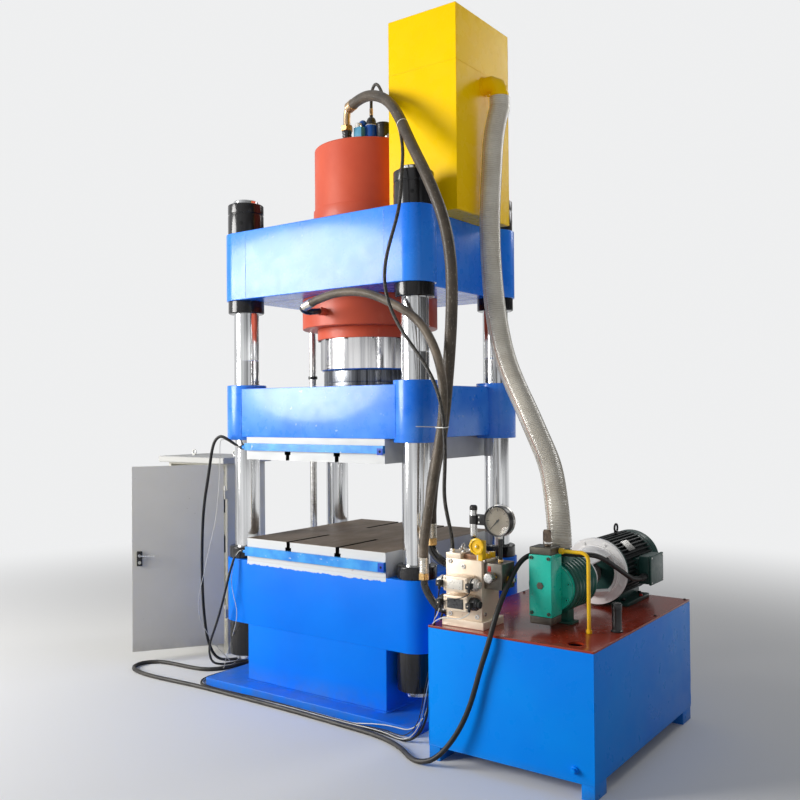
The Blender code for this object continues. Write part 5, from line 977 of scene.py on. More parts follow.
bell_bolts = [bar(0.008, flange_y - 0.006, flange_y, spot, Y, 6, 0.0008) for spot in spots(8, 0.146, AXIS, np.pi / 8)]
assemble("bell_housing_cast", [
    ring(0.066, 0.098, bell_y0, bell_y0 + 0.016, AXIS, Y, 72, 0.002),
    opened_cone(),
    ring(0.112, 0.168, flange_y, bell_y1, AXIS, Y, 96, 0.003),
    ring(0.12, 0.134, flange_y - 0.006, flange_y + 0.002, AXIS, Y, 96, 0.002),
    *bell_bolts,
], [casting_white], ["bell_housing"], angle=30)


# Motor: a finned cast housing between two end shields, on feet, with its rotor and coupling in it.
# Dark green enamel; a lifting eye and a bare rating plate on top, a pressed cover over the fan.
motor_green = finish(
    "motor_green", (0.01, 0.046, 0.04), (0.015, 0.062, 0.052), 0.34, coat=0.25, drift=8.0, grain=130.0,
    lift=0.0005, soil=0.0, speckle=0.08, speckle_colour=(0.05, 0.12, 0.1),
)
motor_black = finish(
    "motor_fins", (0.01, 0.014, 0.014), (0.016, 0.022, 0.022), 0.4, coat=0.15, drift=12.0, grain=160.0
)
motor_y0, motor_y1 = -0.0003, 0.4197
fins = 44
t = np.arange(fins * 4)
fin_angle = 2 * np.pi * (t // 4 + np.array([-0.3, -0.13, 0.13, 0.3])[t % 4]) / fins
fin_radius = np.where((t % 4 == 1) | (t % 4 == 2), 0.158, 0.142)
fin_outline = np.stack([AXIS[2] + fin_radius * np.sin(fin_angle), AXIS[0] + fin_radius * np.cos(fin_angle)], 1)[::-1]
feet = []
for x in (1.31, 1.515):
    for y in (0.066, 0.29):
        feet.append((*bar(0.01, LID_TOP + 0.022, LID_TOP + 0.034, (x + 0.043, y + 0.03, 0), steps=6, soft=0.001), 1))
eye_y, eye_z = 0.26, 0.994


def torus(centre, axis, big, small, steps=40, around=12):
    """P(i, t) = centre + (big + small cos t) out(i) + small sin t axis, out(i) turning about the axis."""
    axis, side, other = square_to(axis)
    i = np.linspace(0, 2 * np.pi, steps, endpoint=False)[:, None, None]
    t = np.linspace(0, 2 * np.pi, around, endpoint=False)[None, :, None]
    out = side * np.cos(i) + other * np.sin(i)
    points = np.asarray(centre, float) + (big + small * np.cos(t)) * out - small * np.sin(t) * axis
    return points.reshape(-1, 3), grid_faces(steps, around, loop=True)


# the bare rating plate bends with the housing: a slab whose x is turned into an angle about the axis
plate_points, plate_faces = pressed(rectangle(-0.032, 0.115, 0.032, 0.2, 0.004), 0.1583, 0.1622, 0.0004)
plate_angle = math.radians(48) - plate_points[:, 0] / 0.16
rating_plate = (
    np.stack([
        AXIS[0] + plate_points[:, 2] * np.cos(plate_angle), plate_points[:, 1],
        AXIS[2] + plate_points[:, 2] * np.sin(plate_angle),
    ], 1),
    plate_faces,
)
assemble("motor_housing_cast", [
    (*pressed(fin_outline, motor_y0 + 0.014, motor_y1 - 0.014, 0.0, [circle(0.0243, (AXIS[2], AXIS[0]), 24)],
              axis="Y"), 2),
    ring(0.0243, 0.161, motor_y0, motor_y0 + 0.03, AXIS, Y, 96, 0.004),
    ring(0.0243, 0.155, motor_y1 - 0.03, motor_y1, AXIS, Y, 96, 0.004),
    slab((1.31, 0.06, LID_TOP + CLEAR), (1.6, 0.36, LID_TOP + 0.0223), 0.003, 0.01),
    slab((1.365, 0.07, LID_TOP + 0.01), (1.545, 0.35, 0.734), 0.003),
    slab((1.5686, 0.15, 0.75), (1.625, 0.29, 0.86), 0.004),
    *feet,
    (*bar(0.012, 0.955, 0.974, (AXIS[0], eye_y, 0), steps=20, soft=0.001), 1),
    (*torus((AXIS[0], eye_y, eye_z), (1, 0, 0), 0.0205, 0.0055), 1),
    (*rating_plate, 3),
    (*bar(0.009, LID_TOP + 0.021, LID_TOP + 0.031, (1.588, 0.262, 0), steps=16, soft=0.002), 4),
],
    [
        motor_green, blackened, motor_black, bright_steel,
        finish("red_plug", (0.55, 0.03, 0.02), (0.45, 0.02, 0.02), 0.4),
    ],
    ["motor_housing"], angle=30)
coupling_iron = finish("coupling_iron", (0.09, 0.085, 0.08), (0.14, 0.13, 0.12), 0.4, metal=0.6, drift=18.0)
rubber_star = finish("coupling_rubber", (0.25, 0.04, 0.02), (0.2, 0.03, 0.02), 0.55, drift=18.0)
coupling_y, hub_y = -0.24 + 0.5 * (0.2394 - 0.024 - 0.11), 0.4477
rotor = [
    (0, -0.2397), (0.0192, -0.2397), (0.0192, coupling_y), (0.058, coupling_y), (0.058, coupling_y + 0.046),
    (0.05, coupling_y + 0.048), (0.05, coupling_y + 0.062), (0.058, coupling_y + 0.064),
    (0.058, coupling_y + 0.11), (0.024, coupling_y + 0.11), (0.024, hub_y), (0, hub_y),
]
blades = []
for k in range(9):
    a = 2 * np.pi * k / 9
    along, across = np.array([math.cos(a), 0, math.sin(a)]), np.array([-math.sin(a), 0, math.cos(a)])
    verts, faces = slab((0.026, -0.0025, 0.0), (0.119, 0.0025, 0.02), 0.001)
    spun = np.array(AXIS) + verts[:, :1] * along + verts[:, 1:2] * across + np.array([0, hub_y, 0])
    spun = spun - np.outer(verts[:, 2] - 0.0215, (0, -1, 0))
    blades.append((spun, [face[::-1] for face in faces], 2))
jaws = [
    (*bar(0.004, coupling_y + 0.04, coupling_y + 0.07, spot, Y, 12, 0.0005), 1)
    for spot in spots(6, 0.0535, AXIS, np.pi / 6)
]
assemble("rotor_with_coupling", [
    lathe(rotor, AXIS, Y, 48, 0.0012),
    (*ring(0.0243, 0.034, hub_y - 0.002, hub_y + 0.022, AXIS, Y, 32, 0.001), 2),
    *jaws, *blades,
], [coupling_iron, rubber_star, black_paint], ["motor_rotor"], body="rotor_body")


def grille(y, steps=80):
    """Concentric wire rings and eight spokes of a fan cover's end, each ring a thin torus."""
    parts = [torus((AXIS[0], y, AXIS[2]), Y, radius, 0.0016, steps, 6) for radius in np.arange(0.03, 0.135, 0.0135)]
    for k in range(8):
        a = 2 * np.pi * k / 8 + 0.2
        line = [(AXIS[0] + r * math.cos(a), y, AXIS[2] + r * math.sin(a)) for r in np.linspace(0.02, 0.136, 6)]
        parts.append(tube(line, 0.0022, 6))
    return parts


cover_end = motor_y1 + 0.08
cover = [
    (0.136, cover_end), (0.152, cover_end - 0.006), (0.156, cover_end - 0.02), (0.156, motor_y1 + CLEAR),
    (0.152, motor_y1 + CLEAR), (0.152, cover_end - 0.02), (0.148, cover_end - 0.01), (0.134, cover_end - 0.004),
]
assemble("fan_cover_pressed", [
    lathe(cover, AXIS, Y, 96, 0.002),
    bar(0.024, cover_end - 0.004, cover_end - 0.001, AXIS, Y, 32, 0.001),
    *grille(cover_end - 0.0035),
], motor_green, ["fan_cover"], angle=30)
box_x, box_y, box_z = 1.6253, 0.13, 0.73
lid_x = box_x + 0.056
box_screws = [
    (*bar(0.0045, 0.0, 0.0025, (box_x + 0.0678, y, z), (1, 0, 0), 10, 0.0005), 1)
    for y in (box_y + 0.012, box_y + 0.168) for z in (box_z + 0.012, box_z + 0.138)
]
gland_nut = [(0, 0.1), (0.019, 0.1), (0.019, 0.116), (0.0165, 0.118), (0.0165, 0.14), (0, 0.14)]
assemble("terminal_box_cast", [
    slab((box_x, box_y + 0.004, box_z + 0.004), (lid_x, box_y + 0.176, box_z + 0.146), 0.006),
    slab((lid_x - 0.001, box_y, box_z), (box_x + 0.0685, box_y + 0.18, box_z + 0.15), 0.004),
    *box_screws,
    (*lathe(gland_nut, (1.66, 0, 0.775), Y, 12, 0.001), 2),
], [motor_green, bright_steel, black_paint], ["terminal_box"])


# Lid fittings: the black breather post, and the pump's drain pipe, bent tube painted yellow with a
# union nut at each end.
breather = [
    (0, LID_TOP + CLEAR), (0.0275, LID_TOP + CLEAR), (0.0275, LID_TOP + 0.0063), (0.022, LID_TOP + 0.0083),
    (0.022, LID_TOP + 0.1003), (0.0235, LID_TOP + 0.1013), (0.0235, LID_TOP + 0.1263), (0.0195, LID_TOP + 0.1303),
    (0, LID_TOP + 0.1303),
]
assemble("breather_turned", [lathe(breather, (1.744, -0.447, 0), steps=40)], blackened, ["breather_post"])
yellow_pipe = finish("yellow_pipe", (0.88, 0.5, 0.006), (0.92, 0.6, 0.01), 0.3, coat=0.3, drift=14.0, grain=200.0)
bend = np.linspace(0, np.pi / 2, 12)
pipe_line = [(1.5123, -0.545, 0.982), (1.545, -0.545, 0.982), (1.59, -0.545, 0.982)]
pipe_line += [(1.653 - 0.035 * (1 - math.sin(a)), -0.545, 0.982 - 0.035 * (1 - math.cos(a))) for a in bend]
pipe_line += [(1.653, -0.545, z) for z in (0.9, 0.8, 0.7, LID_TOP + CLEAR)]
assemble("drain_pipe_bent", [
    tube(pipe_line, 0.0088, 24),
    (*lathe([(0, 1.5123), (0.015, 1.5123), (0.015, 1.53), (0.012, 1.534), (0, 1.534)],
            (0, -0.545, 0.982), (1, 0, 0), 6, 0.0008), 0),
    (*lathe([(0, LID_TOP + CLEAR), (0.0145, LID_TOP + CLEAR), (0.0145, LID_TOP + 0.016), (0, LID_TOP + 0.016)],
            (1.653, -0.545, 0), (0, 0, 1), 6, 0.0008), 0),
], yellow_pipe, ["drain_pipe"], angle=40)


# Valve manifold: a milled steel block, nickel plated, that carries the press's valves. Screws and a
# lifting eye on top, a port for the pilot hose, and the yellow body of the gauge's shut-off.
nickel = finish(
    "nickel_plated_block", (0.9, 0.77, 0.62), (0.8, 0.66, 0.5), 0.34, metal=0.25, coat=0.1, drift=9.0,
    grain=260.0, lift=0.0002, speckle=0.25, speckle_colour=(0.34, 0.27, 0.2),
)
yellow_part = finish("yellow_fittings", (0.8, 0.46, 0.005), (0.88, 0.56, 0.01), 0.34, coat=0.2, drift=18.0)
rust_brown = finish("rusted_pocket", (0.3, 0.16, 0.09), (0.2, 0.11, 0.07), 0.45, metal=0.3, drift=24.0, speckle=0.4)
x0, x1, y0, y1, z0 = 1.03, 1.225, -0.76, -0.6, LID_TOP + CLEAR
MANIFOLD_TOP = LID_TOP + 0.34
top_screws = [
    (*ring(0.0035, 0.0075, MANIFOLD_TOP - 0.001, MANIFOLD_TOP + 0.008, (x, y, 0), steps=20, soft=0.001), 1)
    for x in (1.044, 1.098) for y in (-0.65, -0.614)
]
side_screws = [
    (*ring(0.004, 0.009, 0.0, 0.006, (x1, y, z), (1, 0, 0), 20, 0.001), 1)
    for y, z in ((-0.735, 0.935), (-0.625, 0.935), (-0.735, 0.69), (-0.625, 0.69))
]
rust_block = slab(
    (x1 - 0.036, y0 + 0.012, MANIFOLD_TOP - 0.028), (x1 - 0.002, y0 + 0.048, MANIFOLD_TOP + 0.065), 0.004
)
face_plugs = [
    (*ring(0.005, 0.012, 0.0, 0.004, (x, y0, z), (0, -1, 0), 6, 0.001), 1)
    for x, z in ((1.055, 0.925), (1.055, 0.68), (1.2, 0.68), (1.128, 0.905))
]
assemble("manifold_block", [
    slab((x0, y0, z0 + 0.01), (x1, y1, MANIFOLD_TOP - 0.026), 0.003),
    slab((x0, y0, MANIFOLD_TOP - 0.028), (1.112, y1, MANIFOLD_TOP), 0.003),
    slab((x0 - 0.015, y0 - 0.015, z0), (x1 + 0.015, y1 + 0.015, z0 + 0.036), 0.0025),
    (*slab((1.114, -0.735, MANIFOLD_TOP - 0.028), (1.186, -0.604, MANIFOLD_TOP - 0.004), 0.003), 3),
    (*bar(0.014, MANIFOLD_TOP - 0.002, MANIFOLD_TOP + 0.015, (1.052, -0.735, 0), steps=6, soft=0.001), 1),
    (*rust_block, 2),
    (*bar(0.012, 0.0, 0.012, (x1 - 0.019, y0 + 0.048, MANIFOLD_TOP + 0.042), (0, 1, 0), 6, 0.001), 1),
    (*bar(0.01, MANIFOLD_TOP, MANIFOLD_TOP + 0.01, (1.1, -0.715, 0), steps=20), 1),
    (*torus((1.1, -0.715, MANIFOLD_TOP + 0.024), (1, 0, 0), 0.0145, 0.0042, 32, 10), 1),
    (*bar(0.017, MANIFOLD_TOP - 0.028, MANIFOLD_TOP - 0.002, (1.205, -0.628, 0), steps=6, soft=0.001), 2),
    (*bar(0.017, MANIFOLD_TOP - 0.028, MANIFOLD_TOP - 0.002, (1.205, -0.672, 0), steps=6, soft=0.001), 2),
    (*bar(0.007, MANIFOLD_TOP - 0.03, MANIFOLD_TOP + 0.012, (1.196, -0.742, 0), steps=16, soft=0.001), 4),
    *top_screws, *side_screws, *face_plugs,
], [nickel, bright_steel, yellow_part, rust_brown, white_plastic], ["manifold"])


# Solenoid valves: cast bodies on the manifold's face, a coil with a knurled end nut on each side and
# a black plug on each coil.
plug_black = finish("moulded_plug", (0.016, 0.016, 0.016), (0.03, 0.03, 0.03), 0.48, drift=20.0, grain=400.0)
coil_metal = finish(
    "coil_cans", (0.8, 0.76, 0.69), (0.66, 0.62, 0.55), 0.3, metal=0.45, drift=16.0, speckle=0.06,
    speckle_colour=(0.18, 0.16, 0.14),
)
dark_cans = finish(
    "dark_coil_cans", (0.045, 0.045, 0.048), (0.11, 0.11, 0.11), 0.28, metal=0.5, drift=16.0, speckle=0.06,
    speckle_colour=(0.35, 0.33, 0.3),
)
for name, low_z, cans in (
    ("solenoid_valve_upper", LID_TOP + 0.176, coil_metal), ("solenoid_valve_lower", LID_TOP + 0.088, dark_cans)
):
    mid_x, mid_y, mid_z = 1.1275, -0.7995, low_z + 0.035
    shapes = [
        slab((1.0625, -0.835, low_z), (1.1925, -0.7603, low_z + 0.07), 0.004),
        (*slab((1.085, -0.839, low_z + 0.012), (1.17, -0.833, low_z + 0.058), 0.002), 1),
    ]
    can = [
        (0, 0.06), (0.029, 0.06), (0.029, 0.094), (0.024, 0.096), (0.024, 0.102), (0.017, 0.103),
        (0.017, 0.1135), (0, 0.1135),
    ]
    for sign in (-1, 1):
        shapes.append((*lathe(can, (mid_x, mid_y, mid_z), (sign, 0, 0), 40, 0.001), 1))
        shapes.append((*ring(0.0285, 0.0298, 0.074, 0.082, (mid_x, mid_y, mid_z), (sign, 0, 0), 40, 0.0004), 2))
        plug_x = mid_x + sign * 0.08
        coil_plug = slab((plug_x - 0.013, -0.858, mid_z - 0.013), (plug_x + 0.013, -0.826, mid_z + 0.013), 0.003)
        shapes.append((*coil_plug, 2))
        shapes.append((*bar(0.0065, 0.0, 0.016, (plug_x, -0.845, mid_z - 0.012), (0, 0, -1), 12, 0.001), 2))
        shapes.append((*bar(0.003, 0.0, 0.002, (plug_x, -0.858, mid_z), (0, -1, 0), 10, 0.0), 0))
    for x in (1.072, 1.183):
        for z in (low_z + 0.01, low_z + 0.06):
            shapes.append((*bar(0.0045, 0.0, 0.003, (x, -0.835, z), (0, -1, 0), 12, 0.0005), 0))
    assemble(f"{name}_with_plugs", shapes, [nickel, cans, plug_black], [name])


# Relief valve: a steel body on the manifold's side with its setting knob, a locknut and a capped
# cartridge; the gauge's stem rises from it.
relief_low, relief_high = (1.2253, -0.74, 0.809), (1.3193, -0.62, 0.929)
relief_steel = finish(
    "relief_body", (0.1, 0.095, 0.085), (0.2, 0.18, 0.15), 0.34, metal=0.7, drift=14.0, speckle=0.3,
    speckle_colour=(0.42, 0.36, 0.28),
)
knob_at = (1.2723, -0.74, 0.869)
setting = [(0, 0.0), (0.017, 0.0), (0.017, 0.01), (0.022, 0.012), (0.022, 0.046), (0.019, 0.05), (0, 0.05)]
ridges = [bar(0.0022, -0.786, -0.754, spot, Y, 6, 0.0) for spot in spots(18, 0.021, knob_at)]
assemble("relief_valve_body", [
    slab(relief_low, relief_high, 0.004),
    (*lathe(setting, knob_at, (0, -1, 0), 36, 0.001), 1),
    *[(*shape, 1) for shape in ridges],
    (*bar(0.019, 0.0, 0.01, knob_at, (0, -1, 0), 6, 0.001), 2),
    (*bar(0.017, 0.0, 0.018, (1.3193, -0.68, 0.852), (1, 0, 0), 6, 0.001), 2),
    (*bar(0.011, 0.018, 0.036, (1.3193, -0.68, 0.852), (1, 0, 0), 20, 0.002), 1),
    (*bar(0.014, relief_high[2], relief_high[2] + 0.012, (1.283, -0.687, 0), steps=6, soft=0.001), 3),
    (*slab((1.245, -0.742, 0.89), (1.262, -0.7395, 0.915), 0.0008), 4),
],
    [relief_steel, bright_steel, yellow_part, finish("brass_nuts", (0.7, 0.46, 0.2), (0.56, 0.36, 0.15), 0.28,
     metal=1.0, drift=30.0, speckle=0.2, speckle_colour=(0.3, 0.2, 0.1)), finish("red_tag", (0.5, 0.03, 0.02),
     (0.42, 0.03, 0.02), 0.4)],
    ["relief_valve"])
brass = bpy.data.materials["brass_nuts"]


# Pressure gauge: a black case with a bright rim behind, a dial with ticks round three quarters of a
# turn, the needle, and a glass. It stands on its stem beside a post that steadies it.
gauge = np.array((1.283, -0.72, 1.12))
glass = bpy.data.materials.new("gauge_glass")
glass.use_nodes = True
pane = glass.node_tree.nodes["Principled BSDF"]
clear = {"Base Color": (0.97, 0.97, 0.96, 1), "Roughness": 0.03, "Transmission Weight": 1.0, "IOR": 1.45}
for socket, value in clear.items():
    pane.inputs[socket].default_value = value
# the dial's own beige, painted darker as the reflection of dark surroundings in the gauge's glass
dial_paper_and_painted_reflection = finish("dial_plate_with_painted_reflection", (0.42, 0.36, 0.27), (0.34, 0.29, 0.22), 0.55, drift=14.0, grain=300.0, lift=0.00005)
dial_ink = finish("dial_marks", (0.012, 0.012, 0.012), (0.02, 0.02, 0.02), 0.6, drift=14.0)
case = [
    (0, 0.055), (0.06, 0.055), (0.062, 0.05), (0.071, 0.049), (0.071, 0.0), (0.0695, -0.001), (0.0645, 0.0),
    (0.064, 0.012), (0, 0.012),
]
marks = []
for k in range(31):
    a = math.radians(225 - 9 * k)
    long = 0.014 if k % 5 == 0 else 0.008
    half = 0.0018 if k % 5 == 0 else 0.0009
    out = np.array([math.cos(a), 0, math.sin(a)])
    across = np.array([-math.sin(a), 0, math.cos(a)])
    near = gauge + (0.0575 - long) * out + np.array([0, 0.011, 0])
    far_end = gauge + 0.0575 * out + np.array([0, 0.011, 0])
    corners8 = np.array([
        p + s * half * across + np.array([0, d, 0]) for d in (0.0, -0.0004) for p, s in
        ((near, -1), (far_end, -1), (far_end, 1), (near, 1))
    ])
    marks.append((corners8, [[0, 3, 2, 1], [4, 5, 6, 7], [0, 1, 5, 4], [1, 2, 6, 5], [2, 3, 7, 6], [3, 0, 4, 7]], 2))
assemble("gauge_with_dial", [
    lathe([(r, -h) for r, h in case], gauge, (0, -1, 0), 72, 0.0012),
    (*ring(0.0702, 0.0735, 0.03, 0.046, gauge, Y, 72, 0.002), 3),
    (*bar(0.0635, 0.0112, 0.0122, gauge, Y, 64, 0.0), 1),
    *marks,
    (*bar(0.009, 0.929 + 0.01, 1.0642, (1.283, -0.687, 0), steps=24), 0),
    (*bar(0.013, 1.036, 1.056, (1.283, -0.687, 0), steps=6, soft=0.001), 3),
], [black_paint, dial_paper_and_painted_reflection, dial_ink, bright_steel], ["gauge_case"], angle=32)
assemble("gauge_window", [bar(0.064, 0.0012, 0.0035, gauge, Y, 64, 0.0004)], glass)
needle_black = finish("needle_black", (0.01, 0.01, 0.01), (0.02, 0.02, 0.02), 0.45, drift=20.0)
lean_angle = math.radians(135)
needle_plan = np.array(
    [(-0.003, -0.012), (0.003, -0.012), (0.003, 0.0), (0.0007, 0.05), (-0.0007, 0.05), (-0.003, 0.0)]
)
spin = np.array([(math.cos(lean_angle), -math.sin(lean_angle)), (math.sin(lean_angle), math.cos(lean_angle))])
needle_xz = needle_plan @ spin.T + gauge[[0, 2]]
needle_shape = pressed(needle_xz[::-1][:, ::-1], -0.7133, -0.7113, 0.0004, axis="Y")
assemble(
    "needle_with_hub", [needle_shape, bar(0.0055, -0.715, -0.7114, (gauge[0], 0, gauge[2]), Y, 24, 0.0008)],
    needle_black, ["gauge_needle"], body="needle_body",
)
post_at = (1.155, -0.712, 0)
post_shapes = [
    bar(0.012, 0.9643, 1.0423, post_at, steps=24),
    (*lathe([(0, 1.042), (0.015, 1.042), (0.017, 1.045), (0.017, 1.165), (0, 1.165)], post_at, steps=32), 1),
    lathe([(0, 1.164), (0.0185, 1.164), (0.0185, 1.179), (0.013, 1.1873), (0, 1.1873)], post_at, steps=32),
    slab((1.155, -0.712, 1.095), (1.2117, -0.696, 1.145), 0.003),
    (*bar(0.004, 0.0, 0.004, (1.186, -0.712, 1.132), (0, -1, 0), 12, 0.0005), 1),
    (*bar(0.004, 0.0, 0.004, (1.186, -0.712, 1.108), (0, -1, 0), 12, 0.0005), 1),
    ring(0.0165, 0.0195, 1.1, 1.14, post_at, steps=32, soft=0.001),
]
assemble("gauge_post_clamped", post_shapes, [black_paint, bright_steel], ["gauge_post"])


# Shut-off handwheel: a small moulded wheel on its spindle, yellow, with scalloped grips.
wheel_at = (1.207, 0, 1.006)
wheel_profile = [
    (0, -0.7793), (0.01, -0.7793), (0.01, -0.7738), (0.027, -0.7738), (0.029, -0.7793), (0.038, -0.7763),
    (0.038, -0.7663), (0.029, -0.7633), (0.027, -0.7688), (0.01, -0.7688), (0.01, -0.7633), (0.006, -0.7633),
    (0.006, -0.7483), (0, -0.7483),
]
grips = [bar(0.0048, -0.7785, -0.7641, spot, Y, 14, 0.0012) for spot in spots(8, 0.035, wheel_at)]
assemble(
    "handwheel_moulded",
    [lathe(wheel_profile, wheel_at, Y, 48, 0.0012), *grips, (*bar(0.005, -0.7815, -0.779, wheel_at, Y, 6, 0.0006), 1)],
    [yellow_part, bright_steel], ["handwheel"], body="wheel_body",
)


# Control cabinet: a folded sheet body with a lid, feet and hinges; its door stands ajar. Grey-beige
# powder coat, handled and a little stained; a darker band runs round the lid's rim.
cabinet_grey = finish(
    "cabinet_powder_coat", (0.7, 0.68, 0.6), (0.64, 0.62, 0.54), 0.42, drift=2.4, grain=420.0, lift=0.00025,
    speckle=0.08, speckle_colour=(0.36, 0.3, 0.22), soil=0.2, soil_colour=(0.26, 0.24, 0.21),
    band=(1.283, 1.4, (0.5, 0.5, 0.48), 0.0002, 9.0),
)
door_grey = finish(
    "door_powder_coat", (0.86, 0.83, 0.75), (0.8, 0.77, 0.69), 0.42, drift=1.7, grain=420.0, lift=0.00025,
    speckle=0.14, speckle_colour=(0.33, 0.26, 0.17), soil=0.16, soil_colour=(0.28, 0.25, 0.21),
)
for piece, material in (("cabinet_body", cabinet_grey), ("cabinet_door", door_grey)):
    nodes[piece].data.materials.clear()
    nodes[piece].data.materials.append(material)
zinc = finish("zinc_plate", (0.62, 0.62, 0.58), (0.52, 0.52, 0.49), 0.33, metal=0.9, drift=22.0, grain=300.0)
eyes = []
for x in (-1.66, -1.24):
    eyes.append(bar(0.014, 1.3245, 1.3285, (x, 0.05, 0), steps=24, soft=0.001))
    eyes.append(torus((x, 0.05, 1.3455), Y, 0.0165, 0.0048, 36, 12))
assemble("cabinet_lifting_eyes", eyes, zinc)
hinge_pivot = np.array((-1.146, -0.133, 0.0))
swing = math.radians(54.4)


def swung(shape, tag=None):
    """Turns a shape drawn about the closed door's hinge by the door's resting angle about Z."""
    verts = shape[0]
    c, s = math.cos(swing), math.sin(swing)
    turned = np.stack([verts[:, 0] * c - verts[:, 1] * s, verts[:, 0] * s + verts[:, 1] * c, verts[:, 2]], 1)
    tags = shape[2:] if tag is None else (tag,)
    return (turned + hinge_pivot, shape[1], *tags)


door_left, door_right = -0.6, -0.008
lock_x, lock_y = door_left + 0.046, 0.002 - 0.01
door_details = [
    swung(slab((lock_x - 0.0175, lock_y - 0.0012, 0.6315), (lock_x + 0.0175, 0.0035, 0.7285), 0.003)),
    swung(ring(0.006, 0.0105, 0.0, 0.004, (lock_x, lock_y - 0.001, 0.655), (0, -1, 0), 24, 0.0008), 1),
    swung(bar(0.0062, 0.0, 0.0022, (lock_x, lock_y - 0.001, 0.655), (0, -1, 0), 20, 0.0005), 1),
    swung(slab((door_left + 0.004, 0.0052, 0.09), (door_left + 0.018, 0.016, 1.266), 0.002), 2),
    swung(slab((door_right - 0.018, 0.0052, 0.09), (door_right - 0.004, 0.016, 1.266), 0.002), 2),
    swung(slab((door_left + 0.018, 0.0052, 1.252), (door_right - 0.018, 0.016, 1.266), 0.002), 2),
    swung(slab((door_left + 0.018, 0.0052, 0.09), (door_right - 0.018, 0.016, 0.104), 0.002), 2),
    swung(slab((door_left + 0.2, 0.005, 0.16), (door_left + 0.225, 0.02, 1.2), 0.002), 1),
]
assemble("door_lock_and_seal", door_details, [black_paint, zinc, plug_black], body="door_body")
lever_z = 0.68 + 0.2 * 0.096
pivot_y = lock_y - CLEAR
reach_t = np.linspace(0, 1, 14)
lever_line = np.stack([
    lock_x - 0.006 + 0.099 * reach_t, pivot_y - 0.0255 + 0.004 * np.sin(np.pi * reach_t), lever_z - 0.003 * reach_t**2,
], 1)
lever_r = 0.0068 - 0.0022 * np.sin(np.pi * np.clip(reach_t * 1.15, 0, 1)) + 0.0006 * reach_t
assemble("door_lever_forged", [
    swung(tube(lever_line, lever_r, 20)),
    swung(bar(0.0072, 0.0, 0.026, (lock_x, pivot_y, lever_z), (0, -1, 0), 24, 0.001)),
    swung(bar(0.0105, 0.0, 0.004, (lock_x, pivot_y, lever_z), (0, -1, 0), 24, 0.001)),
], [chrome], ["door_lever"], body="lever_body")
panel_y, centre_x = 0.2297, -1.45
gear = (
    (-0.22, -0.06, 0.08, 0.9, 1.06), (0.0, 0.08, 0.075, 0.92, 1.04), (0.12, 0.2, 0.075, 0.92, 1.04),
    (-0.22, -0.14, 0.095, 0.62, 0.74), (-0.1, -0.02, 0.095, 0.62, 0.74), (0.02, 0.1, 0.095, 0.62, 0.74),
    (-0.22, 0.22, 0.045, 0.28, 0.33),
)
switchgear = [slab((centre_x - 0.26, panel_y, 0.156), (centre_x + 0.26, panel_y + 0.008, 1.2), 0.001)]
for k, (left, right, deep, low, high) in enumerate(gear):
    a, b, middle = centre_x + left, centre_x + right, centre_x + (left + right) / 2
    front = panel_y - deep
    case = slab((a, front + 0.012, low), (b, panel_y + 0.001, high), 0.003)
    switchgear.append((*case, 1 if k in (0, 3, 4, 5) else 2))
    switchgear.append((*slab((a + 0.008, front, low + 0.022), (b - 0.008, front + 0.014, high - 0.022), 0.003),
                       2 if k in (0, 3, 4, 5) else 1))
    if k < 6:
        switchgear.append((*slab((middle - 0.008, front - 0.006, (low + high) / 2 - 0.008),
                                 (middle + 0.008, front + 0.002, (low + high) / 2 + 0.008), 0.002), 3))
        for n in range(3):
            for z in (low + 0.011, high - 0.011):
                across = a + (n + 0.5) * (b - a) / 3
                switchgear.append((*bar(0.004, 0.0, 0.003, (across, front + 0.012, z), (0, -1, 0), 10, 0.0004), 0))
    else:
        for n in range(30):
            x = a + 0.012 + n * (b - a - 0.024) / 29
            switchgear.append((*bar(0.0035, 0.0, 0.002, (x, front, (low + high) / 2), (0, -1, 0), 8, 0.0), 0))
assemble(
    "mounting_plate_and_switchgear", switchgear,
    [zinc, plug_black, finish("device_grey", (0.58, 0.58, 0.55), (0.52, 0.52, 0.5), 0.45, drift=14.0),
     finish("device_red", (0.5, 0.03, 0.02), (0.42, 0.03, 0.02), 0.4)], ["gear_plate"],
)


# Limit-switch rail: a drawn steel tube on three welded brackets at the left, with set collars.
rail_x, rail_y = -0.7, 0.26
rail_shapes = [
    lathe(
        [(0.019, 0.52), (0.0225, 0.52), (0.0225, 2.661), (0.019, 2.661)], (rail_x, rail_y, 0), steps=40, soft=0.001
    ),
    (*bar(0.0188, 2.654, 2.6605, (rail_x, rail_y, 0), steps=32), 1),
    (*bar(0.0188, 0.5205, 0.527, (rail_x, rail_y, 0), steps=32), 1),
]
for wall, z in ((-0.6453, 0.652), (-0.6553, 2.3845), (-0.6553, 2.591)):
    bracket = slab((rail_x + 0.012, rail_y - 0.017, z - 0.03), (wall, rail_y + 0.017, z + 0.03), 0.002)
    rail_shapes.append((*bracket, 1))
    rail_shapes.append((*ring(0.0223, 0.029, z - 0.026, z + 0.026, (rail_x, rail_y, 0), steps=40), 1))
for z in (1.32, 1.86):
    rail_shapes.append((*ring(0.0223, 0.031, z - 0.01, z + 0.01, (rail_x, rail_y, 0), steps=40), 2))
azure = finish("azure_enamel", (0.0, 0.165, 0.82), (0.0, 0.2, 0.9), 0.32, coat=0.1, grain=190.0, lift=0.00025)
assemble("switch_rail", rail_shapes, [bright_steel, azure, blackened], ["limit_rail"])


# Hose fittings: swaged ferrules, hexagon union nuts and bent adapters, at both ends of the two big
# hoses. The adapters are black-oxide, the nuts brass, the ferrules zinc plated.
glossy_black = finish(
    "black_oxide_elbow", (0.012, 0.012, 0.013), (0.035, 0.033, 0.03), 0.2, metal=0.3, coat=0.6, drift=26.0
)
ferrule_metal = finish(
    "zinc_ferrule", (0.7, 0.66, 0.58), (0.55, 0.5, 0.42), 0.27, metal=0.9, drift=26.0, speckle=0.15,
    speckle_colour=(0.36, 0.28, 0.18),
)


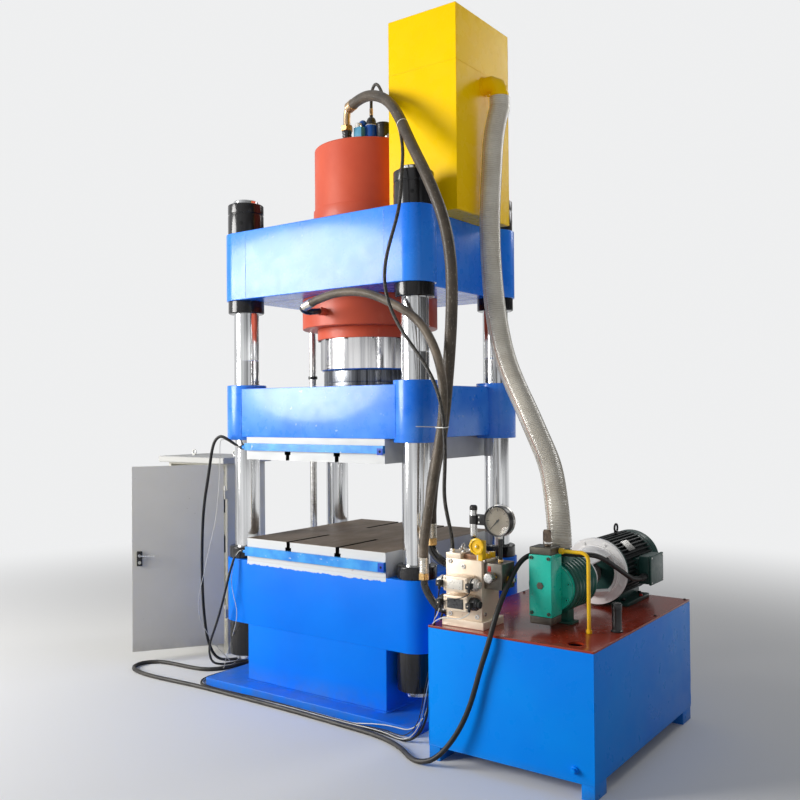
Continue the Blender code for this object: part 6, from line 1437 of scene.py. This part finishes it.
def swaged(start, end, radius, rings_count=5):
    """A ferrule between two points: its radius dips by a millimetre in each crimp, a cosine along it."""
    start, end = np.asarray(start, float), np.asarray(end, float)
    t = np.linspace(0, 1, 40)
    dip = 0.0011 * (0.5 - 0.5 * np.cos(2 * np.pi * rings_count * np.clip((t - 0.12) / 0.76, 0, 1)))
    shape = radius - dip
    shape[0], shape[-1] = radius - 0.003, radius - 0.003
    return tube(start + t[:, None] * (end - start), shape, 36)


def hexagon(start, end, radius):
    """A hexagon nut between two points, its corners chamfered at both faces."""
    start, end = np.asarray(start, float), np.asarray(end, float)
    long = np.linalg.norm(end - start)
    chamfer = 0.1 * radius
    half = [(0, 0), (radius - chamfer, 0), (radius, chamfer)]
    return lathe(half + [(r, long - h) for r, h in half[::-1]], start, end - start, 6, 0.0)


def rounded_run(points, per_leg=7):
    """A smooth run through bend points: each leg of the Catmull-Rom cubic is sampled evenly."""
    p = np.asarray(points, float)
    p = np.concatenate([2 * p[:1] - p[1:2], p, 2 * p[-1:] - p[-2:-1]])
    t = np.linspace(0, 1, per_leg, endpoint=False)[:, None]
    legs = [
        0.5 * (2 * b + (c - a) * t + (2 * a - 5 * b + 4 * c - d) * t**2 + (3 * b - a - 3 * c + d) * t**3)
        for a, b, c, d in zip(p[:-3], p[1:-2], p[2:-1], p[3:])
    ]
    return np.concatenate([*legs, p[-2:-1]])


def bent(points, radius):
    """A round pipe bent smoothly through points."""
    return tube(rounded_run(points), radius, 32)


fx, fy, fz = -0.012, -0.196, TOP
adapter = [
    (0, 0), (0.029, 0), (0.029, 0.012), (0.0255, 0.016), (0.029, 0.022), (0.0255, 0.03),
    (0.029, 0.038), (0.0255, 0.046), (0.029, 0.054), (0.0255, 0.062), (0.029, 0.07),
    (0.029, 0.081), (0, 0.081),
]
ferrule_start = (fx + 0.026, fy - 0.01, fz + 0.2152)
assemble("pressure_union_top", [
    (*lathe(adapter, (fx, fy, fz), steps=40, soft=0.001), 0),
    (*hexagon((fx, fy, fz + 0.081), (fx, fy, fz + 0.116), 0.036), 1),
    (*bent(
        [(fx, fy, fz + 0.11), (fx, fy, fz + 0.16), (fx + 0.006, fy - 0.002, fz + 0.196),
         (fx + 0.026, fy - 0.01, fz + 0.215), (fx + 0.04, fy - 0.016, fz + 0.2172)], 0.021), 3),
    (*swaged(ferrule_start, (fx + 0.074, fy - 0.029, fz + 0.222), 0.0325, 3), 3),
], [glossy_black, brass, ferrule_metal, tan_zinc], ["pressure_fitting_top"])
rz = 2.1245 + 0.078
assemble("return_union_top", [
    (*tube([(-0.01, -0.4103, rz), (-0.01, -0.452, rz)], 0.022, 32), 3),
    (*hexagon((-0.01, -0.44, rz), (-0.01, -0.462, rz), 0.0265), 3),
    (*bent(
        [(-0.01, -0.455, rz), (-0.016, -0.5, rz - 0.006), (-0.02, -0.535, rz - 0.01),
         (-0.026, -0.562, rz - 0.006), (-0.022, -0.585, rz + 0.003), (-0.004, -0.594, rz + 0.01),
         (0.006, -0.5955, rz + 0.0128)], 0.018), 0),
    (*swaged((-0.002, -0.5945, rz + 0.0105), (0.06, -0.602, rz + 0.028), 0.026, 4), 2),
], [glossy_black, brass, ferrule_metal, red_oxide], ["return_fitting_top"])
wall_x, low_z = 1.0297, LID_TOP + 0.262
px = wall_x - 0.166
assemble("pressure_union_low", [
    (*hexagon((wall_x, -0.64, low_z), (wall_x - 0.022, -0.64, low_z), 0.029), 0),
    (*bent(
        [(wall_x - 0.015, -0.64, low_z), (wall_x - 0.07, -0.64, low_z), (wall_x - 0.118, -0.64, low_z + 0.018),
         (wall_x - 0.154, -0.64, low_z + 0.052), (px, -0.64, low_z + 0.085)], 0.0215), 0),
    (*ring(0.015, 0.0245, 0.0, 0.01, (wall_x - 0.06, -0.64, low_z), (-1, 0, 0), 32, 0.002), 0),
    (*hexagon((px, -0.64, low_z + 0.081), (px, -0.64, low_z + 0.118), 0.035), 1),
    (*swaged((px, -0.64, low_z + 0.117), (px, -0.64, low_z + 0.19), 0.0312, 5), 2),
], [glossy_black, brass, ferrule_metal], ["pressure_fitting_low"])
low_z = LID_TOP + 0.06
px = wall_x - 0.139
assemble("return_union_low", [
    (*hexagon((wall_x, -0.735, low_z), (wall_x - 0.018, -0.735, low_z), 0.024), 0),
    (*bent(
        [(wall_x - 0.012, -0.735, low_z), (wall_x - 0.035, -0.735, low_z), (wall_x - 0.066, -0.738, low_z + 0.012),
         (wall_x - 0.104, -0.74, low_z + 0.05), (wall_x - 0.134, -0.74, low_z + 0.098),
         (px, -0.74, low_z + 0.135)], 0.0182), 0),
    (*hexagon((px, -0.74, low_z + 0.131), (px, -0.74, low_z + 0.164), 0.027), 1),
    (*swaged((px, -0.74, low_z + 0.163), (px, -0.74, low_z + 0.24), 0.0236, 5), 2),
], [glossy_black, brass, ferrule_metal], ["return_fitting_low"])


# Hoses: rubber pressure, return and pilot hoses with a woven wrap, and the clear suction hose with
# its moulded-in helix, each one length from fitting to fitting.
def hung(route, spacing):
    """Even points on the natural cubic spline through a route, with a straight stub at both ends.

    On each stretch of length h the curve is m0 v^3/6h + m1 u^3/6h + (p0/h - m0 h/6) v + (p1/h - m1 h/6) u,
    where u and v are the lengths run and left, and the bends m solve the usual tridiagonal system."""
    whole = np.array(route, float)
    p = whole[1:-1]
    h = np.linalg.norm(np.diff(p, axis=0), axis=1)
    knots, count = np.concatenate([[0.0], np.cumsum(h)]), len(p)
    slopes = np.diff(p, axis=0) / h[:, None]
    inner = np.diag(2 * (h[:-1] + h[1:])) + np.diag(h[1:-1], 1) + np.diag(h[1:-1], -1)
    m = np.zeros((count, 3))
    m[1:-1] = np.linalg.solve(inner, 6 * np.diff(slopes, axis=0))
    where = np.linspace(0, knots[-1], 60 * count)
    k = np.clip(np.searchsorted(knots, where, side="right") - 1, 0, count - 2)
    u, step = (where - knots[k])[:, None], h[k][:, None]
    v = step - u
    fine = m[k] * v**3 / (6 * step) + m[k + 1] * u**3 / (6 * step)
    fine += (p[k] / step - m[k] * step / 6) * v + (p[k + 1] / step - m[k + 1] * step / 6) * u
    fine = np.concatenate([whole[:1], fine, whole[-1:]])
    run = np.concatenate([[0], np.cumsum(np.linalg.norm(np.diff(fine, axis=0), axis=1))])
    even = np.linspace(0, run[-1], max(8, round(run[-1] / spacing) + 1))
    return np.stack([np.interp(even, run, fine[:, n]) for n in range(3)], 1), even


def lay_cord(name, route, radius, finish_of_it, spacing, around, swell=None, ends=None):
    """A hose or cable along its route; swell(run, angle) is added to its radius as its ribs. Its UV
    runs in metres along it and in turns round it."""
    points, run = hung(route, spacing)
    t = np.linspace(0, 2 * np.pi, around, endpoint=False)
    radii = np.full((len(points), around), radius)
    if swell is not None:
        radii = radii + swell(run[:, None], t[None, :])
    verts, faces = tube(points, radii, around)
    u, v = np.arange(len(points) - 1), np.arange(around)
    first, second = run[u][:, None], run[u + 1][:, None]
    left, right_edge = (v / around)[None, :], ((v + 1) / around)[None, :]
    corner_u = np.stack([first + 0 * left, first + 0 * left, second + 0 * left, second + 0 * left], -1)
    corner_v = np.stack([left + 0 * first, right_edge + 0 * first, right_edge + 0 * first, left + 0 * first], -1)
    uv = np.concatenate([np.stack([corner_u, corner_v], -1).reshape(-1, 2), np.zeros((6 * around, 2))])
    cord = assemble(name + "_laid", [(verts, faces)], finish_of_it, [name], uv=uv, angle=60)
    if ends is not None:
        cord.parent = None
        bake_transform(cord)


def wrapped_rubber(name, colour, other, rough, pitch, depth, fleck=0.0, tracer=None):
    """Hose cover. A spiral wrap of the given pitch, as bump on the hose's own UV; the cover drifts
    between two tones, with pale flecks along it and, if asked, a coloured tracer line."""
    material = finish(name, colour, other, rough, drift=9.0, grain=300.0, lift=0.0002)
    tree = material.node_tree
    shader = tree.nodes["Principled BSDF"]
    uv = add_node(tree, "ShaderNodeUVMap", uv_map="along_and_around").outputs[0]
    split = add_node(tree, "ShaderNodeSeparateXYZ", {0: uv})
    along, around = split.outputs["X"], split.outputs["Y"]
    turns = maths(tree, "MULTIPLY", along, 2 * math.pi / pitch)
    wave = maths(tree, "SINE", maths(tree, "ADD", turns, maths(tree, "MULTIPLY", around, 2 * math.pi)))
    old = shader.inputs["Normal"].links[0].from_socket
    bump = add_node(tree, "ShaderNodeBump", {"Height": wave, "Strength": 0.5, "Distance": depth, "Normal": old})
    tree.links.new(bump.outputs[0], shader.inputs["Normal"])
    tone = shader.inputs["Base Color"].links[0].from_socket
    if fleck:
        chips = add_node(tree, "ShaderNodeTexNoise", {"Vector": uv, "Scale": 45.0, "Detail": 3.0}).outputs["Fac"]
        tone = mixed(tree, ranged(tree, chips, 0.66 - fleck, 0.7 - fleck, 0.0, 1.0), tone, (0.3, 0.27, 0.22))
    if tracer:
        near_line = maths(tree, "ABSOLUTE", maths(tree, "SUBTRACT", around, tracer[0]))
        tone = mixed(tree, ranged(tree, near_line, 0.006, 0.012, 0.8, 0.0), tone, tracer[1])
        tone = mixed(tree, ranged(tree, wave, -1.0, 1.0, 0.0, 0.35), tone, (0.82, 0.8, 0.72))
    tree.links.new(tone, shader.inputs["Base Color"])
    return material


hose_rubber = wrapped_rubber("hose_rubber", (0.05, 0.04, 0.03), (0.095, 0.075, 0.055), 0.36, 0.009, 0.0006, 0.015)
hose_rubber_worn = wrapped_rubber(
    "hose_rubber_worn", (0.075, 0.062, 0.046), (0.17, 0.135, 0.1), 0.4, 0.008, 0.0006, 0.03
)
pilot_rubber = wrapped_rubber(
    "pilot_hose_rubber", (0.018, 0.017, 0.016), (0.035, 0.032, 0.028), 0.38, 0.005, 0.0004, 0.06
)
clear_hose = wrapped_rubber(
    "clear_suction_hose", (0.46, 0.41, 0.33), (0.6, 0.56, 0.47), 0.22, 0.011, 0.0015, 0.0, (0.3, (0.45, 0.2, 0.12))
)
clear_hose.node_tree.nodes["Principled BSDF"].inputs["Coat Weight"].default_value = 0.7
direction = np.array((0.046, -0.018, 0.006)) / np.linalg.norm((0.046, -0.018, 0.006))
start = np.array((0.062, -0.225, 3.4363)) + CLEAR * direction
pressure_route = [
    tuple(start), tuple(start + 0.03 * direction), (0.15, -0.26, 3.441), (0.232, -0.292, 3.43),
    (0.325, -0.325, 3.396), (0.405, -0.355, 3.347), (0.548, -0.42, 3.185), (0.65, -0.48, 3.04),
    (0.78, -0.55, 2.86), (0.853, -0.58, 2.74), (0.912, -0.585, 2.6), (0.95, -0.58, 2.421),
    (0.953, -0.572, 2.104), (0.926, -0.572, 1.782), (0.89, -0.59, 1.468), (0.868, -0.62, 1.286),
    (0.8637, -0.64, 1.1363), (0.8637, -0.64, 1.0763),
]
lay_cord("pressure_hose", pressure_route, 0.03, hose_rubber, 0.012, 36)
direction = np.array((0.062, -0.0075, 0.0175)) / np.linalg.norm((0.062, -0.0075, 0.0175))
start = np.array((0.06, -0.602, 2.2305)) + CLEAR * direction
return_route = [
    tuple(start), tuple(start + 0.03 * direction), (0.196, -0.606, 2.262), (0.339, -0.606, 2.267),
    (0.476, -0.606, 2.242), (0.576, -0.608, 2.202), (0.68, -0.614, 2.152), (0.782, -0.624, 2.084),
    (0.85, -0.636, 2.014), (0.918, -0.658, 1.91), (0.96, -0.675, 1.8), (0.978, -0.692, 1.67),
    (0.962, -0.716, 1.44), (0.926, -0.735, 1.201), (0.899, -0.74, 1.035), (0.8907, -0.74, 0.9743),
    (0.8907, -0.74, 0.9243),
]
lay_cord("return_hose", return_route, 0.0225, hose_rubber_worn, 0.012, 32)
pilot_top, pilot_low = 3.4316, 0.9793
pilot_route = [
    (0.105, -0.11, pilot_top), (0.105, -0.11, pilot_top + 0.03), (0.124, -0.124, pilot_top + 0.1),
    (0.177, -0.16, pilot_top + 0.115), (0.255, -0.205, 3.47), (0.335, -0.276, 3.388), (0.415, -0.316, 3.3),
    (0.484, -0.36, 3.208), (0.542, -0.415, 3.11), (0.59, -0.47, 3.03), (0.64, -0.54, 2.94),
    (0.676, -0.6, 2.83), (0.684, -0.632, 2.685), (0.676, -0.65, 2.602), (0.636, -0.666, 2.454),
    (0.622, -0.68, 2.301), (0.667, -0.69, 2.147), (0.759, -0.704, 2.011), (0.872, -0.722, 1.883),
    (0.97, -0.742, 1.742), (1.024, -0.756, 1.537), (1.028, -0.76, 1.347), (1.022, -0.752, 1.205),
    (1.046, -0.738, pilot_low + 0.07), (1.052, -0.735, pilot_low + 0.025), (1.052, -0.735, pilot_low),
]
lay_cord("pilot_hose", pilot_route, 0.009, pilot_rubber, 0.008, 20)
suction_route = [
    (0.894, 0.037, 3.3697), (0.894, 0.037, 3.31), (0.88, 0.005, 3.18), (0.872, -0.02, 2.95),
    (0.872, -0.045, 2.675), (0.882, -0.05, 2.413), (0.924, -0.075, 2.146), (1.006, -0.11, 1.878),
    (1.156, -0.165, 1.618), (1.245, -0.21, 1.48), (1.312, -0.256, 1.386), (1.364, -0.312, 1.31),
    (1.406, -0.366, 1.225), (1.436, -0.403, 1.13), (1.455, -0.425, 1.0203), (1.455, -0.425, 0.9803),
]
lay_cord(
    "suction_hose", suction_route, 0.0568, clear_hose, 0.0037, 40,
    lambda s, a: 0.0007 * np.sin(2 * np.pi * s / 0.0147 + a),
)


# Hose ties: white nylon straps pulled round the hoses where they run together. A strap's line is the
# support curve of the hoses' circles: at each angle it lies on the circle that reaches out furthest.
def strapped(centres, radii, along, width=0.0045, thick=0.0012):
    """P(a) = c + r d(a) for the circle with the greatest c.d(a) + r, in the plane across along."""
    centres, radii = np.asarray(centres, float), np.asarray(radii, float)
    along, side, other = square_to(along)
    middle = centres.mean(0)
    flat = np.stack([(centres - middle) @ side, (centres - middle) @ other], 1)
    a = np.linspace(0, 2 * np.pi, 73)[:-1]
    d = np.stack([np.cos(a), np.sin(a)], 1)
    best = np.argmax(d @ flat.T + radii, axis=1)
    line = flat[best] + radii[best][:, None] * d
    offsets = ((0, -width / 2), (thick, -width / 2), (thick, width / 2), (0, width / 2))
    grid = np.stack([
        middle + (line[:, :1] + out * d[:, :1]) * side + (line[:, 1:] + out * d[:, 1:]) * other + shift * along
        for out, shift in offsets
    ], 1)
    return grid.reshape(-1, 3), grid_faces(len(a), 4, loop=True)


white_nylon = finish("white_nylon", (0.8, 0.8, 0.77), (0.72, 0.72, 0.69), 0.35, drift=20.0)
upper_tie = strapped([(0.568, -0.431, 3.157), (0.52, -0.392, 3.146)], [0.0305, 0.0095], (0.6, -0.27, -0.75))
lower_tie = strapped(
    [(0.901, -0.581, 1.549), (0.971, -0.709, 1.549), (1.0225, -0.7555, 1.549)], [0.0305, 0.023, 0.0095], (0, 0, 1)
)
tail = tube([(0.88, -0.603, 1.549), (0.85, -0.655, 1.551), (0.815, -0.69, 1.552)], 0.0022, 8)
assemble("hose_ties", [upper_tie, lower_tie, tail], white_nylon)


# Cables: black sheathed leads from the slider, the table, the motor and the valves to the cabinet,
# laid along the floor and into glands low in its side. Thin black and white signal wires from the
# tables' switches and the valves' plugs hang beside them and are held to them as a loom.
sheath = finish(
    "cable_sheath", (0.014, 0.014, 0.014), (0.03, 0.029, 0.027), 0.42, drift=12.0, grain=500.0, lift=0.0001,
    soil=0.05, soil_colour=(0.16, 0.145, 0.125),
)


def to_cabinet(index, far):
    """The last three points of a cable: down to the level of its gland, straight to it, and in."""
    y = 0.07 * index
    return [(-1.12 + far, y - 0.004, 0.16), (-1.075, y, 0.17), (-1.1197, y, 0.17)]


wire_black = finish("wire_black", (0.012, 0.012, 0.012), (0.02, 0.02, 0.02), 0.45, drift=20.0)
wire_white = finish("wire_white", (0.72, 0.71, 0.68), (0.6, 0.59, 0.56), 0.45, drift=20.0)


def bound_wire(route, cable, entry, join, angle, radius, swing_out=0.0):
    """A thin wire along entry to the cable's point number join, then round the cable: it lies against
    it at an angle to the upright that drifts as sin s, and bows out by swing_out in mid run."""
    line, run = hung(route, 0.012)
    line, s = line[join:], run[join:]
    turn_by = angle + 0.5 * np.sin(2.3 * s + angle)
    bow = np.clip(np.sin(np.pi * (s - s[0]) / 0.9), 0, 1) * (s - s[0] < 0.9)
    away = (cable + radius + 0.0002 + swing_out * bow)[:, None]
    side = np.cos(turn_by)[:, None] * np.array([0.0, 0.0, 1.0]) + np.sin(turn_by)[:, None] * np.array([-0.6, -0.8, 0.0])
    wire = line + away * side
    wire[:, 2] = np.maximum(wire[:, 2], radius + 0.0004)
    return tube(rounded_run(np.concatenate([np.asarray(entry, float), wire[6::5]]), 4), radius, 8)


slider_route = [
    (-0.5353, -0.5538, 1.422), (-0.555, -0.5538, 1.422), (-0.588, -0.56, 1.434), (-0.616, -0.574, 1.456),
    (-0.64, -0.59, 1.474), (-0.672, -0.602, 1.486), (-0.706, -0.609, 1.468), (-0.733, -0.611, 1.422),
    (-0.76, -0.606, 1.34), (-0.802, -0.59, 1.225), (-0.85, -0.57, 1.11), (-0.952, -0.505, 0.83),
    (-1.015, -0.45, 0.55), (-1.066, -0.38, 0.254), (-1.078, -0.325, 0.1), (-1.062, -0.265, 0.022),
    (-1.022, -0.205, 0.0093), (-0.982, -0.14, 0.0133), (-0.958, -0.075, 0.042), (-0.972, -0.02, 0.106),
    *to_cabinet(0, 0.09),
]
give = ("slider_body", "press_frame", (-0.6, -0.565, 1.44), (-1.066, -0.38, 0.254))
slider_wire = assemble(
    "slider_signal_wire",
    [bound_wire(
        slider_route, 0.009,
        [(-0.55, -0.565, 1.4225), (-0.58, -0.57, 1.428), (-0.64, -0.58, 1.458), (-0.676, -0.582, 1.467),
         (-0.704, -0.578, 1.45), (-0.719, -0.568, 1.368), (-0.732, -0.56, 1.23), (-0.748, -0.56, 1.097),
         (-0.78, -0.556, 0.95), (-0.845, -0.548, 0.779), (-0.905, -0.535, 0.63), (-0.97, -0.515, 0.5),
         (-1.006, -0.49, 0.392), (-1.004, -0.465, 0.3), (-0.985, -0.435, 0.23), (-0.965, -0.385, 0.15),
         (-0.957, -0.32, 0.075), (-0.962, -0.26, 0.018), (-0.974, -0.215, 0.004)],
        154, 1.2, 0.0019,
    )],
    wire_white, angle=60,
)
slider_wire.parent = None
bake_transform(slider_wire)
lay_cord("slider_cable", slider_route, 0.009, sheath, 0.01, 16, ends=give)
table_route = [
    (-0.5353, -0.5538, 0.805), (-0.55, -0.5538, 0.805), (-0.575, -0.558, 0.796), (-0.592, -0.568, 0.772),
    (-0.602, -0.582, 0.73), (-0.618, -0.6, 0.64), (-0.664, -0.61, 0.48), (-0.76, -0.585, 0.31),
    (-0.866, -0.525, 0.195), (-0.942, -0.455, 0.105), (-0.985, -0.38, 0.034), (-0.984, -0.3, 0.0073),
    (-0.95, -0.215, 0.0073), (-0.915, -0.12, 0.0113), (-0.893, -0.03, 0.03), (-0.902, 0.035, 0.086),
    (-0.955, 0.064, 0.138), *to_cabinet(1, 0.1),
]
table_wire = assemble(
    "table_signal_wire",
    [bound_wire(
        table_route, 0.007,
        [(-0.545, -0.5632, 0.808), (-0.562, -0.565, 0.804), (-0.59, -0.57, 0.765), (-0.604, -0.576, 0.701),
         (-0.612, -0.58, 0.626), (-0.595, -0.58, 0.544), (-0.572, -0.579, 0.468), (-0.574, -0.577, 0.405),
         (-0.622, -0.552, 0.324), (-0.705, -0.5, 0.234), (-0.82, -0.43, 0.11), (-0.885, -0.39, 0.028),
         (-0.912, -0.375, 0.003), (-0.936, -0.33, 0.003), (-0.94, -0.28, 0.003)],
        92, 2.2, 0.0019,
    )],
    wire_white, angle=60,
)
lay_cord("table_cable", table_route, 0.007, sheath, 0.01, 14)
low = 0.0123
motor_route = [
    (1.66, 0.0997, 0.775), (1.66, 0.06, 0.775), (1.656, -0.02, 0.788), (1.648, -0.12, 0.83),
    (1.636, -0.22, 0.88), (1.626, -0.32, 0.925), (1.616, -0.4, 0.95), (1.591, -0.463, 0.961),
    (1.553, -0.494, 0.963), (1.508, -0.499, 0.963), (1.455, -0.499, 0.963), (1.42, -0.5, 0.96),
    (1.384, -0.509, 0.955), (1.352, -0.537, 0.945), (1.339, -0.583, 0.928), (1.339, -0.655, 0.89),
    (1.339, -0.725, 0.832), (1.336, -0.79, 0.76), (1.328, -0.834, 0.68), (1.308, -0.85, 0.59),
    (1.27, -0.852, 0.48), (1.218, -0.856, 0.315), (1.163, -0.868, 0.19), (1.1, -0.884, 0.096),
    (1.03, -0.9, 0.034), (0.95, -0.9, low), (0.85, -0.85, low), (0.74, -0.79, low),
    (0.6, -0.752, low), (0.415, -0.738, low), (0.028, -0.722, low), (-0.395, -0.718, low),
    (-0.839, -0.726, low), (-1.12, -0.744, low), (-1.29, -0.732, low), (-1.39, -0.69, low),
    (-1.424, -0.61, low), (-1.385, -0.535, low), (-1.28, -0.498, low), (-1.09, -0.485, low),
    (-0.95, -0.44, low), (-0.895, -0.34, low), (-0.872, -0.22, low), (-0.842, -0.09, low),
    (-0.822, 0.02, low + 0.01), (-0.836, 0.098, 0.06), (-0.9, 0.136, 0.12), *to_cabinet(2, 0.13),
]
lay_cord("motor_cable", motor_route, 0.012, sheath, 0.014, 18)
low = 0.0063
valve_route = [
    (1.0297, -0.622, 0.79), (1.01, -0.622, 0.79), (0.96, -0.622, 0.745), (0.925, -0.626, 0.66),
    (0.905, -0.634, 0.54), (0.884, -0.65, 0.36), (0.862, -0.672, 0.18), (0.83, -0.696, 0.06),
    (0.77, -0.705, 0.012), (0.68, -0.696, low), (0.415, -0.686, low), (0.028, -0.68, low), (-0.395, -0.68, low),
    (-0.7, -0.684, low), (-0.79, -0.66, low), (-0.838, -0.59, low), (-0.842, -0.45, low),
    (-0.834, -0.3, low), (-0.816, -0.15, low), (-0.796, 0.0, low), (-0.792, 0.105, 0.022),
    (-0.822, 0.175, 0.075), (-0.885, 0.208, 0.13), *to_cabinet(3, 0.16),
]
upper_z, lower_z = LID_TOP + 0.198, LID_TOP + 0.11
loom = (
    (0, upper_z, 22, 0.4, 0.0024, 0.03, [(1.0475, -0.845, 0.0), (1.0475, -0.846, -0.02), (1.03, -0.835, -0.075),
                                         (0.985, -0.79, -0.15), (0.945, -0.73, -0.23)]),
    (1, lower_z, 26, 1.5, 0.0026, 0.016, [(1.0475, -0.845, 0.0), (1.0475, -0.846, -0.018), (1.028, -0.835, -0.05),
                                          (0.975, -0.78, -0.095), (0.935, -0.72, -0.16)]),
    (1, lower_z, 28, -0.6, 0.0026, 0.045, [(1.2075, -0.845, 0.0), (1.207, -0.846, -0.022), (1.16, -0.85, -0.05),
                                           (1.06, -0.845, -0.06), (0.96, -0.78, -0.12), (0.925, -0.72, -0.19)]),
    (0, upper_z, 22, 2.4, 0.0022, 0.01, [(1.2075, -0.845, 0.0), (1.207, -0.847, -0.022), (1.16, -0.85, -0.046),
                                         (1.08, -0.85, -0.066), (1.01, -0.82, -0.13), (0.955, -0.745, -0.23)]),
)
assemble("signal_wires", [
    (*bound_wire(valve_route, 0.006, np.array(entry) + (0, 0, z), join, angle, radius, bow), tone)
    for tone, z, join, angle, radius, bow, entry in loom
], [wire_black, wire_white], angle=60)
lay_cord("valve_cable", valve_route, 0.006, sheath, 0.01, 12)


def boot(mouth, toward, cable, long):
    """A strain relief: a sleeve that tapers from 5 mm to 1 mm over the cable in three steps."""
    profile = [
        (0, 0.0), (cable + 0.0052, 0.0), (cable + 0.005, 0.2 * long), (cable + 0.0034, 0.45 * long),
        (cable + 0.0022, 0.75 * long), (cable + 0.001, long), (0, long),
    ]
    return lathe(profile, mouth, toward, 24, 0.001)


assemble("cable_boots", [
    boot((1.66, 0.1, 0.775), (0, -1, 0), 0.012, 0.04),
    *[boot((-1.12, 0.07 * k, 0.17), (1, 0, 0), cable, 0.04) for k, cable in enumerate((0.009, 0.007, 0.012, 0.006))],
    boot((-0.535, -0.5538, 0.805), (-1, 0, 0), 0.007, 0.022),
    boot((1.03, -0.622, 0.79), (-1, 0, 0), 0.006, 0.02),
], plug_black)
assemble(
    "slider_cable_boot", [boot((-0.535, -0.5538, 1.422), (-1, 0, 0), 0.009, 0.024)], plug_black,
    body="slider_body",
)
